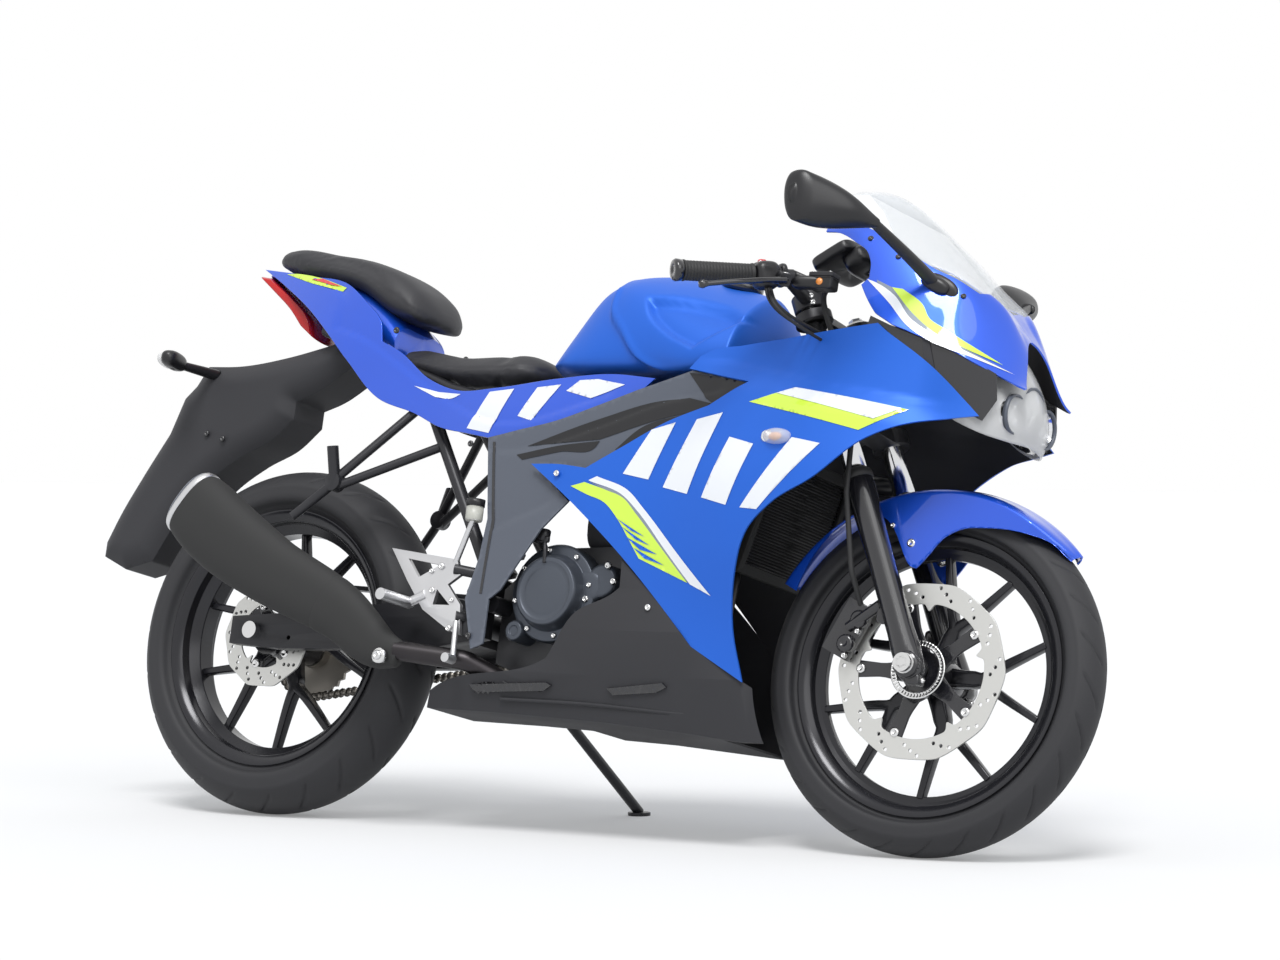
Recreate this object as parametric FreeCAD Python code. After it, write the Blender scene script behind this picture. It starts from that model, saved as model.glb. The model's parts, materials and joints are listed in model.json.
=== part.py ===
import FreeCAD, Part
import math
import os

os.makedirs("parts", exist_ok=True)
Vec = FreeCAD.Vector

# A faired sport motorcycle, leaning on its side stand, bars a little to the left.
# Every piece is drawn on the upright machine: X forward from below the rear axle,
# Y to its left, Z up from the ground. The last section leans the whole machine over.

# Driving sizes of the whole machine, millimetres and degrees
WHEELBASE = 1300.0
BODY_HEIGHT = 1100.0
BODY_HALF_WIDTH = 212.0
LEAN_DEG = 13.0
RAKE_DEG = 24.0
TRAIL = 93.0
STEER_REST_DEG = 3.7
PANEL_WALL = 4.0
WIDE_SHARE = 1.1
RUNNING_GAP = 0.3
CUT_OVERRUN = 5.0

# Rear wheel, 130/70-17 tyre
REAR_TYRE_RADIUS = 307.0
REAR_TYRE_HALF_WIDTH = 65.0
REAR_CROWN_RADIUS = 74.0
REAR_RIM_HALF_WIDTH = 54.0
REAR_AXLE_RADIUS = 8.5
REAR_DISC_RADIUS = 94.0
REAR_DISC_OFFSET = 69.0

# Front wheel, 90/80-17 tyre
FRONT_TYRE_RADIUS = 288.0
FRONT_TYRE_HALF_WIDTH = 45.0
FRONT_CROWN_RADIUS = 50.0
FRONT_RIM_HALF_WIDTH = 33.0
FRONT_AXLE_RADIUS = 7.5
FRONT_DISC_RADIUS = 145.0
FRONT_DISC_OFFSET = 56.0

# What both wheels share
RIM_FLANGE_RADIUS = 229.0
RIM_WALL = 6.0
RIM_SEAT_DROP = 13.0
RIM_WELL_DROP = 30.0
TYRE_WALL = 9.0
SPOKE_PAIRS = 5
SPOKE_HALF_WIDTH = 7.0
SPOKE_HALF_DEPTH = 10.0
HUB_RADIUS = 34.0
HUB_ARM_REACH = 84.0
HUB_ARM_HALF_WIDTH = 15.0
DISC_THICKNESS = 4.0
DISC_BAND = 36.0
DISC_WAVES = 10
DISC_WAVE_DEPTH = 4.0

# Steering head, fork and bars
FORK_HALF_SPACING = 95.0
FORK_SLIDER_RADIUS = 24.0
FORK_TUBE_RADIUS = 18.5
FORK_SLIDER_SHARE = 0.768
STEM_RADIUS = 14.0
HEAD_TUBE_RADIUS = 30.0
HEAD_LOW_SHARE = 0.630
HEAD_HIGH_SHARE = 0.755
CLAMP_THICKNESS = 26.0
CLAMP_RUNNING_GAP = 1.0
CLAMP_MARGIN = 13.0
CLAMP_WEB_SHARE = 0.6
UPPER_CLAMP_THICKNESS = 15.6
BAR_RADIUS = 11.0
GRIP_RADIUS = 17.0
GRIP_LENGTH = 120.0
BAR_END_RADIUS = 19.0
BAR_END_LENGTH = 16.0
HOUSING_RADIUS = 26.0
HOUSING_LENGTH = 45.0

RAKE = math.radians(RAKE_DEG)
FORK_OFFSET = FRONT_TYRE_RADIUS * math.sin(RAKE) - TRAIL * math.cos(RAKE)
LEAN = math.radians(LEAN_DEG)
STEER_REST = math.radians(STEER_REST_DEG)
STEER_UP = Vec(-math.sin(RAKE), 0, math.cos(RAKE))
STEER_AHEAD = Vec(math.cos(RAKE), 0, math.sin(RAKE))
STEER_GROUND = Vec(WHEELBASE + TRAIL, 0, 0)
REAR_AXLE = Vec(0, 0, REAR_TYRE_RADIUS)
LIFT = REAR_CROWN_RADIUS * (1 - math.cos(LEAN))
WIDE = WIDE_SHARE * BODY_HALF_WIDTH


def turned(vector, axis, angle):
    """Return the vector turned about an axis through the origin, angle in radians."""
    return FreeCAD.Rotation(axis, math.degrees(angle)).multVec(vector)


def leaned(vector):
    """Return an upright direction or point as it is on the leaning machine."""
    return turned(vector, Vec(1, 0, 0), -LEAN)


def fork_travel():
    """Return how far the fork slides so that the turned front tyre just meets the ground."""
    axle = Vec(WHEELBASE, 0, FRONT_TYRE_RADIUS)
    swung = STEER_GROUND + turned(axle - STEER_GROUND, STEER_UP, STEER_REST)
    tilt = leaned(turned(Vec(0, 1, 0), STEER_UP, STEER_REST)).z
    ring = FRONT_TYRE_RADIUS - FRONT_CROWN_RADIUS
    wanted = ring * math.sqrt(1 - tilt * tilt) + FRONT_CROWN_RADIUS
    return (wanted - leaned(swung).z - LIFT) / leaned(STEER_UP).z


FRONT_AXLE = Vec(WHEELBASE, 0, FRONT_TYRE_RADIUS) + STEER_UP * fork_travel()
LOWER_CLAMP_ALONG = HEAD_LOW_SHARE * BODY_HEIGHT / math.cos(RAKE) - CLAMP_THICKNESS
FORK_SLIDER_LENGTH = FORK_SLIDER_SHARE * (LOWER_CLAMP_ALONG
                                          - (FRONT_AXLE - STEER_GROUND).dot(STEER_UP))


def pt(x_share, y_share, z_share):
    """Return a point given as shares of wheelbase, half width and height."""
    return Vec(x_share * WHEELBASE, y_share * BODY_HALF_WIDTH, z_share * BODY_HEIGHT)


def mirrored(shape):
    """Return the shape's twin on the other side of the machine's middle plane."""
    return shape.mirror(Vec(0, 0, 0), Vec(0, 1, 0))


def both_sides(shape):
    """Return a compound of a shape and its mirror twin."""
    return Part.makeCompound([shape, mirrored(shape)])


def closed_wire(runs, to_point):
    """Join runs of points into one closed wire: two points a line, more a smooth curve."""
    edges = []
    start = runs[-1][-1]
    for run in runs:
        points = [to_point(p) for p in [start] + run]
        if len(points) == 2:
            edges.append(Part.LineSegment(points[0], points[1]).toShape())
        else:
            curve = Part.BSplineCurve()
            curve.interpolate(points)
            edges.append(curve.toShape())
        start = run[-1]
    return Part.Wire(edges)


def prism(runs, y_low, y_high):
    """Extrude a closed side outline, in shares of wheelbase and height, across the machine."""
    wire = closed_wire(runs, lambda p: Vec(p[0] * WHEELBASE, y_low, p[1] * BODY_HEIGHT))
    return Part.Face(wire).extrude(Vec(0, y_high - y_low, 0))


def corners(shares):
    """Return a straight sided outline as runs of one point each."""
    return [[share] for share in shares]


def sheet(x_shares, z_shares, y_shares, wall):
    """Return a curved wall: a smooth surface through a grid of half widths, on the right side."""
    grid = []
    for x_share, row in zip(x_shares, y_shares):
        grid.append([pt(x_share, -y, z) for y, z in zip(row, z_shares)])
    surface = Part.BSplineSurface()
    surface.interpolate(grid)
    return surface.toShape().extrude(Vec(0, wall, 0))


def route(points, bend):
    """Return a wire of straight runs joined by tangent arcs of one bend radius."""
    edges = []
    start = points[0]
    for before, corner, after in zip(points, points[1:], points[2:]):
        back = (before - corner).normalize()
        ahead = (after - corner).normalize()
        half = back.getAngle(ahead) / 2
        setback = bend / math.tan(half)
        inward = (back + ahead).normalize()
        entry = corner + back * setback
        leave = corner + ahead * setback
        middle = corner + inward * (bend / math.sin(half) - bend)
        edges.append(Part.LineSegment(start, entry).toShape())
        edges.append(Part.Arc(entry, middle, leave).toShape())
        start = leave
    edges.append(Part.LineSegment(start, points[-1]).toShape())
    return Part.Wire(edges)


def tube(points, radius, bend):
    """Return a round bar that follows a route."""
    path = route(points, bend)
    circle = Part.Circle(points[0], points[1] - points[0], radius).toShape()
    return path.makePipeShell([Part.Wire([circle])], True, False)


def rod(start, end, radius):
    """Return a cylinder between two points."""
    return Part.makeCylinder(radius, (end - start).Length, start, end - start)


def flat_bar(start, end, normal, width, thickness):
    """Return a flat bar between two points, its broad faces square to a normal."""
    along = end - start
    across = along.cross(normal).normalize() * (width / 2)
    lift = normal * (thickness / 2)
    ring = [p - lift for p in (start - across, end - across, end + across, start + across)]
    return Part.Face(Part.makePolygon(ring + ring[:1])).extrude(lift * 2)


def seated(shape, *others):
    """Return the largest solid of a shape once its neighbours are cut from it."""
    return max(shape.cut(list(others)).Solids, key=lambda solid: solid.Volume)


def station_loft(stations, ruled=False):
    """Loft closed outlines across the machine's length.

    A station is its length share and the right half of the outline, from the lowest
    middle point round to the highest, as half width and height shares.
    """
    wires = []
    for x_share, half in stations:
        right = [pt(x_share, -y, z) for y, z in half]
        left = [pt(x_share, y, z) for y, z in reversed(half) if y > 0]
        curve = Part.BSplineCurve()
        curve.interpolate(right + left, PeriodicFlag=True)
        wires.append(Part.Wire([curve.toShape()]))
    return Part.makeLoft(wires, True, ruled)


def polygon_loft(rings, ruled=True):
    """Loft straight sided rings of points into one solid."""
    return Part.makeLoft([Part.makePolygon(ring + ring[:1]) for ring in rings], True, ruled)


def revolved(profile, centre, angle=360.0, start_deg=0.0):
    """Revolve an outline of (offset, radius) pairs about an axle through centre."""
    points = [centre + Vec(0, offset, radius) for offset, radius in profile]
    face = Part.Face(Part.makePolygon(points + points[:1]))
    face.rotate(centre, Vec(0, 1, 0), start_deg)
    return face.revolve(centre, Vec(0, 1, 0), angle)


# Wheels
# Each wheel turns about its axle, which lies along Y before the machine leans.

BEAD_CLEARANCE = 0.2
TYRE_SHOULDER_SHARE = 0.96
TYRE_CROWN_STEPS = 6


def tyre(centre, radius, half_width, crown_radius, rim_half_width):
    """Return a tyre: a crown arc, rounded shoulders and walls that stand on the bead seats."""
    ring = radius - crown_radius
    shoulder = math.asin(min(half_width / crown_radius, 1) * TYRE_SHOULDER_SHARE)
    bead_radius = RIM_FLANGE_RADIUS - RIM_SEAT_DROP + BEAD_CLEARANCE
    bead_half = rim_half_width - RIM_WALL - BEAD_CLEARANCE
    crown = []
    for step in range(TYRE_CROWN_STEPS + 1):
        angle = shoulder * (2 * step / TYRE_CROWN_STEPS - 1)
        crown.append((crown_radius * math.sin(angle), ring + crown_radius * math.cos(angle)))
    side_radius = (crown[0][1] + RIM_FLANGE_RADIUS) / 2
    left = [(-bead_half, bead_radius), (-bead_half, RIM_FLANGE_RADIUS + BEAD_CLEARANCE),
            (-half_width, side_radius)]
    right = [(-offset, height) for offset, height in reversed(left)]
    inner = [(bead_half - TYRE_WALL, bead_radius), (half_width - TYRE_WALL, side_radius),
             (0, radius - TYRE_WALL), (TYRE_WALL - half_width, side_radius),
             (TYRE_WALL - bead_half, bead_radius)]
    return revolved(left + crown + right + inner, centre)


def rim(centre, half_width, hub_half_width, axle_radius):
    """Return a cast rim: barrel, five hub arms that each fork into two spokes, and hub."""
    flange = RIM_FLANGE_RADIUS
    seat = flange - RIM_SEAT_DROP
    well = flange - RIM_WELL_DROP
    inside = half_width - RIM_WALL
    slope = inside - RIM_SEAT_DROP
    outer = [(-half_width, flange), (-inside, flange), (-inside, seat), (-slope, seat),
             (0, well), (slope, seat), (inside, seat), (inside, flange), (half_width, flange)]
    floor = [(half_width, seat - RIM_WALL), (slope, seat - RIM_WALL), (0, well - RIM_WALL),
             (-slope, seat - RIM_WALL), (-half_width, seat - RIM_WALL)]
    barrel = revolved(outer + floor, centre)
    hub = rod(centre - Vec(0, hub_half_width, 0), centre + Vec(0, hub_half_width, 0), HUB_RADIUS)
    reach = well - RIM_WALL / 2
    fork_angle = math.pi / SPOKE_PAIRS / 2
    spokes = []
    for pair in range(SPOKE_PAIRS):
        middle = 2 * math.pi * pair / SPOKE_PAIRS
        arm = bar_in_wheel(centre, middle, 0, middle, HUB_ARM_REACH, HUB_ARM_HALF_WIDTH)
        spokes.append(arm)
        for side in (-1, 1):
            spokes.append(bar_in_wheel(centre, middle, HUB_ARM_REACH - SPOKE_HALF_WIDTH * 2,
                                       middle + side * fork_angle, reach, SPOKE_HALF_WIDTH))
    body = barrel.fuse([hub] + spokes)
    bore = rod(centre - Vec(0, hub_half_width + CUT_OVERRUN, 0),
               centre + Vec(0, hub_half_width + CUT_OVERRUN, 0), axle_radius + AXLE_FIT)
    return body.cut(bore).removeSplitter()


AXLE_FIT = 0.05


def bar_in_wheel(centre, start_angle, start_radius, end_angle, end_radius, half_width):
    """Return a flat spoke between two polar points of the wheel's plane."""
    start = Vec(math.cos(start_angle), 0, math.sin(start_angle)) * start_radius
    end = Vec(math.cos(end_angle), 0, math.sin(end_angle)) * end_radius
    along = (end - start).normalize()
    across = Vec(-along.z, 0, along.x) * half_width
    depth = Vec(0, SPOKE_HALF_DEPTH, 0)
    ring = [centre + p - depth for p in (start - across, end - across, end + across, start + across)]
    return Part.Face(Part.makePolygon(ring + ring[:1])).extrude(depth * 2)


def brake_disc(centre, offset, outer_radius, waves):
    """Return a brake disc with a wavy outer edge and a plain inner edge, bolted by its eyes."""
    points = []
    count = waves * 2
    for step in range(count):
        angle = 2 * math.pi * step / count
        radius = outer_radius - (DISC_WAVE_DEPTH if step % 2 else 0)
        points.append(centre + Vec(radius * math.cos(angle), offset, radius * math.sin(angle)))
    edge = Part.BSplineCurve()
    edge.interpolate(points, PeriodicFlag=True)
    thickness = Vec(0, DISC_THICKNESS / 2, 0)
    face = Part.Face(Part.Wire([edge.toShape()]))
    face.translate(-thickness)
    plate = face.extrude(thickness * 2)
    place = centre + Vec(0, offset, 0)
    hole = rod(place - thickness * 2, place + thickness * 2, outer_radius - DISC_BAND)
    return plate.cut(hole)


# Disc carriers join each disc to its hub
CARRIER_HALF_WIDTH = 13.0
CARRIER_OVERLAP = 5.0
CARRIER_THICKNESS = 6.0


def disc_carrier(centre, offset, disc_radius, hub_half_width):
    """Return the five-armed carrier between a hub face and its disc."""
    face_y = math.copysign(hub_half_width, offset)
    disc_face = offset - math.copysign(DISC_THICKNESS / 2, offset)
    inner = disc_radius - DISC_BAND
    boss = rod(centre + Vec(0, face_y, 0), centre + Vec(0, disc_face, 0), HUB_RADIUS)
    arms = []
    for arm in range(SPOKE_PAIRS):
        angle = 2 * math.pi * (arm + 0.5) / SPOKE_PAIRS
        along = Vec(math.cos(angle), 0, math.sin(angle))
        across = Vec(-along.z, 0, along.x) * CARRIER_HALF_WIDTH
        reach = along * (inner + CARRIER_OVERLAP)
        low = centre + Vec(0, disc_face, 0)
        ring = [low - across, low - across + reach, low + across + reach, low + across]
        plate = Part.Face(Part.makePolygon(ring + ring[:1]))
        arms.append(plate.extrude(Vec(0, -math.copysign(CARRIER_THICKNESS, offset), 0)))
    return boss.fuse(arms)


REAR_HUB_HALF_WIDTH = 56.0
FRONT_HUB_HALF_WIDTH = 46.0
SPROCKET_RADIUS = 86.0
SPROCKET_THICKNESS = 6.0
CHAIN_OFFSET = 76.0
SPROCKET_TEETH = 30


def sprocket_plate():
    """Return the toothed rear sprocket on the left of the hub."""
    points = []
    for step in range(SPROCKET_TEETH * 2):
        angle = math.pi * step / SPROCKET_TEETH
        radius = SPROCKET_RADIUS - (SPROCKET_THICKNESS if step % 2 else 0)
        points.append(REAR_AXLE + Vec(radius * math.cos(angle), 0, radius * math.sin(angle)))
    face = Part.Face(Part.makePolygon(points + points[:1]))
    face.translate(Vec(0, CHAIN_OFFSET - SPROCKET_THICKNESS / 2, 0))
    plate = face.extrude(Vec(0, SPROCKET_THICKNESS, 0))
    hub_face = REAR_AXLE + Vec(0, REAR_HUB_HALF_WIDTH, 0)
    boss = rod(hub_face, REAR_AXLE + Vec(0, CHAIN_OFFSET, 0), HUB_RADIUS)
    bore = rod(hub_face - Vec(0, CUT_OVERRUN, 0),
               REAR_AXLE + Vec(0, CHAIN_OFFSET + SPROCKET_THICKNESS + CUT_OVERRUN, 0),
               REAR_AXLE_RADIUS + AXLE_FIT)
    return plate.fuse(boss).cut(bore)


def wheel_disc(centre, offset, radius, hub_half_width, axle_radius):
    """Return a disc with its carrier, bored for the axle."""
    body = brake_disc(centre, offset, radius, DISC_WAVES).fuse(
        disc_carrier(centre, offset, radius, hub_half_width))
    reach = Vec(0, abs(offset) + CUT_OVERRUN, 0)
    return body.cut(rod(centre - reach, centre + reach, axle_radius + AXLE_FIT))


# Chain and its front sprocket
PIVOT_SHARE = (0.362, 0.305)
FRONT_SPROCKET_RADIUS = 27.0
CHAIN_TOOTH_GAP = 1.5
CHAIN_HEIGHT = 15.0
CHAIN_WIDTH = 14.0
CHAIN_REACH_SHARE = 0.418

PIVOT = Vec(PIVOT_SHARE[0] * WHEELBASE, 0, PIVOT_SHARE[1] * BODY_HEIGHT)
OUTPUT = Vec(CHAIN_REACH_SHARE * WHEELBASE, 0, PIVOT.z)


def belt(radius_rear, radius_front, y_low, y_high):
    """Return the solid inside a belt round the two sprockets."""
    span = OUTPUT - REAR_AXLE
    swing = math.acos((radius_rear - radius_front) / span.Length)
    forward = math.atan2(span.z, span.x)
    edges = []
    ends = []
    for centre, radius, away in ((REAR_AXLE, radius_rear, math.pi), (OUTPUT, radius_front, 0)):
        spots = []
        for turn in (swing, away, -swing):
            angle = forward + turn
            spots.append(Vec(centre.x + radius * math.cos(angle), y_low,
                             centre.z + radius * math.sin(angle)))
        ends.append(spots)
        edges.append(Part.Arc(*spots).toShape())
    edges.append(Part.LineSegment(ends[0][0], ends[1][0]).toShape())
    edges.append(Part.LineSegment(ends[0][2], ends[1][2]).toShape())
    wire = Part.Wire(Part.__sortEdges__(edges))
    return Part.Face(wire).extrude(Vec(0, y_high - y_low, 0))


def drive_chain():
    """Return the chain as one fixed loop round both sprockets."""
    inner_rear = SPROCKET_RADIUS + CHAIN_TOOTH_GAP
    inner_front = FRONT_SPROCKET_RADIUS + CHAIN_TOOTH_GAP
    low = CHAIN_OFFSET - CHAIN_WIDTH / 2
    high = CHAIN_OFFSET + CHAIN_WIDTH / 2
    outside = belt(inner_rear + CHAIN_HEIGHT, inner_front + CHAIN_HEIGHT, low, high)
    return outside.cut(belt(inner_rear, inner_front, low - CUT_OVERRUN, high + CUT_OVERRUN))


# Frame: head tube, two side beams down to the swingarm pivot, and seat rails
FRAME_TUBE_RADIUS = 17.0
FRAME_BEND = 60.0
RAIL_RADIUS = 11.0
PIVOT_TUBE_RADIUS = 20.0
BEAM_HEAD_SHARES = (0.10, 0.700)
BEAM_SHARES = [(0.700, 0.48, 0.660), (0.500, 0.62, 0.520), (0.400, 0.62, 0.400),
               (0.362, 0.62, 0.280)]
RAIL_SHARES = [(0.540, 0.58, 0.545), (0.400, 0.42, 0.640), (0.260, 0.38, 0.678),
               (0.010, 0.20, 0.788)]
STRUT_SHARES = [(0.385, 0.58, 0.370), (0.200, 0.34, 0.700)]
CROSS_SHARES = [(0.110, 0.272, 0.744), (0.400, 0.42, 0.640)]
CROSS_RADIUS = 9.0
PIVOT_POST_SHARE = 0.62
STAY_ROD_RADIUS = 6.0
STAY_REACH_SHARE = 1.5
LUG_ROD_RADIUS = 9.0
ENGINE_BOSS_RADIUS = 15.0
ENGINE_BOSS_SHARES = [(0.396, 0.330), (0.583, 0.553)]
REARSET_BOSS_SHARES = [((0.374, 0.305), (0.357, 0.305)), ((0.392, 0.372), (0.346, 0.378))]
TANK_POST_SHARES = [((0.690, 0.487, 0.653), (0.690, 0.44, 0.699)),
                    ((0.470, 0.50, 0.590), (0.480, 0.38, 0.699))]
COVER_STAY_SHARES = [(0.460, -0.60, 0.492), (0.460, -0.90, 0.492)]
COWL_STAY_SHARES = [(0.620, -0.536, 0.604), (0.650, -0.90, 0.480)]
TAIL_STAY_SHARES = [[(0.310, -0.39, 0.665), (0.310, -0.70, 0.640)],
                    [(0.060, -0.23, 0.766), (0.060, -0.60, 0.766)]]


def head_point(z_share, ahead=0.0, side=0.0):
    """Return a point on the steering axis at a height share, moved ahead and to the side."""
    along = z_share * BODY_HEIGHT / math.cos(RAKE)
    return STEER_GROUND + STEER_UP * along + STEER_AHEAD * ahead + Vec(0, side, 0)


def beam_head(side):
    """Return where a side beam meets the head tube."""
    y_share, z_share = BEAM_HEAD_SHARES
    return head_point(z_share, 0, side * y_share * BODY_HALF_WIDTH)


def stay(start_share, aim_share, panel):
    """Return the short rod that carries a side panel, from a tube out to its inner face."""
    start = pt(*start_share)
    aim = pt(*aim_share)
    whole = rod(start, start + (aim - start) * STAY_REACH_SHARE, STAY_ROD_RADIUS)
    return max(whole.cut(panel).Solids, key=lambda solid: solid.BoundBox.YMax)


def frame(panels):
    """Return the welded frame: head tube, beams, pivot tubes, rails and their stays."""
    head = rod(head_point(HEAD_LOW_SHARE), head_point(HEAD_HIGH_SHARE), HEAD_TUBE_RADIUS)
    beam = tube([beam_head(-1)] + [pt(x, -y, z) for x, y, z in BEAM_SHARES], FRAME_TUBE_RADIUS,
                FRAME_BEND)
    rail = tube([pt(x, -y, z) for x, y, z in RAIL_SHARES], RAIL_RADIUS, FRAME_BEND)
    strut = rod(pt(STRUT_SHARES[0][0], -STRUT_SHARES[0][1], STRUT_SHARES[0][2]),
                pt(STRUT_SHARES[1][0], -STRUT_SHARES[1][1], STRUT_SHARES[1][2]), RAIL_RADIUS)
    reach = Vec(0, PIVOT_POST_SHARE * BODY_HALF_WIDTH, 0)
    pivot_tube = rod(PIVOT - reach, PIVOT + reach, PIVOT_TUBE_RADIUS)
    crosses = [rod(pt(x, -y, z), pt(x, y, z), CROSS_RADIUS) for x, y, z in CROSS_SHARES]
    stem = rod(head_point(HEAD_LOW_SHARE) - STEER_UP * CUT_OVERRUN,
               head_point(HEAD_HIGH_SHARE) + STEER_UP * CUT_OVERRUN, STEM_RADIUS + AXLE_FIT)
    halves = [beam, rail, strut]
    for x_share, z_share in ENGINE_BOSS_SHARES:
        inner = pt(x_share, 0, z_share) - Vec(0, CASE_HALF_WIDTH, 0)
        halves.append(rod(inner, pt(x_share, -PIVOT_POST_SHARE, z_share), ENGINE_BOSS_RADIUS))
    plate = rearset()
    for (x_near, z_near), (x_far, z_far) in REARSET_BOSS_SHARES:
        outer = pt(x_far, 0, z_far) - Vec(0, REARSET_INNER + REARSET_THICKNESS, 0)
        boss = rod(pt(x_near, -PIVOT_POST_SHARE, z_near), outer, LUG_ROD_RADIUS)
        halves.append(max(boss.cut(plate).Solids, key=lambda solid: solid.Volume))
    for start_share, aim_share, panel in panels:
        halves.append(stay(start_share, aim_share, panel))
    for (x_low, y_low, z_low), (x_high, y_high, z_high) in TANK_POST_SHARES:
        halves.append(rod(pt(x_low, -y_low, z_low), pt(x_high, -y_high, z_high), LUG_ROD_RADIUS))
    parts = [pivot_tube] + crosses + halves + [mirrored(half) for half in halves]
    return head.fuse(parts + [stand_bracket()]).cut(stem)


# Swingarm: two box arms joined ahead of the tyre, bored for the rear axle
ARM_INNER = 88.0
ARM_OUTER = 112.0
ARM_END_LENGTH = 46.0
ARM_DEPTH = 50.0
ARM_SHARES = [(-0.105, -0.40), (0.138, -0.67), (0.829, -0.85), (1.050, -0.58), (1.050, 0.52),
              (0.829, 0.98), (0.414, 0.62), (-0.105, 0.56)]
ARM_CROSS_SHARES = [(0.760, -0.50), (0.912, -0.50), (0.912, 0.42), (0.760, 0.55)]
CHAIN_GUARD_SHARES = [(0.04, 2.22), (0.83, 1.45), (0.83, 1.60), (0.04, 2.38)]
GUARD_TAB_SHARES = [(0.42, 0.30), (0.48, 0.30), (0.48, 1.90), (0.42, 1.95)]
GUARD_INNER = 71.0
GUARD_TAB_THICKNESS = 4.0
SPOOL_HOLE_SHARES = (0.171, -0.30)


def arm_point(along, up, offset=0.0):
    """Return a point by its share of the way from axle to pivot and its rise in arm depths."""
    return REAR_AXLE + (PIVOT - REAR_AXLE) * along + Vec(0, offset, up * ARM_DEPTH)


def arm_plate(shares, y_low, y_high):
    """Extrude an outline, placed as arm_point places it, across the machine."""
    ring = [arm_point(along, up, y_low) for along, up in shares]
    return Part.Face(Part.makePolygon(ring + ring[:1])).extrude(Vec(0, y_high - y_low, 0))


def swingarm():
    """Return the swingarm with its chain guard, carried on the frame's pivot tube."""
    arm = arm_plate(ARM_SHARES, -ARM_OUTER, -ARM_INNER)
    cross = arm_plate(ARM_CROSS_SHARES, -ARM_INNER, ARM_INNER)
    guard_outer = ARM_INNER + GUARD_TAB_THICKNESS
    guard = arm_plate(CHAIN_GUARD_SHARES, GUARD_INNER, guard_outer)
    tab = arm_plate(GUARD_TAB_SHARES, ARM_INNER, guard_outer)
    body = arm.fuse([mirrored(arm), cross, guard, tab])
    reach = Vec(0, ARM_OUTER + CUT_OVERRUN, 0)
    body = body.cut(rod(PIVOT - reach, PIVOT + reach, PIVOT_TUBE_RADIUS + RUNNING_GAP))
    spot = arm_point(*SPOOL_HOLE_SHARES, -ARM_OUTER)
    hole = rod(spot - Vec(0, CUT_OVERRUN, 0), spot + Vec(0, SPOOL_HOLE_DEPTH, 0), SPOOL_HOLE_RADIUS)
    return body.cut([rod(REAR_AXLE - reach, REAR_AXLE + reach, REAR_AXLE_RADIUS),
                     hole, mirrored(hole)])


SPOOL_HOLE_RADIUS = 4.0
SPOOL_HOLE_DEPTH = 18.0
AXLE_NUT_RADIUS = 15.0
AXLE_NUT_LENGTH = 12.0
AXLE_SPACER_RADIUS = 12.0


def rear_axle():
    """Return the rear axle with its head and nut outside the arms."""
    reach = Vec(0, ARM_OUTER, 0)
    nut = Vec(0, AXLE_NUT_LENGTH, 0)
    shaft = rod(REAR_AXLE - reach, REAR_AXLE + reach, REAR_AXLE_RADIUS)
    right = rod(REAR_AXLE - reach - nut, REAR_AXLE - reach, AXLE_NUT_RADIUS)
    left = rod(REAR_AXLE + reach, REAR_AXLE + reach + nut, AXLE_NUT_RADIUS)
    return shaft.fuse([right, left])


# Rear shock absorber, from the swingarm's cross member to the frame's front cross tube
SHOCK_FOOT_SHARES = (0.836, 0.40)
SHOCK_BODY_RADIUS = 20.0
SHOCK_COIL_RADIUS = 33.0
SHOCK_COLLAR_RADIUS = 36.0
SHOCK_COILS = 6
SHOCK_SPRING_SHARES = (0.24, 0.80)
COIL_SHARES = [(0.00, SHOCK_BODY_RADIUS), (0.25, SHOCK_COIL_RADIUS), (0.50, SHOCK_COIL_RADIUS),
               (0.75, SHOCK_BODY_RADIUS)]


def rear_shock(frame_body, arm_body):
    """Return the rear shock absorber, its spring drawn as a stack of rounded coils."""
    foot = arm_point(*SHOCK_FOOT_SHARES)
    top = pt(CROSS_SHARES[1][0], 0, CROSS_SHARES[1][2])
    along = top - foot
    low, high = [share * along.Length for share in SHOCK_SPRING_SHARES]
    pitch = (high - low) / SHOCK_COILS
    profile = [(0, 0), (SHOCK_BODY_RADIUS / 2, 0), (SHOCK_BODY_RADIUS / 2, low / 2),
               (SHOCK_COLLAR_RADIUS, low / 2), (SHOCK_COLLAR_RADIUS, low)]
    for coil in range(SHOCK_COILS):
        start = low + coil * pitch
        profile += [(radius, start + share * pitch) for share, radius in COIL_SHARES]
    profile += [(SHOCK_BODY_RADIUS, high), (SHOCK_COLLAR_RADIUS, high),
                (SHOCK_COLLAR_RADIUS, high + low / 4), (SHOCK_BODY_RADIUS / 2, high + low / 4),
                (SHOCK_BODY_RADIUS / 2, along.Length), (0, along.Length)]
    points = [Vec(radius, 0, height) for radius, height in profile]
    body = Part.Face(Part.makePolygon(points + points[:1])).revolve(Vec(0, 0, 0), Vec(0, 0, 1), 360)
    turn = FreeCAD.Rotation(Vec(0, 0, 1), along)
    body.Placement = FreeCAD.Placement(foot, turn)
    return seated(body, frame_body, arm_body)


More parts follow.
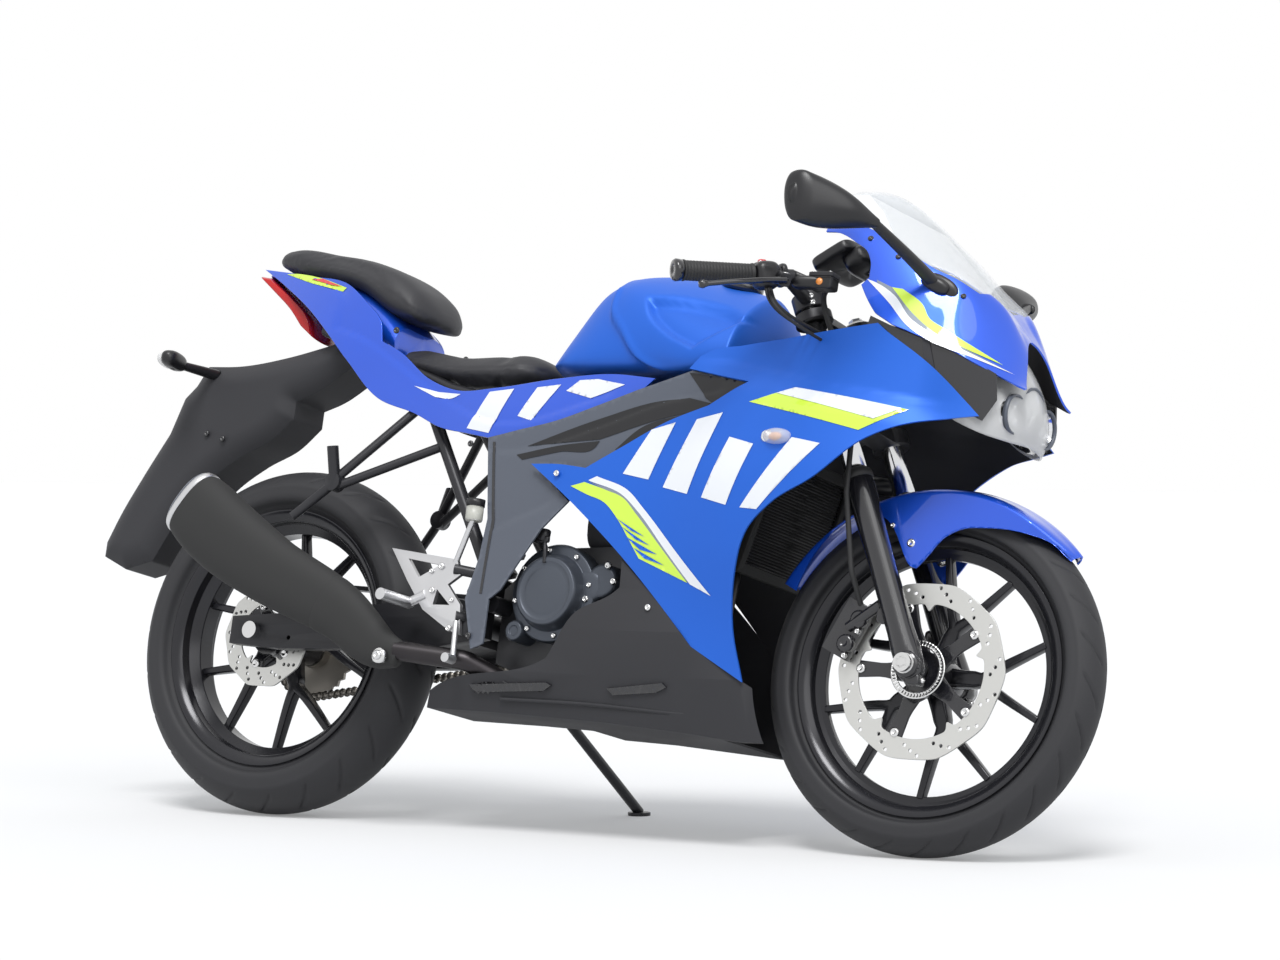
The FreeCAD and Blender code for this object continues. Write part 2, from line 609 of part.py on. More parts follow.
# Engine
CASE_SHARES = [(0.390, 0.245), (0.430, 0.228), (0.590, 0.212), (0.640, 0.270), (0.625, 0.385),
               (0.560, 0.430), (0.450, 0.425), (0.390, 0.360)]
CASE_HALF_WIDTH = 86.0
CYLINDER_SHARES = [(0.535, 0.400), (0.622, 0.370), (0.668, 0.520), (0.580, 0.550)]
CYLINDER_HALF_WIDTH = 62.0
HEAD_BOSS_SHARE = (0.560, 0.520)
CLUTCH_SHARE = (0.486, 0.350)
CLUTCH_RADIUS = 58.0
CLUTCH_BASE_RADIUS = 84.0
CLUTCH_FACE = 150.0
CLUTCH_BASE_FACE = 126.0
ALTERNATOR_SHARE = (0.545, 0.320)
ALTERNATOR_RADIUS = 66.0
ALTERNATOR_FACE = 138.0
CHAIN_CASE_GAP = 4.0
COVER_SCREW_RADIUS = 7.0
COVER_SCREWS = 8
PUMP_SHARE = (0.559, 0.371)
PUMP_RADIUS = 26.0
PUMP_FACE = 124.0
SIGHT_SHARE = (0.436, 0.290)
SIGHT_RADIUS = 15.0
SIGHT_FACE = 132.0
ENGINE_EDGE = 5.0


def engine():
    """Return the crankcase and the inclined cylinder and head, in one casting."""
    case = prism(corners(CASE_SHARES), -CASE_HALF_WIDTH, CASE_HALF_WIDTH)
    cylinder = prism(corners(CYLINDER_SHARES), -CYLINDER_HALF_WIDTH, CYLINDER_HALF_WIDTH)
    middle = pt(HEAD_BOSS_SHARE[0], 0, HEAD_BOSS_SHARE[1])
    half = Vec(0, CASE_HALF_WIDTH, 0)
    head_bosses = rod(middle - half, middle + half, ENGINE_BOSS_RADIUS)
    body = case.fuse([cylinder, head_bosses])
    chain_side = CHAIN_OFFSET - CHAIN_WIDTH / 2 - CHAIN_CASE_GAP
    body = body.cut(belt(SPROCKET_RADIUS + CHAIN_HEIGHT + CHAIN_CASE_GAP,
                         FRONT_SPROCKET_RADIUS + CHAIN_HEIGHT + CHAIN_CASE_GAP * 2,
                         chain_side, CASE_HALF_WIDTH + CUT_OVERRUN))
    shaft = rod(OUTPUT + Vec(0, chain_side - CUT_OVERRUN, 0),
                OUTPUT + Vec(0, CHAIN_OFFSET + SPROCKET_THICKNESS / 2, 0), AXLE_NUT_RADIUS)
    sprocket = rod(OUTPUT + Vec(0, CHAIN_OFFSET - SPROCKET_THICKNESS / 2, 0),
                   OUTPUT + Vec(0, CHAIN_OFFSET + SPROCKET_THICKNESS / 2, 0),
                   FRONT_SPROCKET_RADIUS + CHAIN_TOOTH_GAP)
    return body.fuse([shaft, sprocket]).removeSplitter()


def clutch_cover():
    """Return the round clutch cover on the right of the crankcase."""
    centre = pt(CLUTCH_SHARE[0], 0, CLUTCH_SHARE[1])
    base = rod(centre - Vec(0, CASE_HALF_WIDTH, 0), centre - Vec(0, CLUTCH_BASE_FACE, 0),
               CLUTCH_BASE_RADIUS)
    cap = rod(centre - Vec(0, CLUTCH_BASE_FACE, 0), centre - Vec(0, CLUTCH_FACE, 0), CLUTCH_RADIUS)
    cap = cap.makeChamfer(ENGINE_EDGE, [edge for edge in cap.Edges
                                        if abs(edge.BoundBox.YMin + CLUTCH_FACE) < RUNNING_GAP])
    screws = []
    ring = CLUTCH_BASE_RADIUS - COVER_SCREW_RADIUS / 2
    for step in range(COVER_SCREWS):
        angle = 2 * math.pi * step / COVER_SCREWS
        spot = centre + Vec(ring * math.cos(angle), 0, ring * math.sin(angle))
        screws.append(rod(spot - Vec(0, CASE_HALF_WIDTH, 0),
                          spot - Vec(0, CLUTCH_BASE_FACE + ENGINE_EDGE, 0), COVER_SCREW_RADIUS))
    pump = pt(PUMP_SHARE[0], 0, PUMP_SHARE[1])
    screws.append(rod(pump - Vec(0, CASE_HALF_WIDTH, 0), pump - Vec(0, PUMP_FACE, 0), PUMP_RADIUS))
    sight = pt(SIGHT_SHARE[0], 0, SIGHT_SHARE[1])
    screws.append(rod(sight - Vec(0, CASE_HALF_WIDTH, 0), sight - Vec(0, SIGHT_FACE, 0), SIGHT_RADIUS))
    return base.fuse([cap] + screws)


def alternator_cover():
    """Return the alternator cover on the left of the crankcase."""
    centre = pt(ALTERNATOR_SHARE[0], 0, ALTERNATOR_SHARE[1])
    return rod(centre + Vec(0, CASE_HALF_WIDTH, 0), centre + Vec(0, ALTERNATOR_FACE, 0),
               ALTERNATOR_RADIUS)


# Radiator, leaning forward with the front wheel's arc
RADIATOR_SHARES = [(0.735, 0.390), (0.758, 0.388), (0.800, 0.578), (0.777, 0.580)]
RADIATOR_HALF_WIDTH = 128.0


RADIATOR_STAY_SHARES = [(0.786, 0.24, 0.570), (0.780, 0.22, 0.720)]


def radiator(frame_body):
    """Return the radiator core with the two stays that hang it from the frame."""
    core = prism(corners(RADIATOR_SHARES), -RADIATOR_HALF_WIDTH, RADIATOR_HALF_WIDTH)
    low, high = [pt(x, -y, z) for x, y, z in RADIATOR_STAY_SHARES]
    hanger = rod(low, high, STAY_ROD_RADIUS)
    hangers = []
    for side in (hanger, mirrored(hanger)):
        hangers.append(min(side.cut(frame_body).Solids, key=lambda solid: solid.BoundBox.ZMin))
    return core.fuse(hangers)


# Exhaust
HEADER_RADIUS = 17.0
HEADER_BEND = 50.0
HEADER_SHARES = [(0.650, -0.12, 0.470), (0.705, -0.14, 0.420), (0.690, -0.16, 0.200),
                 (0.450, -0.28, 0.192), (0.372, -0.66, 0.240), (0.280, -0.84, 0.246)]
MUFFLER_SHARES = [(0.287, -0.83, 0.240), (0.262, -0.845, 0.246), (0.190, -0.88, 0.300),
                  (0.060, -0.925, 0.368), (-0.020, -0.94, 0.420), (-0.086, -0.95, 0.476)]
MUFFLER_RADII = [22.0, 36.0, 48.0, 60.0, 68.0, 60.0]
MUFFLER_DEPTH_SHARE = 0.62
MUFFLER_CAP_RADIUS = 50.0
MUFFLER_CAP_LENGTH = 10.0
OUTLET_RADIUS = 20.0
OUTLET_DEPTH = 60.0


def exhaust_header(engine_body):
    """Return the header pipe from the head, under the crankcase, to the muffler."""
    pipe = tube([pt(x, y, z) for x, y, z in HEADER_SHARES], HEADER_RADIUS, HEADER_BEND)
    return seated(pipe, engine_body)


def muffler(header):
    """Return the upswept oval muffler, a loft of ellipses along its axis."""
    points = [pt(x, y, z) for x, y, z in MUFFLER_SHARES]
    axis = (points[-1] - points[0]).normalize()
    wires = []
    for point, radius in zip(points, MUFFLER_RADII):
        circle = Part.Circle(point, axis, radius).toShape()
        matrix = FreeCAD.Matrix()
        matrix.move(-point)
        squash = FreeCAD.Matrix()
        squash.scale(Vec(1, MUFFLER_DEPTH_SHARE, 1))
        back = FreeCAD.Matrix()
        back.move(point)
        wires.append(Part.Wire([circle.transformGeometry(back * squash * matrix)]))
    end = points[-1]
    cap = rod(end - axis * MUFFLER_CAP_LENGTH, end + axis * MUFFLER_CAP_LENGTH,
              MUFFLER_CAP_RADIUS * MUFFLER_DEPTH_SHARE)
    outlet = rod(end - axis * OUTLET_DEPTH, end + axis * MUFFLER_CAP_LENGTH * 2, OUTLET_RADIUS)
    return seated(Part.makeLoft(wires, True, False).fuse(cap), header, outlet)


# Side cowls: one smooth surface trimmed by the panel's side outline
COWL_X_SHARES = [0.42, 0.54, 0.66, 0.78, 0.88, 0.96, 1.03, 1.10]
COWL_Z_SHARES = [0.18, 0.30, 0.42, 0.52, 0.60, 0.68, 0.77]
COWL_Y_SHARES = [[0.71, 0.75, 0.80, 0.82, 0.81, 0.78, 0.73],
                 [0.70, 0.75, 0.84, 0.85, 0.83, 0.79, 0.74],
                 [0.68, 0.75, 0.84, 0.87, 0.84, 0.79, 0.75],
                 [0.63, 0.75, 0.93, 0.97, 0.90, 0.81, 0.77],
                 [0.57, 0.78, 0.97, 1.00, 0.94, 0.86, 0.82],
                 [0.52, 0.71, 0.87, 0.93, 0.87, 0.83, 0.80],
                 [0.47, 0.61, 0.75, 0.81, 0.73, 0.72, 0.71],
                 [0.42, 0.52, 0.61, 0.66, 0.59, 0.57, 0.56]]
COWL_RUN_SHARES = [[(0.500, 0.539), (0.541, 0.533)],
                   [(0.588, 0.563), (0.655, 0.605), (0.713, 0.629)],
                   [(0.763, 0.667)], [(0.672, 0.688)], [(0.685, 0.708)],
                   [(0.702, 0.718), (0.744, 0.726), (0.818, 0.736), (0.935, 0.754)],
                   [(0.948, 0.742)], [(1.006, 0.696), (1.059, 0.642), (1.077, 0.621)],
                   [(1.042, 0.614), (1.007, 0.607), (0.950, 0.578), (0.888, 0.514),
                    (0.835, 0.477), (0.801, 0.438), (0.784, 0.382), (0.777, 0.305),
                    (0.792, 0.223)],
                   [(0.718, 0.271)],
                   [(0.663, 0.339), (0.592, 0.418), (0.524, 0.482), (0.454, 0.540)]]


def side_cowl():
    """Return the right side cowl."""
    wall = sheet(COWL_X_SHARES, COWL_Z_SHARES, COWL_Y_SHARES, PANEL_WALL)
    return wall.common(prism(COWL_RUN_SHARES, -WIDE, 0))


# Frame covers and the dark corner panel above them
COVER_X_SHARES = [0.36, 0.50, 0.64, 0.78]
COVER_Z_SHARES = [0.24, 0.40, 0.55, 0.70]
COVER_Y_SHARES = [[0.75, 0.76, 0.74, 0.70],
                  [0.77, 0.79, 0.77, 0.72],
                  [0.79, 0.81, 0.78, 0.73],
                  [0.81, 0.82, 0.80, 0.76]]
COVER_RUN_SHARES = [[(0.413, 0.596), (0.475, 0.611), (0.535, 0.634), (0.593, 0.658)],
                    [(0.672, 0.687)], [(0.762, 0.668)],
                    [(0.713, 0.629), (0.655, 0.605), (0.588, 0.563)],
                    [(0.541, 0.533), (0.500, 0.539), (0.454, 0.540)],
                    [(0.514, 0.484)], [(0.477, 0.441)], [(0.425, 0.347)], [(0.408, 0.332)],
                    [(0.407, 0.264)], [(0.388, 0.255)], [(0.370, 0.332)], [(0.384, 0.395)],
                    [(0.389, 0.457)], [(0.370, 0.585)]]


def frame_cover():
    """Return the right frame cover, let in behind the edges of its neighbours."""
    wall = sheet(COVER_X_SHARES, COVER_Z_SHARES, COVER_Y_SHARES, PANEL_WALL)
    panel = wall.common(prism(COVER_RUN_SHARES, -WIDE, 0))
    return panel.cut(prism(COWL_RUN_SHARES, -WIDE, 0))


# Tail side panels
TAIL_X_SHARES = [-0.15, -0.06, 0.05, 0.15, 0.26, 0.37, 0.49, 0.63]
TAIL_Z_SHARES = [0.51, 0.62, 0.69, 0.78, 0.87, 0.92]
TAIL_Y_SHARES = [[0.28, 0.26, 0.24, 0.19, 0.10, 0.06],
                 [0.40, 0.38, 0.36, 0.33, 0.24, 0.17],
                 [0.52, 0.50, 0.47, 0.44, 0.35, 0.28],
                 [0.56, 0.53, 0.50, 0.46, 0.39, 0.33],
                 [0.61, 0.58, 0.53, 0.49, 0.42, 0.38],
                 [0.67, 0.66, 0.57, 0.51, 0.45, 0.42],
                 [0.72, 0.70, 0.62, 0.54, 0.47, 0.43],
                 [0.74, 0.72, 0.70, 0.61, 0.52, 0.47]]
TAIL_RUN_SHARES = [[(-0.025, 0.877), (0.060, 0.855), (0.100, 0.823), (0.135, 0.784), (0.141, 0.755)],
                   [(0.175, 0.737), (0.234, 0.690), (0.288, 0.669), (0.355, 0.671),
                    (0.450, 0.683), (0.536, 0.688), (0.613, 0.678)],
                   [(0.593, 0.658), (0.535, 0.634), (0.475, 0.611), (0.413, 0.596), (0.368, 0.586)],
                   [(0.328, 0.595), (0.272, 0.608), (0.223, 0.632), (0.155, 0.658), (0.081, 0.730)],
                   [(0.046, 0.768), (0.000, 0.812), (-0.062, 0.858), (-0.126, 0.899)]]


def tail_side():
    """Return the right tail side panel, which runs forward below the tank."""
    wall = sheet(TAIL_X_SHARES, TAIL_Z_SHARES, TAIL_Y_SHARES, PANEL_WALL)
    panel = wall.common(prism(TAIL_RUN_SHARES, -BODY_HALF_WIDTH, 0))
    return panel.cut(prism(COVER_RUN_SHARES, -BODY_HALF_WIDTH, 0))


# Tail core between the side panels, under the pillion seat
CORE_STATIONS = [(-0.115, [(0, 0.882), (0.06, 0.884), (0.09, 0.888), (0.06, 0.893), (0, 0.895)]),
                 (-0.050, [(0, 0.850), (0.18, 0.853), (0.21, 0.866), (0.16, 0.878), (0, 0.883)]),
                 (0.030, [(0, 0.790), (0.27, 0.795), (0.30, 0.830), (0.24, 0.860), (0, 0.868)]),
                 (0.090, [(0, 0.765), (0.31, 0.770), (0.34, 0.800), (0.28, 0.832), (0, 0.842)]),
                 (0.150, [(0, 0.742), (0.34, 0.745), (0.36, 0.760), (0.30, 0.780), (0, 0.786)])]


def tail_core():
    """Return the closed box of the tail between its side panels."""
    return station_loft(CORE_STATIONS)


# Fuel tank, as long as the room between the rider's seat and the upper fork clamp
TANK_REAR_SHARE = 0.406
TANK_HEAD_GAP = 82.0
TANK_CAP_RADIUS = 36.0
TANK_CAP_HEIGHT = 8.0
TANK_CAP_SHARES = (0.783, 0.850)
TANK_FRONT = head_point(HEAD_HIGH_SHARE).x - TANK_HEAD_GAP
TANK_STATIONS = [
    (0.000, [(0, 0.705), (0.26, 0.706), (0.34, 0.714), (0.24, 0.728), (0, 0.733)]),
    (0.101, [(0, 0.695), (0.40, 0.697), (0.50, 0.714), (0.30, 0.775), (0, 0.792)]),
    (0.223, [(0, 0.690), (0.46, 0.692), (0.57, 0.716), (0.36, 0.825), (0, 0.851)]),
    (0.374, [(0, 0.688), (0.50, 0.690), (0.61, 0.716), (0.47, 0.830), (0, 0.866)]),
    (0.579, [(0, 0.688), (0.54, 0.690), (0.65, 0.716), (0.57, 0.802), (0, 0.866)]),
    (0.783, [(0, 0.690), (0.58, 0.692), (0.69, 0.708), (0.60, 0.775), (0, 0.850)]),
    (1.000, [(0, 0.698), (0.56, 0.700), (0.66, 0.712), (0.53, 0.768), (0, 0.828)])]


def tank_share(along):
    """Return the wheelbase share of a place along the tank."""
    rear = TANK_REAR_SHARE * WHEELBASE
    return (rear + along * (TANK_FRONT - rear)) / WHEELBASE


def fuel_tank():
    """Return the fuel tank with its filler cap."""
    body = station_loft([(tank_share(along), half) for along, half in TANK_STATIONS])
    along, z_share = TANK_CAP_SHARES
    spot = pt(tank_share(along), 0, z_share)
    tilt = STEER_UP * TANK_CAP_HEIGHT
    return body.fuse(rod(spot - tilt * 2, spot + tilt, TANK_CAP_RADIUS))


# Seats
RIDER_STATIONS = [
    (0.150, [(0, 0.712), (0.30, 0.714), (0.33, 0.730), (0.26, 0.752), (0, 0.757)]),
    (0.200, [(0, 0.700), (0.36, 0.702), (0.42, 0.722), (0.32, 0.740), (0, 0.743)]),
    (0.260, [(0, 0.690), (0.40, 0.692), (0.48, 0.708), (0.38, 0.727), (0, 0.730)]),
    (0.330, [(0, 0.688), (0.42, 0.690), (0.49, 0.706), (0.38, 0.726), (0, 0.731)]),
    (0.385, [(0, 0.690), (0.36, 0.692), (0.42, 0.708), (0.30, 0.725), (0, 0.730)]),
    (0.403, [(0, 0.694), (0.22, 0.696), (0.27, 0.706), (0.18, 0.718), (0, 0.722)])]
PILLION_STATIONS = [
    (-0.106, [(0, 0.897), (0.10, 0.898), (0.14, 0.906), (0.10, 0.918), (0, 0.922)]),
    (-0.060, [(0, 0.886), (0.22, 0.888), (0.28, 0.900), (0.20, 0.920), (0, 0.926)]),
    (0.010, [(0, 0.874), (0.30, 0.876), (0.36, 0.888), (0.26, 0.906), (0, 0.913)]),
    (0.080, [(0, 0.850), (0.36, 0.852), (0.42, 0.868), (0.30, 0.890), (0, 0.897)]),
    (0.140, [(0, 0.806), (0.38, 0.810), (0.44, 0.830), (0.32, 0.862), (0, 0.869)]),
    (0.188, [(0, 0.782), (0.30, 0.784), (0.36, 0.798), (0.28, 0.820), (0, 0.827)])]


def rider_seat():
    """Return the rider's seat."""
    return station_loft(RIDER_STATIONS)


def pillion_seat():
    """Return the pillion seat."""
    return station_loft(PILLION_STATIONS)


# Belly pan: a trough of thin sections trimmed to its side outline
PAN_STATIONS = [(0.300, 0.56, 0.168), (0.425, 0.57, 0.165), (0.581, 0.57, 0.158),
                (0.702, 0.57, 0.148), (0.785, 0.53, 0.140), (0.826, 0.47, 0.141)]
PAN_WALL_SHARES = [(0.70, 0.225), (0.755, 0.290), (0.80, 0.400)]
PAN_RUN_SHARES = [[(0.425, 0.155)], [(0.785, 0.130)], [(0.822, 0.135)], [(0.822, 0.170)],
                  [(0.817, 0.207)], [(0.792, 0.223)], [(0.718, 0.271)],
                  [(0.663, 0.339), (0.608, 0.396)], [(0.608, 0.355)],
                  [(0.582, 0.336), (0.545, 0.317), (0.518, 0.275), (0.503, 0.247)],
                  [(0.431, 0.224), (0.365, 0.215), (0.317, 0.193)], [(0.306, 0.160)]]
WHEEL_WELL_SHARES = [(0.752, 0.100), (0.900, 0.100), (0.900, 0.260), (0.752, 0.260)]
PAN_TONGUE_SHARE = 0.44
TYRE_SWEEP_GAP = 8.0
SWEEP_REACH_SHARE = 3.0
STAND_NOTCH_INNER_SHARE = 0.10
STAND_NOTCH_SHARES = [(0.290, 0.100), (0.500, 0.100), (0.500, 0.232), (0.290, 0.232)]


def tyre_sweep():
    """Return the room that the front tyre's rear half sweeps as the bars turn."""
    circle = Part.Circle(FRONT_AXLE, Vec(0, 1, 0), FRONT_TYRE_RADIUS + TYRE_SWEEP_GAP)
    disc = Part.Face(Part.Wire([circle.toShape()]))
    reach = FRONT_TYRE_RADIUS * SWEEP_REACH_SHARE
    low = STEER_GROUND - STEER_UP * reach
    high = STEER_GROUND + STEER_UP * reach
    ring = [low, high, high - STEER_AHEAD * reach, low - STEER_AHEAD * reach]
    behind = disc.common(Part.Face(Part.makePolygon(ring + ring[:1])))
    return behind.revolve(STEER_GROUND, STEER_UP, 360)


def belly_pan():
    """Return the belly pan, notched on the left for the side stand."""
    rings = []
    for x_share, y_share, z_share in PAN_STATIONS:
        narrow = y_share / PAN_STATIONS[1][1]
        outer = [pt(x_share, -y * narrow, z) for y, z in reversed(PAN_WALL_SHARES)]
        outer += [pt(x_share, -y_share, z_share), pt(x_share, y_share, z_share)]
        outer += [pt(x_share, y * narrow, z) for y, z in PAN_WALL_SHARES]
        inner = []
        for point in reversed(outer):
            inner.append(Vec(point.x, point.y - math.copysign(PANEL_WALL, point.y),
                             point.z + (PANEL_WALL if point.z < z_share * BODY_HEIGHT + RUNNING_GAP else 0)))
        rings.append(outer + inner)
    trough = polygon_loft(rings)
    trimmed = trough.common(prism(PAN_RUN_SHARES, -BODY_HALF_WIDTH, BODY_HALF_WIDTH))
    notch = prism(corners(STAND_NOTCH_SHARES), BODY_HALF_WIDTH * STAND_NOTCH_INNER_SHARE,
                  BODY_HALF_WIDTH)
    wheel_well = BODY_HALF_WIDTH * PAN_TONGUE_SHARE
    well = prism(corners(WHEEL_WELL_SHARES), -wheel_well, wheel_well)
    cowls = prism(COWL_RUN_SHARES, -WIDE, WIDE)
    return seated(trimmed, notch, well, cowls, tyre_sweep())


# Nose: one arched shell; the screen is cut out of its top
NOSE_STATIONS = [
    (0.828, [(0.59, 0.890), (0.57, 0.912), (0.29, 0.975), (0, 0.995)]),
    (0.873, [(0.66, 0.876), (0.61, 0.913), (0.31, 0.972), (0, 0.988)]),
    (0.905, [(0.78, 0.800), (0.61, 0.899), (0.32, 0.953), (0, 0.968)]),
    (0.952, [(0.78, 0.754), (0.60, 0.868), (0.31, 0.912), (0, 0.923)]),
    (1.000, [(0.71, 0.729), (0.55, 0.837), (0.29, 0.866), (0, 0.873)]),
    (1.032, [(0.65, 0.716), (0.48, 0.818), (0.26, 0.829), (0, 0.831)]),
    (1.065, [(0.57, 0.697), (0.29, 0.789), (0.14, 0.788), (0, 0.785)]),
    (1.098, [(0.45, 0.679), (0.24, 0.718), (0.12, 0.729), (0, 0.732)]),
    (1.117, [(0.38, 0.671), (0.21, 0.674), (0.10, 0.675), (0, 0.675)])]
SCREEN_RUN_SHARES = [[(0.876, 0.920), (0.905, 0.906), (0.960, 0.870), (1.021, 0.832), (1.050, 0.812)],
                     [(1.060, 0.850)], [(0.900, 1.050)], [(0.780, 1.050)], [(0.780, 0.920)]]
COWL_TRIM_RUN_SHARES = [[(0.938, 0.761), (0.918, 0.789), (0.905, 0.812)], [(0.913, 0.824)],
                        [(0.908, 0.850), (0.898, 0.870), (0.884, 0.879), (0.852, 0.898)],
                        [(0.815, 0.905)], [(0.815, 1.050)], [(1.150, 1.050)], [(1.150, 0.660)],
                        [(1.114, 0.671)],
                        [(1.098, 0.679), (1.065, 0.697), (1.030, 0.718), (0.979, 0.740)]]


def nose_shell(wall):
    """Return the arched nose shell."""
    rings = []
    for x_share, half in NOSE_STATIONS:
        right = [pt(x_share, -y, z) for y, z in half]
        left = [pt(x_share, y, z) for y, z in reversed(half) if y > 0]
        outer = right + left
        anchor = pt(x_share, 0, half[0][1])
        inner = []
        for point in reversed(outer):
            toward = (anchor - point)
            length = toward.Length
            inner.append(point + toward * (wall / length) if length > wall else point)
        rings.append(outer + inner)
    return polygon_loft(rings, ruled=False)


def nose_pieces():
    """Return the front cowl and the windscreen cut out of it."""
    shell = nose_shell(PANEL_WALL)
    opening = prism(SCREEN_RUN_SHARES, -WIDE, WIDE)
    trim = prism(COWL_TRIM_RUN_SHARES, -WIDE, WIDE)
    return shell.common(trim).cut(opening), shell.common(opening)


# Headlight under the nose
HEADLIGHT_STATIONS = [
    (0.955, [(0, 0.690), (0.50, 0.692), (0.66, 0.712), (0.56, 0.728), (0, 0.732)]),
    (1.020, [(0, 0.640), (0.46, 0.643), (0.58, 0.672), (0.48, 0.700), (0, 0.704)]),
    (1.070, [(0, 0.610), (0.40, 0.614), (0.50, 0.640), (0.38, 0.676), (0, 0.686)]),
    (1.104, [(0, 0.604), (0.20, 0.608), (0.30, 0.640), (0.20, 0.664), (0, 0.670)])]


def headlight():
    """Return the headlight body with its clear face."""
    return station_loft(HEADLIGHT_STATIONS)


# Rear fender and plate holder, a channel over the tyre that ends in the flap
FENDER_RUN_SHARES = [[(-0.132, 0.729), (-0.048, 0.743), (0.022, 0.762)], [(0.045, 0.772)],
                     [(0.085, 0.740)], [(0.060, 0.722)], [(0.007, 0.683), (-0.025, 0.669)],
                     [(-0.025, 0.640)],
                     [(-0.057, 0.606), (-0.110, 0.575), (-0.160, 0.535), (-0.205, 0.470),
                      (-0.240, 0.400)],
                     [(-0.285, 0.385)], [(-0.327, 0.406)], [(-0.327, 0.430)],
                     [(-0.310, 0.475), (-0.276, 0.547), (-0.241, 0.615)], [(-0.223, 0.675)],
                     [(-0.205, 0.696)], [(-0.188, 0.729)]]
FENDER_INSIDE_SHARES = [(-0.150, 0.710), (-0.015, 0.720), (-0.015, 0.630), (-0.180, 0.400),
                        (-0.230, 0.400), (-0.305, 0.430), (-0.220, 0.625), (-0.205, 0.670)]
FENDER_HALF_WIDTH_SHARE = 0.2925
FENDER_HALF_WIDTH = FENDER_HALF_WIDTH_SHARE * BODY_HALF_WIDTH


def rear_fender():
    """Return the rear fender as a channel that is open towards the tyre."""
    body = prism(FENDER_RUN_SHARES, -FENDER_HALF_WIDTH, FENDER_HALF_WIDTH)
    inside = FENDER_HALF_WIDTH - PANEL_WALL
    return body.cut(prism(corners(FENDER_INSIDE_SHARES), -inside, inside))


TAILLIGHT_SHARES = [(-0.129, 0.888), (-0.098, 0.860), (-0.057, 0.821), (-0.032, 0.789),
                    (-0.012, 0.772), (-0.020, 0.800), (-0.060, 0.845), (-0.112, 0.885)]
TAILLIGHT_HALF_WIDTH = 40.0


def taillight():
    """Return the taillight."""
    return prism(corners(TAILLIGHT_SHARES), -TAILLIGHT_HALF_WIDTH, TAILLIGHT_HALF_WIDTH)


# Mirrors
MIRROR_RINGS = [(1.76, [(0.874, 0.927), (0.904, 0.936), (0.908, 0.864), (0.881, 0.857)]),
                (1.53, [(0.878, 0.932), (0.947, 0.914), (0.954, 0.868), (0.897, 0.852)]),
                (1.28, [(0.951, 0.886), (0.971, 0.882), (0.971, 0.868), (0.953, 0.868)])]
STAY_SHARES = [(0.961, 1.28, 0.877), (0.995, 0.60, 0.818)]
STAY_RADIUS = 7.0


def mirror():
    """Return the right mirror: its head and its stay."""
    rings = [[pt(x, -y, z) for x, z in ring] for y, ring in MIRROR_RINGS]
    head = polygon_loft(rings)
    stay = rod(pt(STAY_SHARES[0][0], -STAY_SHARES[0][1], STAY_SHARES[0][2]),
               pt(STAY_SHARES[1][0], -STAY_SHARES[1][1], STAY_SHARES[1][2]), STAY_RADIUS)
    return head.fuse(stay)


# Fork, clamps and bars, drawn with the bars straight
FORK_TOP_SHARE = 0.806
FORK_CAP_RADIUS = 15.0
FORK_CAP_HEIGHT = 9.0


def fork_legs():
    """Return the two fork legs: lower slider, upper tube and its cap, bored for the axle."""
    legs = []
    for side in (-1, 1):
        low = FRONT_AXLE + Vec(0, side * FORK_HALF_SPACING, 0)
        high = head_point(FORK_TOP_SHARE, FORK_OFFSET, side * FORK_HALF_SPACING)
        foot = low - STEER_UP * FORK_SLIDER_RADIUS
        top = low + STEER_UP * FORK_SLIDER_LENGTH
        slider = rod(foot, top, FORK_SLIDER_RADIUS)
        cap = rod(high, high + STEER_UP * FORK_CAP_HEIGHT, FORK_CAP_RADIUS)
        legs.append(slider.fuse([rod(top, high, FORK_TUBE_RADIUS), cap]))
    bore_reach = Vec(0, FORK_HALF_SPACING + FORK_SLIDER_RADIUS + CUT_OVERRUN, 0)
    bore = rod(FRONT_AXLE - bore_reach, FRONT_AXLE + bore_reach, FRONT_AXLE_RADIUS)
    return Part.makeCompound([leg.cut(bore) for leg in legs])


def clamp_plate(centre_share, thickness_up):
    """Return one clamp plate between the fork tubes."""
    outline = []
    ring = FORK_TUBE_RADIUS + CLAMP_MARGIN
    side = FORK_HALF_SPACING
    base = head_point(centre_share)
    cylinders = []
    for offset, ahead in ((-side, FORK_OFFSET), (side, FORK_OFFSET)):
        place = base + Vec(0, offset, 0) + STEER_AHEAD * ahead
        cylinders.append(Part.makeCylinder(ring, thickness_up, place, STEER_UP))
    web_half = ring * CLAMP_WEB_SHARE
    for offset, ahead in ((-side, FORK_OFFSET - web_half), (side, FORK_OFFSET - web_half),
                          (side, FORK_OFFSET + web_half), (-side, FORK_OFFSET + web_half)):
        outline.append(base + Vec(0, offset, 0) + STEER_AHEAD * ahead)
    web = Part.Face(Part.makePolygon(outline + outline[:1])).extrude(STEER_UP * thickness_up)
    boss = Part.makeCylinder(ring, thickness_up, base, STEER_UP)
    plate = web.fuse(cylinders + [boss])
    for offset in (-side, side):
        place = base + Vec(0, offset, 0) + STEER_AHEAD * FORK_OFFSET - STEER_UP * CUT_OVERRUN
        plate = plate.cut(Part.makeCylinder(FORK_TUBE_RADIUS, thickness_up + CUT_OVERRUN * 2,
                                            place, STEER_UP))
    return plate


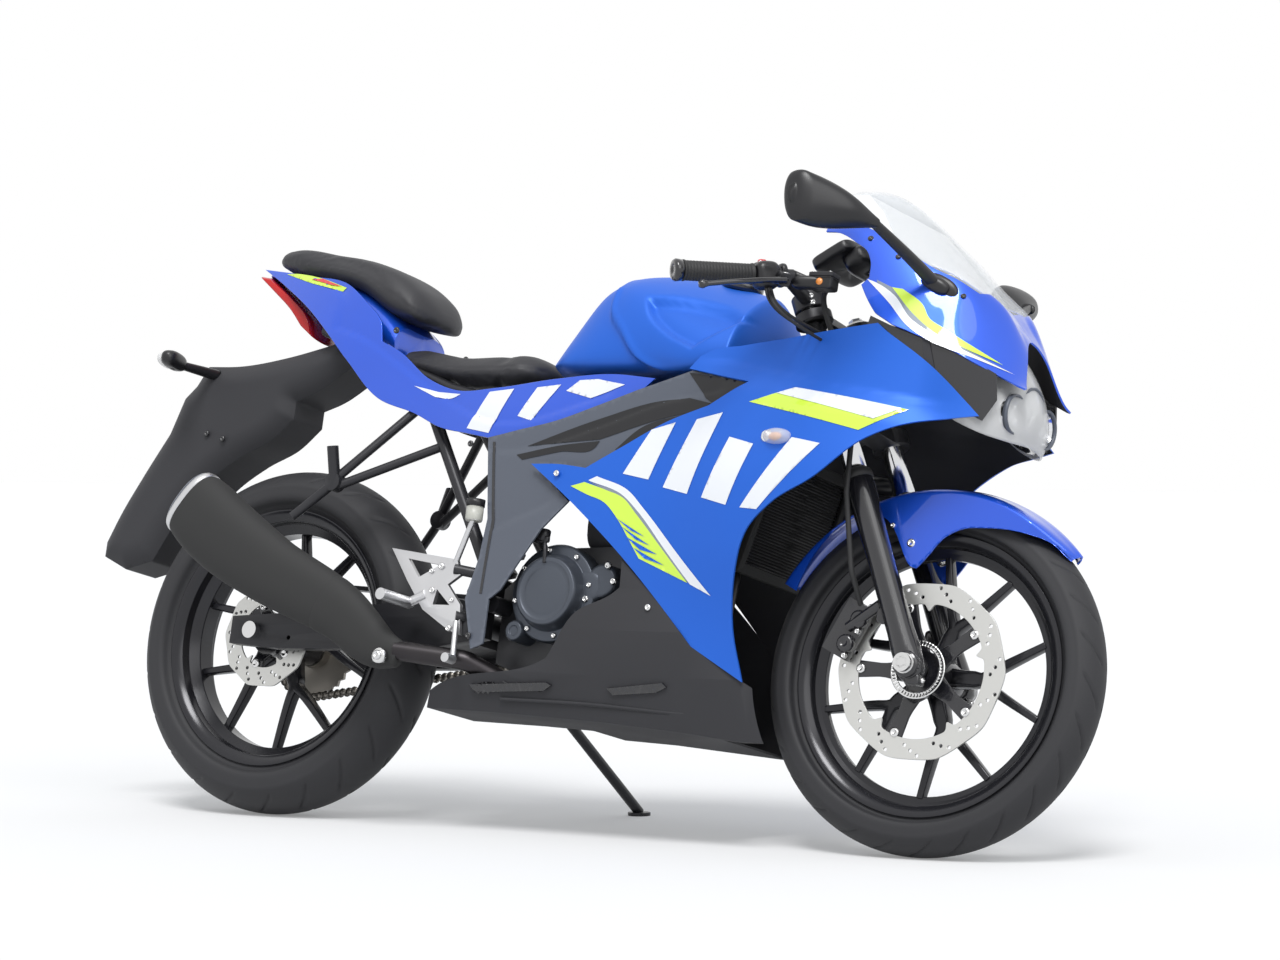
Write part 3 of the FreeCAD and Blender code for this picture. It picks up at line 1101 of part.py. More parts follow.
def triple_clamps():
    """Return both clamp plates and the stem that turns in the head tube."""
    low_share = HEAD_LOW_SHARE - (CLAMP_THICKNESS + CLAMP_RUNNING_GAP) * math.cos(RAKE) / BODY_HEIGHT
    high_share = HEAD_HIGH_SHARE + CLAMP_RUNNING_GAP * math.cos(RAKE) / BODY_HEIGHT
    low = clamp_plate(low_share, CLAMP_THICKNESS)
    high = clamp_plate(high_share, UPPER_CLAMP_THICKNESS)
    stem = rod(head_point(low_share), head_point(high_share) + STEER_UP * UPPER_CLAMP_THICKNESS,
               STEM_RADIUS)
    return low.fuse([high, stem])


BAR_SHARES = [(0.813, 0.94, 0.814), (0.717, 1.60, 0.786)]
COLLAR_SHARE = 0.776
COLLAR_HEIGHT = 28.0
COLLAR_WALL = 9.0
LEVER_START = 24.0
LEVER_ROOT_AHEAD = 27.0
LEVER_TIP_AHEAD = 38.0
LEVER_ROOT_DROP = 14.0
LEVER_TIP_DROP = 30.0
LEVER_RADIUS = 5.0
LEVER_BALL_RADIUS = 7.5
LEVER_END_SHARE = 0.90
PERCH_RADIUS = 10.0
RESERVOIR_SIZE = (44.0, 34.0, 28.0)
RESERVOIR_SHARE = (0.850, -0.86, 0.808)
RESERVOIR_STEM_RADIUS = 6.0


def lever(inner, end):
    """Return the lever ahead of a grip, with the perch that holds it to the bar."""
    along = (end - inner).normalize()
    ahead = Vec(0, 0, 1).cross(along).normalize()
    clamp = inner + along * LEVER_START
    root = clamp + ahead * LEVER_ROOT_AHEAD - Vec(0, 0, LEVER_ROOT_DROP)
    tip = inner + (end - inner) * LEVER_END_SHARE + ahead * LEVER_TIP_AHEAD - Vec(0, 0, LEVER_TIP_DROP)
    perch = rod(clamp, root, PERCH_RADIUS)
    return perch.fuse([rod(root, tip, LEVER_RADIUS), Part.makeSphere(LEVER_BALL_RADIUS, tip)])


def brake_reservoir():
    """Return the square fluid reservoir of the front brake."""
    centre = pt(*RESERVOIR_SHARE)
    length, width, height = RESERVOIR_SIZE
    corner = centre - Vec(length / 2, width / 2, height / 2)
    return Part.makeBox(length, width, height, corner)


def handlebars():
    """Return both clip-on bars with their grips, collars, levers and the brake's reservoir."""
    inner, end = [pt(x, -y, z) for x, y, z in BAR_SHARES]
    along = (end - inner).normalize()
    bar = rod(inner, end, BAR_RADIUS)
    grip = rod(end - along * GRIP_LENGTH, end, GRIP_RADIUS)
    cap = rod(end, end + along * BAR_END_LENGTH, BAR_END_RADIUS)
    housing = rod(end - along * (GRIP_LENGTH + HOUSING_LENGTH), end - along * GRIP_LENGTH,
                  HOUSING_RADIUS)
    low = head_point(COLLAR_SHARE, FORK_OFFSET, -FORK_HALF_SPACING)
    collar = rod(low, low + STEER_UP * COLLAR_HEIGHT, FORK_TUBE_RADIUS + COLLAR_WALL)
    link = rod(low + STEER_UP * COLLAR_HEIGHT / 2, inner + along * BAR_RADIUS * 2, BAR_RADIUS)
    body = bar.fuse([grip, cap, housing, collar, link, lever(inner, end)])
    hole = rod(low - STEER_UP * COLLAR_HEIGHT, low + STEER_UP * COLLAR_HEIGHT * 2, FORK_TUBE_RADIUS)
    side = seated(body, hole)
    stem = rod(inner, pt(*RESERVOIR_SHARE), RESERVOIR_STEM_RADIUS)
    return Part.makeCompound([side.fuse([stem, brake_reservoir()]), mirrored(side)])


# The front brake's hose, from the reservoir down past the lower clamp to the caliper
HOSE_RADIUS = 4.5
HOSE_BEND = 28.0
HOSE_START_SHARE = (0.850, -0.79, 0.805)
HOSE_FORK_SHARES = [(0.775, 1.93, 1.24), (0.700, 2.05, 1.24), (0.600, 2.05, 1.31),
                    (0.500, 0.62, 1.37), (0.400, -0.50, 1.14)]
HOSE_END_SHARE = (0.917, -0.345, 0.345)


def front_hose(bars, brake):
    """Return the front brake hose, in front of the right fork leg and then round it."""
    points = [pt(*HOSE_START_SHARE)]
    for z_share, ahead, side in HOSE_FORK_SHARES:
        points.append(head_point(z_share, ahead * FORK_OFFSET, -side * FORK_HALF_SPACING))
    points.append(pt(*HOSE_END_SHARE))
    return seated(tube(points, HOSE_RADIUS, HOSE_BEND), bars, brake)


FENDER_CLEARANCE = 13.0
FENDER_LUG_RADIUS = 12.0
FRONT_FENDER_HALF_WIDTH = 58.0
FRONT_FENDER_WALL = 3.0
FRONT_FENDER_DROP = 36.0
FENDER_SHOULDER_SHARE = 0.82
FENDER_SHOULDER_DROP_SHARE = 0.30
FENDER_LUG_DROP_SHARE = 0.60
FRONT_FENDER_START_DEG = 47.0
FRONT_FENDER_END_DEG = 155.0
FENDER_BLADE_SHARES = [(-0.305, 0.905), (-0.229, 0.715), (-0.149, 0.545), (-0.059, 0.611),
                       (0.031, 0.733), (-0.055, 0.960)]
FENDER_BLADE_THICKNESS = 5.0


def front_fender():
    """Return the front fender: an arched channel about the front axle, with lugs to the legs."""
    outer = FRONT_TYRE_RADIUS + FENDER_CLEARANCE + FRONT_FENDER_WALL
    half = FRONT_FENDER_HALF_WIDTH
    drop = FRONT_FENDER_DROP
    wall = FRONT_FENDER_WALL
    shoulder = half * FENDER_SHOULDER_SHARE
    brow = outer - drop * FENDER_SHOULDER_DROP_SHARE
    profile = [(-half, outer - drop), (-shoulder, brow), (0, outer), (shoulder, brow),
               (half, outer - drop), (half - wall, outer - drop), (shoulder - wall, brow - wall),
               (0, outer - wall), (wall - shoulder, brow - wall), (wall - half, outer - drop)]
    span = FRONT_FENDER_END_DEG - FRONT_FENDER_START_DEG
    arch = revolved(profile, FRONT_AXLE, span, 90.0 - FRONT_FENDER_END_DEG)
    leg = FRONT_AXLE + STEER_UP * (outer - drop * FENDER_LUG_DROP_SHARE)
    lug = rod(leg - Vec(0, half - wall, 0), leg - Vec(0, FORK_HALF_SPACING, 0), FENDER_LUG_RADIUS)
    lug = lug.cut(rod(FRONT_AXLE - Vec(0, FORK_HALF_SPACING, 0),
                      leg - Vec(0, FORK_HALF_SPACING, 0) + STEER_UP * FORK_SLIDER_LENGTH,
                      FORK_SLIDER_RADIUS))
    ring = [FRONT_AXLE + Vec(x * FRONT_TYRE_RADIUS, wall - half, z * FRONT_TYRE_RADIUS)
            for x, z in FENDER_BLADE_SHARES]
    blade = Part.Face(Part.makePolygon(ring + ring[:1])).extrude(Vec(0, -FENDER_BLADE_THICKNESS, 0))
    return arch.fuse([lug, mirrored(lug), blade, mirrored(blade)])


CALIPER_SIZE = (48.0, 48.0, 92.0)
CALIPER_SLOT = 8.0
CALIPER_ANGLE_DEG = 155.0
CALIPER_SLOT_SHARE = 0.25
CALIPER_SEAT_SHARE = 0.10


def caliper(centre, offset, disc_radius, angle_deg, size):
    """Return a caliper: a block that straddles a disc with a gap each side."""
    depth, width, length = size
    body = Part.makeBox(depth, width, length, Vec(-depth / 2, -width / 2, -length / 2))
    slot = Part.makeBox(depth, CALIPER_SLOT * 2, length + CUT_OVERRUN * 2,
                        Vec(-depth / 2 - depth * CALIPER_SLOT_SHARE, -CALIPER_SLOT,
                            -length / 2 - CUT_OVERRUN))
    body = body.cut(slot)
    body.translate(Vec(disc_radius - depth * CALIPER_SEAT_SHARE, offset, 0))
    body.rotate(Vec(0, 0, 0), Vec(0, 1, 0), -angle_deg)
    body.translate(centre)
    return body


CALIPER_ARM_SHARE = 0.36
CALIPER_ARM_HALF = 9.0
CALIPER_ARM_START_SHARES = (0.86, 0.42)


def front_caliper():
    """Return the front caliper with the arm that bolts it to the right fork leg."""
    body = caliper(FRONT_AXLE, -FRONT_DISC_OFFSET, FRONT_DISC_RADIUS, CALIPER_ANGLE_DEG,
                   CALIPER_SIZE)
    out = CALIPER_SIZE[1] / 2
    behind, above = CALIPER_ARM_START_SHARES
    start = Vec(FRONT_AXLE.x - FRONT_DISC_RADIUS * behind, -FRONT_DISC_OFFSET - out,
                FRONT_AXLE.z + FRONT_DISC_RADIUS * above)
    leg = FRONT_AXLE + STEER_UP * (FORK_SLIDER_LENGTH * CALIPER_ARM_SHARE)
    end = Vec(leg.x, -FORK_HALF_SPACING, leg.z)
    arm = rod(start, end, CALIPER_ARM_HALF)
    foot = FRONT_AXLE - Vec(0, FORK_HALF_SPACING, 0)
    slider = rod(foot, foot + STEER_UP * FORK_SLIDER_LENGTH, FORK_SLIDER_RADIUS)
    return seated(body.fuse(arm), slider)


REAR_CALIPER_SIZE = (34.0, 34.0, 66.0)
REAR_CALIPER_ANGLE_DEG = 16.0
REAR_CALIPER_LUG_SHARES = (0.19, 0.12)
REAR_CALIPER_LUG_RADIUS = 9.0


def rear_caliper(arm_body):
    """Return the rear caliper with the lug that bolts it to the swingarm's right side."""
    body = caliper(REAR_AXLE, -REAR_DISC_OFFSET, REAR_DISC_RADIUS, REAR_CALIPER_ANGLE_DEG,
                   REAR_CALIPER_SIZE)
    outer = REAR_DISC_OFFSET + REAR_CALIPER_SIZE[1] / 2
    lug = rod(arm_point(*REAR_CALIPER_LUG_SHARES, CALIPER_SLOT - outer),
              arm_point(*REAR_CALIPER_LUG_SHARES, -ARM_INNER), REAR_CALIPER_LUG_RADIUS)
    return seated(body.fuse(lug), arm_body)


def front_axle():
    """Return the front axle through the hub and both fork feet."""
    reach = Vec(0, FORK_HALF_SPACING + FORK_SLIDER_RADIUS, 0)
    shaft = rod(FRONT_AXLE - reach, FRONT_AXLE + reach, FRONT_AXLE_RADIUS)
    nut = rod(FRONT_AXLE - reach - Vec(0, AXLE_NUT_LENGTH, 0), FRONT_AXLE - reach,
              AXLE_NUT_RADIUS)
    spacer_low = rod(FRONT_AXLE - Vec(0, FORK_HALF_SPACING - FORK_SLIDER_RADIUS, 0),
                     FRONT_AXLE - Vec(0, FRONT_DISC_OFFSET + CLAMP_RUNNING_GAP + DISC_THICKNESS, 0),
                     AXLE_SPACER_RADIUS)
    return shaft.fuse([nut, spacer_low])


# Side stand, drawn as it stands
STAND_PIVOT_SHARE = (0.412, 0.40, 0.196)
STAND_FOOT_SHARE = (0.426, 1.60, 0.072)
STAND_RADIUS = 9.0
STAND_FOLD_AIM = Vec(-0.98, 0.12, -0.06)
STAND_PLATE_RADIUS = 16.0
STAND_PLATE_THICKNESS = 8.0
STAND_FOOT_RADIUS = 20.0
STAND_FOOT_THICKNESS = 6.0
STAND_PIN_RADIUS = 6.0
STAND_BOSS_LENGTH = 12.0
STAND_ARM_SHARE = 0.75
STAND_NECK_LENGTH_SHARE = 1.8
STAND_NECK_WIDTH_SHARE = 1.3
STAND_LEG_START_SHARE = 1.4

STAND_PIVOT = pt(*STAND_PIVOT_SHARE)
WORLD_UP = turned(Vec(0, 0, 1), Vec(1, 0, 0), LEAN)


def stand_foot_point():
    """Return the foot's lowest middle point, set on the ground of the leaning machine."""
    foot = pt(*STAND_FOOT_SHARE)
    height = foot.dot(WORLD_UP) + LIFT
    return foot - WORLD_UP * height


STAND_FOOT = stand_foot_point()
STAND_AIM = (STAND_FOOT - STAND_PIVOT).normalize()
STAND_AXIS = STAND_AIM.cross(STAND_FOLD_AIM).normalize()
STAND_FOLD_DEG = math.degrees(STAND_AIM.getAngle(STAND_FOLD_AIM))


def stand_bracket():
    """Return the frame's bracket and pin that the side stand swings on."""
    face = STAND_PIVOT + STAND_AXIS * (STAND_PLATE_THICKNESS / 2 + RUNNING_GAP)
    top = face + STAND_AXIS * STAND_BOSS_LENGTH
    boss = rod(face, top, STAND_PLATE_RADIUS)
    pin = rod(STAND_PIVOT - STAND_AXIS * STAND_PLATE_THICKNESS / 2, top, STAND_PIN_RADIUS)
    x_share, y_share, z_share = BEAM_SHARES[-1]
    arm = rod(face + STAND_AXIS * (STAND_BOSS_LENGTH * STAND_ARM_SHARE), pt(x_share, y_share, z_share),
              STAND_BOSS_LENGTH / 2)
    return boss.fuse([pin, arm])


def stand_leg():
    """Return the stand's leg: pivot eye, round leg and flat foot."""
    half = STAND_AXIS * (STAND_PLATE_THICKNESS / 2)
    eye = rod(STAND_PIVOT - half, STAND_PIVOT + half, STAND_PLATE_RADIUS)
    top = STAND_FOOT + WORLD_UP * STAND_FOOT_THICKNESS
    neck_end = STAND_PIVOT + STAND_AIM * (STAND_PLATE_RADIUS * STAND_NECK_LENGTH_SHARE)
    neck_width = STAND_PLATE_RADIUS * STAND_NECK_WIDTH_SHARE
    neck = flat_bar(STAND_PIVOT, neck_end, STAND_AXIS, neck_width, STAND_PLATE_THICKNESS)
    leg = rod(STAND_PIVOT + STAND_AIM * (STAND_PLATE_RADIUS * STAND_LEG_START_SHARE), top,
              STAND_RADIUS)
    length = (top - STAND_PIVOT).Length
    above = rod(STAND_FOOT, STAND_FOOT + WORLD_UP * length, length)
    foot = rod(STAND_FOOT, top, STAND_FOOT_RADIUS)
    body = eye.fuse([neck, leg.common(above), foot])
    reach = STAND_AXIS * (STAND_PLATE_THICKNESS + CUT_OVERRUN)
    return body.cut(rod(STAND_PIVOT - reach, STAND_PIVOT + reach, STAND_PIN_RADIUS + AXLE_FIT))


# Footrest brackets
REARSET_SHARES = [(0.241, 0.409), (0.348, 0.393), (0.356, 0.369), (0.338, 0.354),
                  (0.362, 0.323), (0.367, 0.276), (0.347, 0.284), (0.303, 0.314), (0.272, 0.359)]
REARSET_WINDOW_SHARES = [[(0.270, 0.393), (0.322, 0.384), (0.290, 0.364)],
                         [(0.322, 0.346), (0.345, 0.322), (0.318, 0.322)]]
REARSET_INNER_SHARE = 0.7075
REARSET_INNER = REARSET_INNER_SHARE * BODY_HALF_WIDTH
REARSET_THICKNESS = 8.0
PEG_ARM_SHARE = (0.304, 0.338)
PEG_SHARE = (0.278, 0.324)
PEG_ARM_RADIUS = 9.0
PEDAL_SHARES = [(0.360, -0.75, 0.296), (0.373, -0.84, 0.235), (0.373, -0.95, 0.235)]
PEDAL_RADIUS = 5.0
PEDAL_PAD_RADIUS = 8.0
REAR_RESERVOIR_SHARE = (0.371, -0.79, 0.452)
REAR_RESERVOIR_RADIUS = 14.0
REAR_RESERVOIR_HEIGHT = 36.0
PEG_LENGTH = 84.0
PEG_RADIUS = 10.0


def rearset():
    """Return the right footrest bracket with its windows, peg and pedal."""
    outer = REARSET_INNER + REARSET_THICKNESS
    middle = Vec(0, REARSET_INNER + REARSET_THICKNESS / 2, 0)
    plate = prism(corners(REARSET_SHARES), -outer, -REARSET_INNER)
    for window in REARSET_WINDOW_SHARES:
        plate = plate.cut(prism(corners(window), -outer - CUT_OVERRUN, CUT_OVERRUN - REARSET_INNER))
    root = pt(PEG_SHARE[0], 0, PEG_SHARE[1])
    arm = rod(pt(PEG_ARM_SHARE[0], 0, PEG_ARM_SHARE[1]) - middle, root - middle, PEG_ARM_RADIUS)
    peg = rod(root - middle, root - middle - Vec(0, PEG_LENGTH, 0), PEG_RADIUS)
    hinge, toe, tip = [pt(*share) for share in PEDAL_SHARES]
    pedal = rod(hinge, toe, PEDAL_RADIUS)
    pad = rod(toe, tip, PEDAL_PAD_RADIUS)
    return plate.fuse([arm, peg, pedal, pad])


def rear_reservoir():
    """Return the rear brake's fluid pot on its stalk above the right footrest bracket."""
    base = pt(*REAR_RESERVOIR_SHARE)
    pot = rod(base, base + Vec(0, 0, REAR_RESERVOIR_HEIGHT), REAR_RESERVOIR_RADIUS)
    foot = pt(REARSET_SHARES[1][0], 0, REARSET_SHARES[1][1])
    foot = foot - Vec(PEDAL_RADIUS, REARSET_INNER + REARSET_THICKNESS / 2, PEDAL_RADIUS)
    return pot.fuse(rod(foot, base + Vec(0, 0, PEDAL_RADIUS), PEDAL_RADIUS))


PEG_TUBE_RADIUS = 8.0
PEG_TUBE_SHARES = [[(0.245, -0.375, 0.682), (0.132, -0.75, 0.517)],
                   [(0.262, -0.41, 0.586), (0.134, -0.75, 0.505)]]
PILLION_PEG_SHARE = (0.132, 0.512)
PILLION_PEG_LENGTH = 60.0
PEG_BOSS_RADIUS = 16.0
MUFFLER_LUG_SHARE = (0.083, -0.86, 0.452)


def pillion_bracket(frame_body, muffler_body):
    """Return the right pillion footrest: two tubes off the frame, peg and muffler lug."""
    tubes = []
    for start, end in PEG_TUBE_SHARES:
        tubes.append(rod(pt(*start), pt(*end), PEG_TUBE_RADIUS))
    hinge = pt(PILLION_PEG_SHARE[0], PEG_TUBE_SHARES[0][1][1], PILLION_PEG_SHARE[1])
    boss = rod(hinge + Vec(0, PEG_RADIUS, 0), hinge - Vec(0, PEG_RADIUS, 0), PEG_BOSS_RADIUS)
    peg = rod(hinge, hinge + Vec(0, -PEG_RADIUS * 2, PILLION_PEG_LENGTH), PEG_RADIUS)
    lug = rod(hinge, pt(*MUFFLER_LUG_SHARE), PEG_TUBE_RADIUS)
    body = tubes[0].fuse([tubes[1], boss, peg, lug])
    return seated(body, frame_body, muffler_body)


# Indicators
FRONT_SIGNAL_SHARE = (0.826, -0.864, 0.577)
SIGNAL_LENGTH = 52.0
SIGNAL_RADIUS = 17.0
SIGNAL_TIP_RADIUS = 12.0
SIGNAL_REACH = 42.0
REAR_SIGNAL_SHARES = [(-0.165, 0.24, 0.712), (-0.182, 0.62, 0.712)]
SIGNAL_STALK_RADIUS = 6.0


def front_signals(cowl):
    """Return the two front indicators, seated on the side cowls."""
    root = pt(*FRONT_SIGNAL_SHARE)
    tip = root - Vec(SIGNAL_LENGTH / 4, SIGNAL_REACH, 0)
    lens = Part.makeCone(SIGNAL_RADIUS, SIGNAL_RADIUS / 2, (tip - root).Length, root, tip - root)
    outer = max(lens.cut(cowl).Solids, key=lambda solid: -solid.BoundBox.YMin)
    return both_sides(outer)


def rear_signals(fender):
    """Return the two rear indicators on their stalks."""
    root, tip = [pt(x, -y, z) for x, y, z in REAR_SIGNAL_SHARES]
    stalk = rod(root, tip, SIGNAL_STALK_RADIUS)
    lens = Part.makeCone(SIGNAL_RADIUS, SIGNAL_TIP_RADIUS, SIGNAL_LENGTH, tip, tip - root)
    return both_sides(max(stalk.fuse(lens).cut(fender).Solids, key=lambda solid: solid.Volume))


# Fairing stay: a spine from the head tube with a cross bar behind the nose
SPINE_END_SHARE = (0.960, 0.0, 0.765)
SPINE_RADIUS = 12.0
CROSS_BAR_SHARES = [(0.955, 0.0, 0.765), (0.985, 0.48, 0.780)]
LAMP_STAY_SHARES = [(0.960, 0.10, 0.767), (0.985, 0.20, 0.690)]
DASH_SHARES = [(0.885, 0.872), (0.940, 0.838), (0.950, 0.852), (0.897, 0.890)]
DASH_HALF_WIDTH = 60.0
CROSS_BAR_REACH_SHARE = 0.6
DASH_POST_SHARES = [(0.926, 0.0, 0.750), (0.926, 0.0, 0.850)]


def fairing_stay(frame_body, cowl, lamp):
    """Return the stay that carries the nose, the headlight and the instrument panel."""
    spine = rod(head_point(BEAM_HEAD_SHARES[1]), pt(*SPINE_END_SHARE), SPINE_RADIUS)
    dash = prism(corners(DASH_SHARES), -DASH_HALF_WIDTH, DASH_HALF_WIDTH)
    post = rod(*[pt(*share) for share in DASH_POST_SHARES], STAY_ROD_RADIUS)
    start, end = [pt(x, -y, z) for x, y, z in CROSS_BAR_SHARES]
    bar = rod(start, end + (end - start) * CROSS_BAR_REACH_SHARE, STAY_ROD_RADIUS)
    bar = min(bar.cut(cowl).Solids, key=lambda solid: abs(solid.BoundBox.YMax))
    drop = rod(*[pt(x, -y, z) for x, y, z in LAMP_STAY_SHARES], STAY_ROD_RADIUS)
    drop = max(drop.cut(lamp).Solids, key=lambda solid: solid.BoundBox.ZMax)
    whole = spine.cut(frame_body).fuse([bar, mirrored(bar), drop, mirrored(drop), dash, post])
    return max(whole.Solids, key=lambda solid: solid.Volume)


NODES = {}


def add(body, name, shape):
    """File a shape under its node and body."""
    NODES[name] = (body, shape)


def build():
    """Build every node of the upright machine."""
    add("front_wheel", "front_tyre", tyre(FRONT_AXLE, FRONT_TYRE_RADIUS, FRONT_TYRE_HALF_WIDTH,
                                          FRONT_CROWN_RADIUS, FRONT_RIM_HALF_WIDTH))
    add("front_wheel", "front_rim", rim(FRONT_AXLE, FRONT_RIM_HALF_WIDTH, FRONT_HUB_HALF_WIDTH,
                                        FRONT_AXLE_RADIUS))
    add("front_wheel", "front_disc", wheel_disc(FRONT_AXLE, -FRONT_DISC_OFFSET, FRONT_DISC_RADIUS,
                                                FRONT_HUB_HALF_WIDTH, FRONT_AXLE_RADIUS))
    add("rear_wheel", "rear_tyre", tyre(REAR_AXLE, REAR_TYRE_RADIUS, REAR_TYRE_HALF_WIDTH,
                                        REAR_CROWN_RADIUS, REAR_RIM_HALF_WIDTH))
    add("rear_wheel", "rear_rim", rim(REAR_AXLE, REAR_RIM_HALF_WIDTH, REAR_HUB_HALF_WIDTH,
                                      REAR_AXLE_RADIUS))
    add("rear_wheel", "rear_disc", wheel_disc(REAR_AXLE, -REAR_DISC_OFFSET, REAR_DISC_RADIUS,
                                              REAR_HUB_HALF_WIDTH, REAR_AXLE_RADIUS))
    add("rear_wheel", "rear_sprocket", sprocket_plate())
    add("root", "drive_chain", drive_chain())
    cowl = side_cowl()
    add("root", "side_cowl_right", cowl)
    add("root", "side_cowl_left", mirrored(cowl))
    cover = frame_cover()
    add("root", "frame_covers", both_sides(cover))
    tail = tail_side()
    add("root", "tail_sides", both_sides(tail))
    panels = [(*COVER_STAY_SHARES, cover), (*COWL_STAY_SHARES, cowl)]
    panels += [(*shares, tail) for shares in TAIL_STAY_SHARES]
    frame_body = frame(panels)
    add("root", "frame", frame_body)
    tank = seated(fuel_tank(), frame_body)
    add("root", "fuel_tank", tank)
    arm_body = swingarm()
    add("root", "swingarm", arm_body)
    add("root", "rear_shock", rear_shock(frame_body, arm_body))
    add("root", "rear_caliper", rear_caliper(arm_body))
    add("root", "rear_axle", rear_axle())
    engine_body = engine()
    add("root", "engine", engine_body)
    add("root", "engine_covers", Part.makeCompound([clutch_cover(), alternator_cover()]))
    add("root", "radiator", radiator(frame_body))
    header = exhaust_header(engine_body)
    add("root", "exhaust_header", header)
    muffler_body = muffler(header)
    add("root", "muffler", muffler_body)
    core = seated(tail_core(), frame_body, tail, mirrored(tail))
    add("root", "tail_core", core)
    add("root", "rider_seat", seated(rider_seat(), frame_body, tank, core, tail, mirrored(tail)))
    add("root", "pillion_seat", seated(pillion_seat(), core, tail, mirrored(tail)))
    add("root", "belly_pan", belly_pan())
    front, screen = nose_pieces()
    add("root", "front_cowl", front)
    add("root", "windscreen", screen)
    lamp = seated(headlight(), front)
    add("root", "headlight", lamp)
    add("root", "fairing_stay", fairing_stay(frame_body, front, lamp))
    fender = seated(rear_fender(), core, frame_body, tail, mirrored(tail))
    add("root", "rear_fender", fender)
    add("root", "taillight", seated(taillight(), core, fender, tail, mirrored(tail)))
    right_mirror = seated(mirror(), front)
    add("root", "mirrors", both_sides(right_mirror))
    plate = rearset()
    add("root", "rearsets", Part.makeCompound([plate.fuse(rear_reservoir()), mirrored(plate)]))
    add("root", "pillion_brackets", both_sides(pillion_bracket(frame_body, muffler_body)))
    signals = front_signals(cowl).Solids + rear_signals(fender).Solids
    add("root", "signals", Part.makeCompound(signals))
    add("steering", "fork_legs", fork_legs())
    add("steering", "triple_clamps", triple_clamps())
    bars = handlebars()
    add("steering", "handlebars", bars)
    add("steering", "front_fender", front_fender())
    add("steering", "front_axle", front_axle())
    brake = front_caliper()
    add("steering", "front_caliper", brake)
    add("steering", "front_hose", front_hose(bars, brake))
    add("side_stand", "stand_leg", stand_leg())


def steered(shape):
    """Turn a shape about the steering axis from straight ahead to its rest."""
    turned_shape = shape.copy()
    turned_shape.rotate(STEER_GROUND, STEER_UP, STEER_REST_DEG)
    return turned_shape


def finish():
    """Lean every node, centre the machine on its footprint and write its files."""
    placed = {}
    for name, (body, shape) in NODES.items():
        if body in ("steering", "front_wheel"):
            shape = steered(shape)
        else:
            shape = shape.copy()
        shape.rotate(Vec(0, 0, 0), Vec(1, 0, 0), -LEAN_DEG)
        shape.translate(Vec(0, 0, LIFT))
        placed[name] = shape
    box = FreeCAD.BoundBox()
    for shape in placed.values():
        box.add(shape.optimalBoundingBox(True, False))
    shift = Vec(-(box.XMin + box.XMax) / 2, -(box.YMin + box.YMax) / 2, 0)
    for name, shape in placed.items():
        shape.translate(shift)
        shape.exportStep("parts/" + name + ".step")
        print(name, len(shape.Solids), round(shape.Volume / 1000), shape.isValid())
    front = leaned(STEER_GROUND + turned(FRONT_AXLE - STEER_GROUND, STEER_UP, STEER_REST))
    lift = Vec(0, 0, LIFT)
    report = {"rear_axle": leaned(REAR_AXLE) + lift + shift,
              "front_axle": front + lift + shift,
              "steer_point": leaned(STEER_GROUND) + lift + shift,
              "stand_pivot": leaned(STAND_PIVOT) + lift + shift,
              "spool_right": leaned(arm_point(*SPOOL_HOLE_SHARES, -ARM_OUTER)) + lift + shift,
              "spool_left": leaned(arm_point(*SPOOL_HOLE_SHARES, ARM_OUTER)) + lift + shift}
    for name, place in report.items():
        print(name, [round(value, 4) for value in place])
    ways = {"wheel_axis": leaned(Vec(0, 1, 0)), "steer_axis": leaned(STEER_UP),
            "front_wheel_axis": leaned(turned(Vec(0, 1, 0), STEER_UP, STEER_REST)),
            "stand_axis": leaned(STAND_AXIS)}
    for name, way in ways.items():
        print(name, [round(value, 7) for value in way])
    print("stand_fold_deg", round(STAND_FOLD_DEG, 2), "box", box)


build()
finish()
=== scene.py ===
"""Looks of a faired sport motorcycle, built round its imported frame.

Every shape is worked out on the upright machine, in metres: x forward from the rear axle,
y to the machine's left, z up from the ground. A Stance then leans it onto its side stand.
"""
from __future__ import annotations

import json
import logging
import math
from dataclasses import dataclass, field
from enum import Enum
from typing import Callable, Iterable, Optional, Sequence

import bpy
import numpy as np
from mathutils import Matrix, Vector
from mathutils.geometry import delaunay_2d_cdt


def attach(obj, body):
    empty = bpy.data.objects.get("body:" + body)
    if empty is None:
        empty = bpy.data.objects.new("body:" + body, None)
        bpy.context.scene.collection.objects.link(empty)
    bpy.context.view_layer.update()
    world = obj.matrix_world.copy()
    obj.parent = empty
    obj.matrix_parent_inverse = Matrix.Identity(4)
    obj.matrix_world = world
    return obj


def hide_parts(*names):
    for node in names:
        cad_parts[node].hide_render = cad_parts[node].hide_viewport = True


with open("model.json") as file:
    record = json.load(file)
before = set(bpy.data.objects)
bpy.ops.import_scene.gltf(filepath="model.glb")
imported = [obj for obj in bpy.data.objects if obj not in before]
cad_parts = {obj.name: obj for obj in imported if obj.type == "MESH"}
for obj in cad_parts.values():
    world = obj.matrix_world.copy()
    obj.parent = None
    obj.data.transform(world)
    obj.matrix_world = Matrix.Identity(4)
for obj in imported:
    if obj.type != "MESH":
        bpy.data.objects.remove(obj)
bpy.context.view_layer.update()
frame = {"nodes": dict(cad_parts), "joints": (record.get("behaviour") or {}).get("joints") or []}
LOG = logging.getLogger("machine")

WHEELBASE = 1.300
HALF_WIDTH = 0.212
HEIGHT = 1.100
REAR_TYRE_RADIUS = 0.307

Array = np.ndarray
Point = Sequence[float]
Shares = Sequence[Sequence[float]]


class Grain(Enum):
    """The small relief of a finish."""

    NONE = "none"
    FINE = "fine"
    VINYL = "vinyl"
    CAST = "cast"
    BRUSHED = "brushed"
    FLAKE = "flake"
    RUBBER = "rubber"


# The stance of the machine


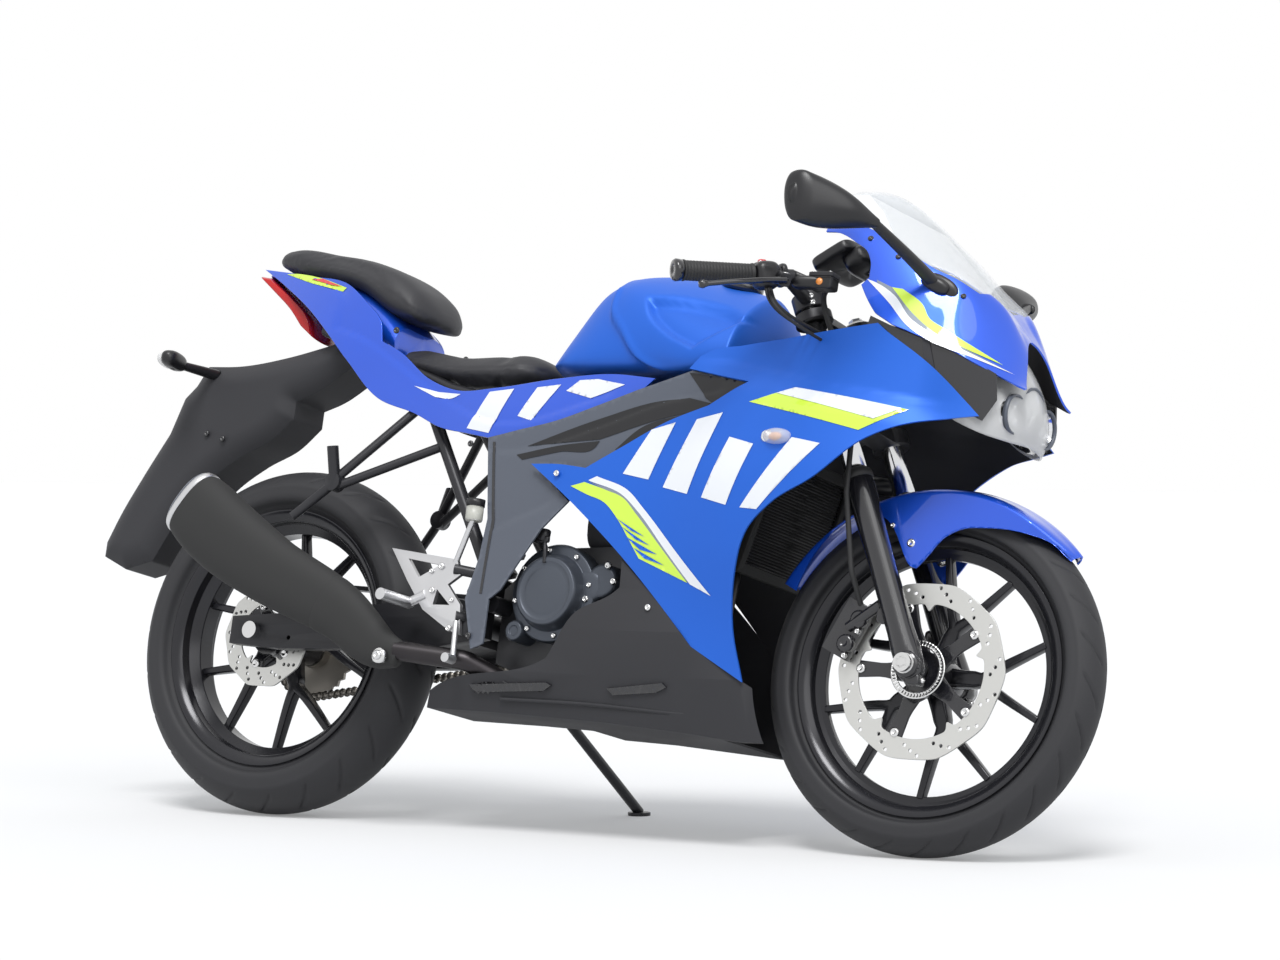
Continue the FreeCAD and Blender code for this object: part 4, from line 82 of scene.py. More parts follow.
@dataclass(frozen=True)
class Stance:
    """How the upright machine stands in the row frame, read from its joints."""

    turn: Array
    origin: Array
    steer_point: Array
    steer_axis: Array
    steer_rest: float
    front_axle: Array

    @classmethod
    def from_joints(cls, joints: Sequence[dict]) -> "Stance":
        """Work out the stance.

        Args:
            joints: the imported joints, with places and axes in the row frame.

        Returns:
            The stance whose turn takes machine directions to row directions.
        """
        by_name = {joint["name"]: joint for joint in joints}
        across = np.array(by_name["rear_wheel_spin"]["axis"], float)
        ahead = np.array([1.0, 0.0, 0.0])
        turn = np.stack([ahead, across, np.cross(ahead, across)], axis=1)
        rear = np.array(by_name["rear_wheel_spin"]["pos_m"], float)
        origin = rear - turn @ np.array([0.0, 0.0, REAR_TYRE_RADIUS])
        axis = turn.T @ np.array(by_name["steering"]["axis"], float)
        point = turn.T @ (np.array(by_name["steering"]["pos_m"], float) - origin)
        front_across = turn.T @ np.array(by_name["front_wheel_spin"]["axis"], float)
        side = np.array([0.0, 1.0, 0.0])
        rest = math.atan2(float(axis @ np.cross(side, front_across)), float(side @ front_across))
        axle = turn.T @ (np.array(by_name["front_wheel_spin"]["pos_m"], float) - origin)
        straight = point + (axle - point) @ rotation(axis, -rest).T
        return cls(turn, origin, point, axis, rest, straight)

    def steered(self, points: Array) -> Array:
        """Turn straight-ahead points to where the bars rest."""
        return self.steer_point + (points - self.steer_point) @ rotation(self.steer_axis, self.steer_rest).T

    def place(self, points: Array, steered: bool = False) -> Array:
        """Take machine points to the row frame.

        Args:
            points: an (n, 3) array on the upright machine.
            steered: whether they turn with the bars.

        Returns:
            The (n, 3) array in the row frame.
        """
        if steered:
            points = self.steered(points)
        return points @ self.turn.T + self.origin


def rotation(axis: Array, angle: float) -> Array:
    """Return the matrix that turns by an angle about an axis, by Rodrigues' formula."""
    x, y, z = np.array(axis, float) / np.linalg.norm(axis)
    cross = np.array([[0, -z, y], [z, 0, -x], [-y, x, 0]])
    return np.eye(3) + math.sin(angle) * cross + (1 - math.cos(angle)) * cross @ cross


STANCE = Stance.from_joints(frame["joints"])


def pt(x_share: float, y_share: float, z_share: float) -> Array:
    """Return a machine point given as shares of wheelbase, half width and height."""
    return np.array([x_share * WHEELBASE, y_share * HALF_WIDTH, z_share * HEIGHT])


def flat(shares: Shares) -> Array:
    """Return side view points, in metres, from shares of wheelbase and height."""
    return np.array(shares, float) * [WHEELBASE, HEIGHT]


def at_side(points: Array, y: float | Array) -> Array:
    """Set (x, z) points of the side view at a distance across the machine."""
    return np.stack([points[:, 0], np.broadcast_to(y, len(points)), points[:, 1]], axis=1)


def on_circle(angles: Array, radius: float | Array = 1.0) -> Array:
    """Return the flat points at angles on a circle, whose radius may change round it."""
    angles = np.asarray(angles, float)
    return np.stack([np.cos(angles), np.sin(angles)], axis=-1) * np.asarray(radius)[..., None]


def full_turn(count: int, first: float = 0.0) -> Array:
    """Return evenly spaced angles once round."""
    return np.linspace(0, 2 * math.pi, count, endpoint=False) + first


# Surfaces: arrays of points with quads and triangles


@dataclass
class Surface:
    """A mesh in the making: points, faces and the texture place of each face corner."""

    points: Array
    quads: Array = field(default_factory=lambda: np.zeros((0, 4), int))
    tris: Array = field(default_factory=lambda: np.zeros((0, 3), int))
    quad_uv: Optional[Array] = None

    def mirrored(self) -> "Surface":
        """Return the twin on the other side, with its faces turned outwards again."""
        uv = None if self.quad_uv is None else self.quad_uv[:, ::-1]
        return Surface(self.points * [1, -1, 1], self.quads[:, ::-1], self.tris[:, ::-1], uv)

    def flipped(self) -> "Surface":
        """Return the same surface with its faces turned round."""
        uv = None if self.quad_uv is None else self.quad_uv[:, ::-1]
        return Surface(self.points, self.quads[:, ::-1], self.tris[:, ::-1], uv)

    def moved(self, offset: Point) -> "Surface":
        """Return the surface moved by an offset."""
        return Surface(self.points + np.asarray(offset), self.quads, self.tris, self.quad_uv)


def joined(surfaces: Iterable[Surface]) -> Surface:
    """Join surfaces into one, without merging their points."""
    points, quads, tris, uvs = [], [], [], []
    start = 0
    for surface in surfaces:
        points.append(surface.points)
        quads.append(surface.quads + start)
        tris.append(surface.tris + start)
        empty = np.zeros((len(surface.quads), 4, 2))
        uvs.append(empty if surface.quad_uv is None else surface.quad_uv)
        start += len(surface.points)
    return Surface(np.concatenate(points), np.concatenate(quads), np.concatenate(tris),
                   np.concatenate(uvs))


def both(*surfaces: Surface) -> Surface:
    """Return surfaces joined with their mirror twins."""
    right = joined(surfaces)
    return joined([right, right.mirrored()])


def grid(points: Array, wrap_u: bool = False, wrap_v: bool = False, flip: bool = False) -> Surface:
    """Join a (rows, columns, 3) array of points into quads.

    Args:
        points: row i, column j holds the surface's value at parameters (i, j).
        wrap_u: whether the last row joins the first.
        wrap_v: whether the last column joins the first.
        flip: whether the faces are turned round.

    Returns:
        The surface, with each corner's UV at its row and column shares.
    """
    rows, columns = points.shape[:2]
    i = np.arange(rows if wrap_u else rows - 1)
    j = np.arange(columns if wrap_v else columns - 1)
    i, j = (a.ravel() for a in np.meshgrid(i, j, indexing="ij"))
    ii, jj = i + 1, j + 1
    corners = [(i, j), (ii, j), (ii, jj), (i, jj)]
    quads = np.stack([(a % rows) * columns + b % columns for a, b in corners], axis=1)
    uv = np.stack([np.stack([a / rows, b / columns], axis=1) for a, b in corners], axis=1)
    surface = Surface(points.reshape(-1, 3), quads, quad_uv=uv)
    return surface.flipped() if flip else surface


def closed_loft(rings: Array, flip: bool = False) -> Surface:
    """Skin closed rings and close both ends with a fan to each end's middle."""
    count, around = rings.shape[:2]
    surface = grid(rings, wrap_v=True, flip=flip)
    first, last = rings[0].mean(0), rings[-1].mean(0)
    base = len(surface.points)
    points = np.concatenate([surface.points, [first, last]])
    j = np.arange(around)
    k = (j + 1) % around
    low = np.stack([np.full(around, base), j, k], axis=1)
    top = (count - 1) * around
    high = np.stack([np.full(around, base + 1), top + k, top + j], axis=1)
    tris = np.concatenate([low, high])
    return Surface(points, surface.quads, tris[:, ::-1] if flip else tris, surface.quad_uv)


def cubic(knots: Array, values: Array, at: Array) -> Array:
    """Read a smooth curve through knots.

    A cubic Hermite piece joins each two knots, its end slopes the finite differences
    of the values. Values may be (k, ...) for one curve or (n, k) for a curve a point.

    Args:
        knots: increasing places of the values.
        values: the curve's values at the knots.
        at: where to read it.

    Returns:
        The curve's values at those places.
    """
    knots = np.asarray(knots, float)
    values = np.asarray(values, float)
    at = np.asarray(at, float)
    per_point = values.ndim == 2 and values.shape[0] == len(at) and values.shape[1] == len(knots)
    table = values if per_point else np.moveaxis(values, 0, -1)
    slopes = np.gradient(table, knots, axis=-1)
    k = np.clip(np.searchsorted(knots, at) - 1, 0, len(knots) - 2)
    span = knots[k + 1] - knots[k]
    t = (at - knots[k]) / span
    if per_point:
        rows = np.arange(len(at))
        v0, v1, m0, m1 = table[rows, k], table[rows, k + 1], slopes[rows, k], slopes[rows, k + 1]
    else:
        v0, v1, m0, m1 = table[..., k], table[..., k + 1], slopes[..., k], slopes[..., k + 1]
    h00 = 2 * t ** 3 - 3 * t ** 2 + 1
    h10 = t ** 3 - 2 * t ** 2 + t
    found = h00 * v0 + h10 * span * m0 + (1 - h00) * v1 + (t ** 3 - t ** 2) * span * m1
    return found if per_point else np.moveaxis(found, -1, 0)


def smooth_path(points: Array, count: int) -> Array:
    """Return count points along a smooth curve through given ones, evenly by chord."""
    points = np.asarray(points, float)
    chord = np.concatenate([[0], np.cumsum(np.linalg.norm(np.diff(points, axis=0), axis=1))])
    if len(points) == 2:
        share = np.linspace(0, 1, count)[:, None]
        return points[0] * (1 - share) + points[1] * share
    return cubic(chord, points, np.linspace(0, chord[-1], count))


def outline(runs: Sequence[Shares], step: float = 0.006) -> Array:
    """Return a closed side outline in metres.

    Args:
        runs: runs of (x, z) shares; a run of one point is a straight edge from the last
            point, and a longer run is a smooth curve through them all.
        step: the greatest spacing of the points.

    Returns:
        An (n, 2) array, anticlockwise or clockwise as the runs go.
    """
    found = []
    start = flat([runs[-1][-1]])[0]
    for run in runs:
        points = np.concatenate([[start], flat(run)])
        length = np.linalg.norm(np.diff(points, axis=0), axis=1).sum()
        found.append(smooth_path(points, max(2, int(length / step) + 1))[1:])
        start = points[-1]
    return np.concatenate(found)


def inside(points: Array, polygon: Array) -> Array:
    """Tell which points are inside a polygon, by counting crossings of a ray along x."""
    x, y = points[:, 0][:, None], points[:, 1][:, None]
    x0, y0 = polygon[:, 0], polygon[:, 1]
    x1, y1 = np.roll(x0, -1), np.roll(y0, -1)
    spans = (y0 > y) != (y1 > y)
    with np.errstate(divide="ignore", invalid="ignore"):
        crossing = (x1 - x0) * (y - y0) / (y1 - y0) + x0
    return (np.where(spans & (x < crossing), 1, 0).sum(1) % 2).astype(bool)


def edge_distance(points: Array, polygon: Array) -> Array:
    """Return each point's distance to the nearest edge of a polygon."""
    a, b = polygon, np.roll(polygon, -1, axis=0)
    way = b - a
    length = np.maximum((way ** 2).sum(1), 1e-12)
    away = points[:, None] - a
    share = np.clip((away * way).sum(2) / length, 0, 1)
    return np.sqrt(((away - share[..., None] * way) ** 2).sum(2)).min(1)


def filled(edge: Array, spacing: float, holes: Sequence[Array] = ()) -> tuple[Array, Array]:
    """Triangulate the inside of a flat outline, less its holes.

    Staggered rows of points are laid over the outline, those nearer to an edge than
    half a spacing are left out, and the rest is joined by Delaunay triangles.

    Args:
        edge: the outer polygon.
        spacing: the distance between the inner points.
        holes: polygons cut out of it.

    Returns:
        The flat points and the triangles, all turned the same way.
    """
    low, high = edge.min(0), edge.max(0)
    xs = np.arange(low[0], high[0], spacing)
    ys = np.arange(low[1], high[1], spacing * 0.866)
    gx, gy = np.meshgrid(xs, ys)
    gx = gx + (np.arange(len(ys)) % 2)[:, None] * spacing / 2
    inner = np.stack([gx.ravel(), gy.ravel()], axis=1)
    inner = inner[inside(inner, edge)]
    inner = inner[edge_distance(inner, edge) > spacing * 0.45]
    for hole in holes:
        inner = inner[~inside(inner, hole)]
        inner = inner[edge_distance(inner, hole) > spacing * 0.45]
    rings = [edge, *holes]
    points = np.concatenate(rings + [inner])
    edges, start = [], 0
    for ring in rings:
        index = np.arange(len(ring))
        edges += [(start + int(a), start + int(b)) for a, b in zip(index, np.roll(index, -1))]
        start += len(ring)
    found = delaunay_2d_cdt([Vector(p) for p in points.tolist()], edges, [], 0, 1e-7, False)
    points = np.array([tuple(p) for p in found[0]], float)
    tris = np.array([f for f in found[2] if len(f) == 3], int)
    middle = points[tris].mean(1)
    keep = inside(middle, edge)
    for hole in holes:
        keep &= ~inside(middle, hole)
    tris = tris[keep]
    a, b, c = (points[tris[:, k]] for k in range(3))
    area = (b[:, 0] - a[:, 0]) * (c[:, 1] - a[:, 1]) - (b[:, 1] - a[:, 1]) * (c[:, 0] - a[:, 0])
    tris = tris[np.abs(area) > 1e-12]
    area = area[np.abs(area) > 1e-12]
    tris[area < 0] = tris[area < 0][:, ::-1]
    return points, tris


Depth = Callable[[Array, Array], Array]


def side_sheet(edge: Array, depth: Depth, spacing: float = 0.007, proud: float = 0.0,
               holes: Sequence[Array] = ()) -> Surface:
    """Lay a trimmed sheet over the machine's right side.

    Args:
        edge: its outline in side view.
        depth: gives how far out the surface lies at x and z.
        spacing: the distance between inner points.
        proud: how much further out it stands.
        holes: outlines cut out of it.

    Returns:
        The sheet at y = -(depth + proud), facing out.
    """
    points, tris = filled(edge, spacing, holes)
    return Surface(at_side(points, -(depth(points[:, 0], points[:, 1]) + proud)), tris=tris)


def table_depth(x_shares: Sequence[float], z_shares: Sequence[float], y_shares: Shares) -> Depth:
    """Return the smooth surface through a table of half widths, cubic both ways."""
    xs = np.array(x_shares) * WHEELBASE
    zs = np.array(z_shares) * HEIGHT
    rows = np.array(y_shares) * HALF_WIDTH

    def depth(x: Array, z: Array) -> Array:
        """Read the table down each column, then along the rows."""
        z = np.clip(z, zs[0] - 0.02, zs[-1] + 0.02)
        columns = np.stack([cubic(zs, row, z) for row in rows], axis=1)
        return cubic(xs, columns, x)

    return depth


def revolve(profile: Shares, axis_point: Point, axis: Point, segments: int = 48,
            closed: bool = False) -> Surface:
    """Turn a profile of (along, radius) pairs about an axis through a point.

    Args:
        profile: distances along the axis and radii; it starts and ends at radius zero,
            or is a closed section.
        axis_point: a point on the axis.
        axis: its direction.
        segments: how many steps go round.
        closed: whether the profile joins back to its start.

    Returns:
        The surface of revolution, facing out where the profile runs forwards outside.
    """
    profile = np.array(profile, float)
    along = np.array(axis, float) / np.linalg.norm(axis)
    helper = np.array([1.0, 0, 0]) if abs(along[0]) < 0.8 else np.array([0, 0, 1.0])
    first = np.cross(along, helper)
    first /= np.linalg.norm(first)
    second = np.cross(along, first)
    angle = full_turn(segments)[:, None, None]
    ring = np.cos(angle) * first + np.sin(angle) * second
    points = np.asarray(axis_point) + profile[None, :, :1] * along + profile[None, :, 1:] * ring
    return grid(points, wrap_u=True, wrap_v=closed)


def along_path(path: Array, across: Array, sizes: Array, section: Array) -> Surface:
    """Carry a closed section along a path.

    The section's first axis stays square to the path and as near as it can be to the
    direction given, and its second is square to both.

    Args:
        path: (n, 3) points.
        across: the direction that the section's first axis follows.
        sizes: (n, 2) half sizes along the section's axes.
        section: (m, 2) unit section, anticlockwise.

    Returns:
        The closed bar.
    """
    way = np.gradient(path, axis=0)
    way /= np.linalg.norm(way, axis=1)[:, None]
    first = np.asarray(across, float) - way * (way @ np.asarray(across, float))[:, None]
    first /= np.linalg.norm(first, axis=1)[:, None]
    second = np.cross(way, first)
    rings = (path[:, None] + section[None, :, :1] * sizes[:, None, :1] * first[:, None]
             + section[None, :, 1:] * sizes[:, None, 1:] * second[:, None])
    return closed_loft(rings, flip=True)


def superellipse(power: float, count: int = 24) -> Array:
    """Return a unit section between an ellipse, at power 2, and a square, at high power."""
    angle = full_turn(count)
    c, s = np.cos(angle), np.sin(angle)
    return np.stack([np.sign(c) * np.abs(c) ** (2 / power), np.sign(s) * np.abs(s) ** (2 / power)], axis=1)


def pipe(points: Shares, radius: float, count: int = 40, sides: int = 14,
         across: Point = (0.03, 0.05, 1.0)) -> Surface:
    """Return a round pipe along a smooth curve through points in metres."""
    path = smooth_path(np.array(points, float), count)
    return along_path(path, np.array(across), np.full((count, 2), radius), superellipse(2, sides))


def bolt(place: Point, axis: Point, radius: float, height: float) -> Surface:
    """Return a button head screw with a hexagon socket, its head standing on a place."""
    return revolve([(-0.0005, 0), (-0.0005, radius), (height * 0.5, radius * 0.97),
                    (height * 0.85, radius * 0.72), (height, radius * 0.5), (height * 0.35, radius * 0.46),
                    (height * 0.35, 0)], place, axis, 18)


# Finishes

COAT_ROUGHNESS = 0.03
CLOUD_SCALE = 9.0
CLOUD_DETAIL = 4.0


@dataclass(frozen=True)
class Finish:
    """One finish: its colour, gloss, small relief and slot; the slot is not used."""

    name: str
    colour: tuple[float, float, float]
    roughness: float
    slot: str = ""
    metallic: float = 0.0
    coat: float = 0.0
    grain: Grain = Grain.NONE
    grain_scale: float = 900.0
    grain_depth: float = 0.0001
    spread: float = 0.06
    second: Optional[tuple[float, float, float]] = None
    transmission: float = 0.0
    ior: float = 1.5
    alpha: float = 1.0
    glow: float = 0.0

    def material(self) -> bpy.types.Material:
        """Return this finish as a node material, made once."""
        known = bpy.data.materials.get(self.name)
        if known is not None:
            return known
        made = bpy.data.materials.new(self.name)
        made.use_nodes = True
        nodes, links = made.node_tree.nodes, made.node_tree.links
        shader = nodes["Principled BSDF"]
        for socket, value in (("Metallic", self.metallic), ("Coat Weight", self.coat),
                              ("Coat Roughness", COAT_ROUGHNESS), ("IOR", self.ior),
                              ("Transmission Weight", self.transmission), ("Alpha", self.alpha)):
            shader.inputs[socket].default_value = value
        if self.glow:
            shader.inputs["Emission Color"].default_value = (*self.colour, 1)
            shader.inputs["Emission Strength"].default_value = self.glow
        where = nodes.new("ShaderNodeTexCoord")
        cloud = nodes.new("ShaderNodeTexNoise")
        cloud.inputs["Scale"].default_value = CLOUD_SCALE
        cloud.inputs["Detail"].default_value = CLOUD_DETAIL
        links.new(where.outputs["Object"], cloud.inputs["Vector"])
        self._colour(nodes, links, shader, cloud)
        self._roughness(nodes, links, shader, cloud)
        if self.grain is not Grain.NONE:
            self._relief(nodes, links, shader, where)
        return made

    def _colour(self, nodes, links, shader, cloud) -> None:
        """Vary the colour a little with a slow cloud of noise."""
        ramp = nodes.new("ShaderNodeMix")
        ramp.data_type = "RGBA"
        light = tuple(min(1.0, c * (1 + self.spread) + self.spread * 0.01) for c in self.colour)
        dark = self.second or tuple(c * (1 - self.spread) for c in self.colour)
        ramp.inputs[6].default_value = (*dark, 1)
        ramp.inputs[7].default_value = (*light, 1)
        links.new(cloud.outputs["Fac"], ramp.inputs[0])
        links.new(ramp.outputs[2], shader.inputs["Base Color"])

    def _roughness(self, nodes, links, shader, cloud) -> None:
        """Vary the roughness by a tenth with the same cloud."""
        spread = nodes.new("ShaderNodeMapRange")
        spread.inputs["To Min"].default_value = self.roughness * 0.9
        spread.inputs["To Max"].default_value = min(1.0, self.roughness * 1.12)
        links.new(cloud.outputs["Fac"], spread.inputs["Value"])
        links.new(spread.outputs["Result"], shader.inputs["Roughness"])

    def _relief(self, nodes, links, shader, where) -> None:
        """Raise the small relief that the grain names."""
        bump = nodes.new("ShaderNodeBump")
        bump.inputs["Distance"].default_value = self.grain_depth
        bump.inputs["Strength"].default_value = 0.6
        if self.grain in (Grain.VINYL, Grain.CAST):
            cells = nodes.new("ShaderNodeTexVoronoi")
            cells.feature = "SMOOTH_F1"
            cells.inputs["Scale"].default_value = self.grain_scale
            height = cells.outputs["Distance"]
            vector = cells.inputs["Vector"]
        else:
            noise = nodes.new("ShaderNodeTexNoise")
            noise.inputs["Scale"].default_value = self.grain_scale
            noise.inputs["Detail"].default_value = 3.0
            height = noise.outputs["Fac"]
            vector = noise.inputs["Vector"]
        source = where.outputs["Object"]
        if self.grain is Grain.BRUSHED:
            stretch = nodes.new("ShaderNodeMapping")
            stretch.inputs["Scale"].default_value = (0.06, 0.06, 1.0)
            links.new(source, stretch.inputs["Vector"])
            source = stretch.outputs["Vector"]
        links.new(source, vector)
        links.new(height, bump.inputs["Height"])
        links.new(bump.outputs["Normal"], shader.inputs["Normal"])


BODY_BLUE = Finish("body_blue", (0.010, 0.150, 0.72), 0.30, metallic=0.50, coat=1.0, grain=Grain.FLAKE,
                   grain_scale=2600, grain_depth=0.00003, spread=0.05)
# Painted shade: a darker copy of the one body paint, used on the tail sides, nose, front fender and tail top
SHADED_BLUE = Finish("deep_blue", (0.006, 0.085, 0.66), 0.30, "body_blue", metallic=0.45, coat=1.0,
                   grain=Grain.FLAKE, grain_scale=2600, grain_depth=0.00003, spread=0.05)
WHITE_FILM = Finish("white_film", (0.80, 0.82, 0.86), 0.3, "body_blue", coat=1.0, spread=0.02)
NEON_FILM = Finish("neon_film", (0.62, 0.86, 0.06), 0.3, "body_blue", coat=1.0, spread=0.02)
GREY_FILM = Finish("grey_film", (0.20, 0.24, 0.30), 0.3, "body_blue", coat=1.0, spread=0.02)
RED_FILM = Finish("red_film", (0.70, 0.03, 0.04), 0.3, "body_blue", coat=1.0, spread=0.02)
COVER_GREY = Finish("cover_grey", (0.045, 0.058, 0.095), 0.38, grain=Grain.FINE, grain_scale=1800,
                    grain_depth=0.00008, spread=0.05)
COVER_BLACK = Finish("cover_black", (0.008, 0.008, 0.010), 0.35, "matte_black", grain=Grain.FINE,
                     grain_depth=0.0001)
MATTE_BLACK = Finish("matte_black", (0.012, 0.012, 0.014), 0.5, grain=Grain.FINE, grain_scale=1500,
                     grain_depth=0.00015, spread=0.12)
GLOSS_BLACK = Finish("gloss_black", (0.010, 0.010, 0.013), 0.22, "matte_black", coat=0.6, spread=0.1)
WHEEL_BLACK = Finish("wheel_black", (0.011, 0.012, 0.016), 0.26, coat=0.5, spread=0.1)
FRAME_BLACK = Finish("frame_black", (0.014, 0.014, 0.016), 0.38, coat=0.2, spread=0.1)
TYRE_RUBBER = Finish("tyre_rubber", (0.020, 0.020, 0.023), 0.66, "tyre", grain=Grain.RUBBER, grain_scale=700,
                     grain_depth=0.0002, spread=0.15)
GRIP_RUBBER = Finish("grip_rubber", (0.016, 0.016, 0.017), 0.6, "hose_rubber", grain=Grain.FINE,
                     grain_depth=0.0002)
SEAT_VINYL = Finish("seat_vinyl", (0.017, 0.018, 0.021), 0.46, grain=Grain.VINYL, grain_scale=620,
                    grain_depth=0.00035, spread=0.08)
DISC_STEEL = Finish("disc_steel", (0.66, 0.66, 0.66), 0.28, metallic=1.0, grain=Grain.BRUSHED,
                    grain_scale=900, grain_depth=0.00008)
BOLT_STEEL = Finish("bolt_steel", (0.72, 0.71, 0.68), 0.2, metallic=1.0, spread=0.08)
CHAIN_STEEL = Finish("chain_steel", (0.16, 0.14, 0.11), 0.38, metallic=1.0, spread=0.25)
CAST_ALUMINIUM = Finish("cast_aluminium", (0.60, 0.60, 0.60), 0.36, metallic=1.0, grain=Grain.CAST,
                        grain_scale=1500, grain_depth=0.00008)
ENGINE_DARK = Finish("engine_dark", (0.030, 0.034, 0.042), 0.42, metallic=0.3, grain=Grain.CAST,
                     grain_scale=1400, grain_depth=0.0001, spread=0.12)
ENGINE_GREY = Finish("engine_grey", (0.075, 0.085, 0.105), 0.36, "cast_aluminium", metallic=0.5,
                     grain=Grain.CAST, grain_scale=1600, grain_depth=0.00006, spread=0.1)
MUFFLER_BLACK = Finish("muffler_black", (0.017, 0.018, 0.022), 0.44, grain=Grain.FINE, grain_scale=1300,
                       grain_depth=0.00008, spread=0.1)
HEADER_STEEL = Finish("header_steel", (0.050, 0.047, 0.048), 0.36, "exhaust_steel", metallic=0.8,
                      second=(0.030, 0.026, 0.030))
SCREEN_CLEAR = Finish("screen_clear", (0.80, 0.83, 0.86), 0.02, transmission=1.0, ior=1.2, spread=0.0)
LENS_CLEAR = Finish("lens_clear", (0.80, 0.83, 0.87), 0.02, alpha=0.14, spread=0.0)
LENS_RED = Finish("lens_red", (0.55, 0.01, 0.02), 0.12, coat=1.0, glow=0.05, spread=0.1)
# Amber glows faintly; on the reservoir window, which is no lamp, the glow is painted light
AMBER = Finish("amber", (0.85, 0.28, 0.04), 0.2, "lens_clear", coat=1.0, glow=0.1)
MIRROR_GLASS = Finish("mirror_glass", (0.85, 0.87, 0.9), 0.02, "lamp_clear", metallic=1.0)
REFLECTOR = Finish("reflector", (0.75, 0.76, 0.78), 0.12, "lamp_clear", metallic=1.0)
FLUID_WHITE = Finish("fluid_white", (0.62, 0.62, 0.56), 0.35, "lamp_clear", transmission=0.25, spread=0.05)
RADIATOR_BLACK = Finish("radiator_black", (0.012, 0.012, 0.013), 0.55, spread=0.1)


# Putting surfaces into the scene

STEERED_BODIES = ("steering", "front_wheel")
WELD_GAP = 0.00002
FLAT_ANGLE = math.radians(1)
SHADE_ANGLE = math.radians(32)
BEVEL_ANGLE = math.radians(38)


@dataclass
class Workshop:
    """Makes the objects of the scene and counts them."""

    made: int = 0

    def piece(self, name: str, surface: Surface, finish: Finish, replaces: Sequence[str] = (),
              body: str = "root", wall: float = 0.0, bevel: float = 0.0,
              smooth: bool = True, shade_lining: Optional[Finish] = None) -> bpy.types.Object:
        """Put a surface into the scene as a finished piece.

        Args:
            name: the piece's name.
            surface: its mesh on the upright machine.
            finish: what it is finished with.
            replaces: the CAD nodes that it stands for.
            body: the body that it rides on, which also says whether it turns with the bars.
            wall: thickness given to a sheet, inwards.
            bevel: width of the rounding of its edges.
            smooth: whether it is shaded smooth.
            shade_lining: what the inner side of a sheet is finished with, a dark finish that paints the
                shade inside the shell.

        Returns:
            The new object.
        """
        mesh = bpy.data.meshes.new(name)
        points = STANCE.place(surface.points, body in STEERED_BODIES).astype(np.float32)
        loops = np.concatenate([surface.quads.ravel(), surface.tris.ravel()]).astype(np.int32)
        sizes = np.concatenate([np.full(len(surface.quads), 4), np.full(len(surface.tris), 3)])
        starts = np.concatenate([[0], np.cumsum(sizes)[:-1]])
        mesh.vertices.add(len(points))
        mesh.vertices.foreach_set("co", points.ravel())
        mesh.loops.add(len(loops))
        mesh.loops.foreach_set("vertex_index", loops)
        mesh.polygons.add(len(sizes))
        mesh.polygons.foreach_set("loop_start", starts.astype(np.int32))
        mesh.polygons.foreach_set("loop_total", sizes.astype(np.int32))
        if surface.quad_uv is not None and len(surface.quads):
            uv = np.zeros((len(loops), 2), np.float32)
            uv[:surface.quads.size] = surface.quad_uv.reshape(-1, 2)
            mesh.uv_layers.new(name="UVMap").data.foreach_set("uv", uv.ravel())
        mesh.update(calc_edges=True)
        mesh.validate()
        if smooth:
            mesh.shade_smooth()
        thing = bpy.data.objects.new(name, mesh)
        bpy.context.scene.collection.objects.link(thing)
        mesh.materials.append(finish.material())
        if wall:
            thicken = thing.modifiers.new("wall", "SOLIDIFY")
            thicken.thickness = wall
            thicken.offset = -1
            # The inner side of a sheet takes a dark finish here: painted shade inside the shell
            if shade_lining:
                mesh.materials.append(shade_lining.material())
                thicken.material_offset = 1
        if bevel:
            self.soften(thing, bevel)
        return self.settle(thing, body, replaces)

    def soften(self, thing: bpy.types.Object, width: float) -> None:
        """Round an object's sharp edges by a width."""
        edge = thing.modifiers.new("edge", "BEVEL")
        edge.width = width
        edge.segments = 2
        edge.limit_method = "ANGLE"
        edge.angle_limit = BEVEL_ANGLE
        even = thing.modifiers.new("even", "WEIGHTED_NORMAL")
        even.keep_sharp = True

    def settle(self, thing: bpy.types.Object, body: str,
               replaces: Sequence[str] = ()) -> bpy.types.Object:
        """Let a piece ride on its body and hide the CAD nodes that it stands for."""
        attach(thing, body)
        if replaces:
            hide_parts(*replaces)
        self.made += 1
        LOG.info("%s rides on %s", thing.name, body)
        return thing

    def dressed(self, node: str, name: str, finish: Finish, bevel: float, body: str = "root",
                slot: str = "") -> bpy.types.Object:
        """Stand a softened copy of a CAD node in its place.

        Its loose triangles are merged first, flat faces are joined, and the sharp
        edges are then rounded by the bevel's width.

        Args:
            node: the CAD node.
            name: the new piece's name.
            finish: what it is finished with.
            bevel: width of the rounding of its edges.
            body: the body that it rides on.
            slot: the record's material slot; it is not used.

        Returns:
            The new object.
        """
        mesh = frame["nodes"][node].data.copy()
        mesh.name = name
        thing = bpy.data.objects.new(name, mesh)
        bpy.context.scene.collection.objects.link(thing)
        mesh.materials.clear()
        mesh.materials.append(finish.material())
        merge = thing.modifiers.new("merge", "WELD")
        merge.merge_threshold = WELD_GAP
        plain = thing.modifiers.new("plain", "DECIMATE")
        plain.decimate_type = "DISSOLVE"
        plain.angle_limit = FLAT_ANGLE
        self.soften(thing, bevel)
        applied = bpy.data.meshes.new_from_object(thing.evaluated_get(bpy.context.evaluated_depsgraph_get()))
        thing.modifiers.clear()
        thing.data = applied
        applied.shade_smooth()
        applied.set_sharp_from_angle(angle=SHADE_ANGLE)
        return self.settle(thing, body, [node])


SHOP = Workshop()
UP = np.array([0.0, 0.0, 1.0])
OUT = np.array([0.0, -1.0, 0.0])


# Wheels


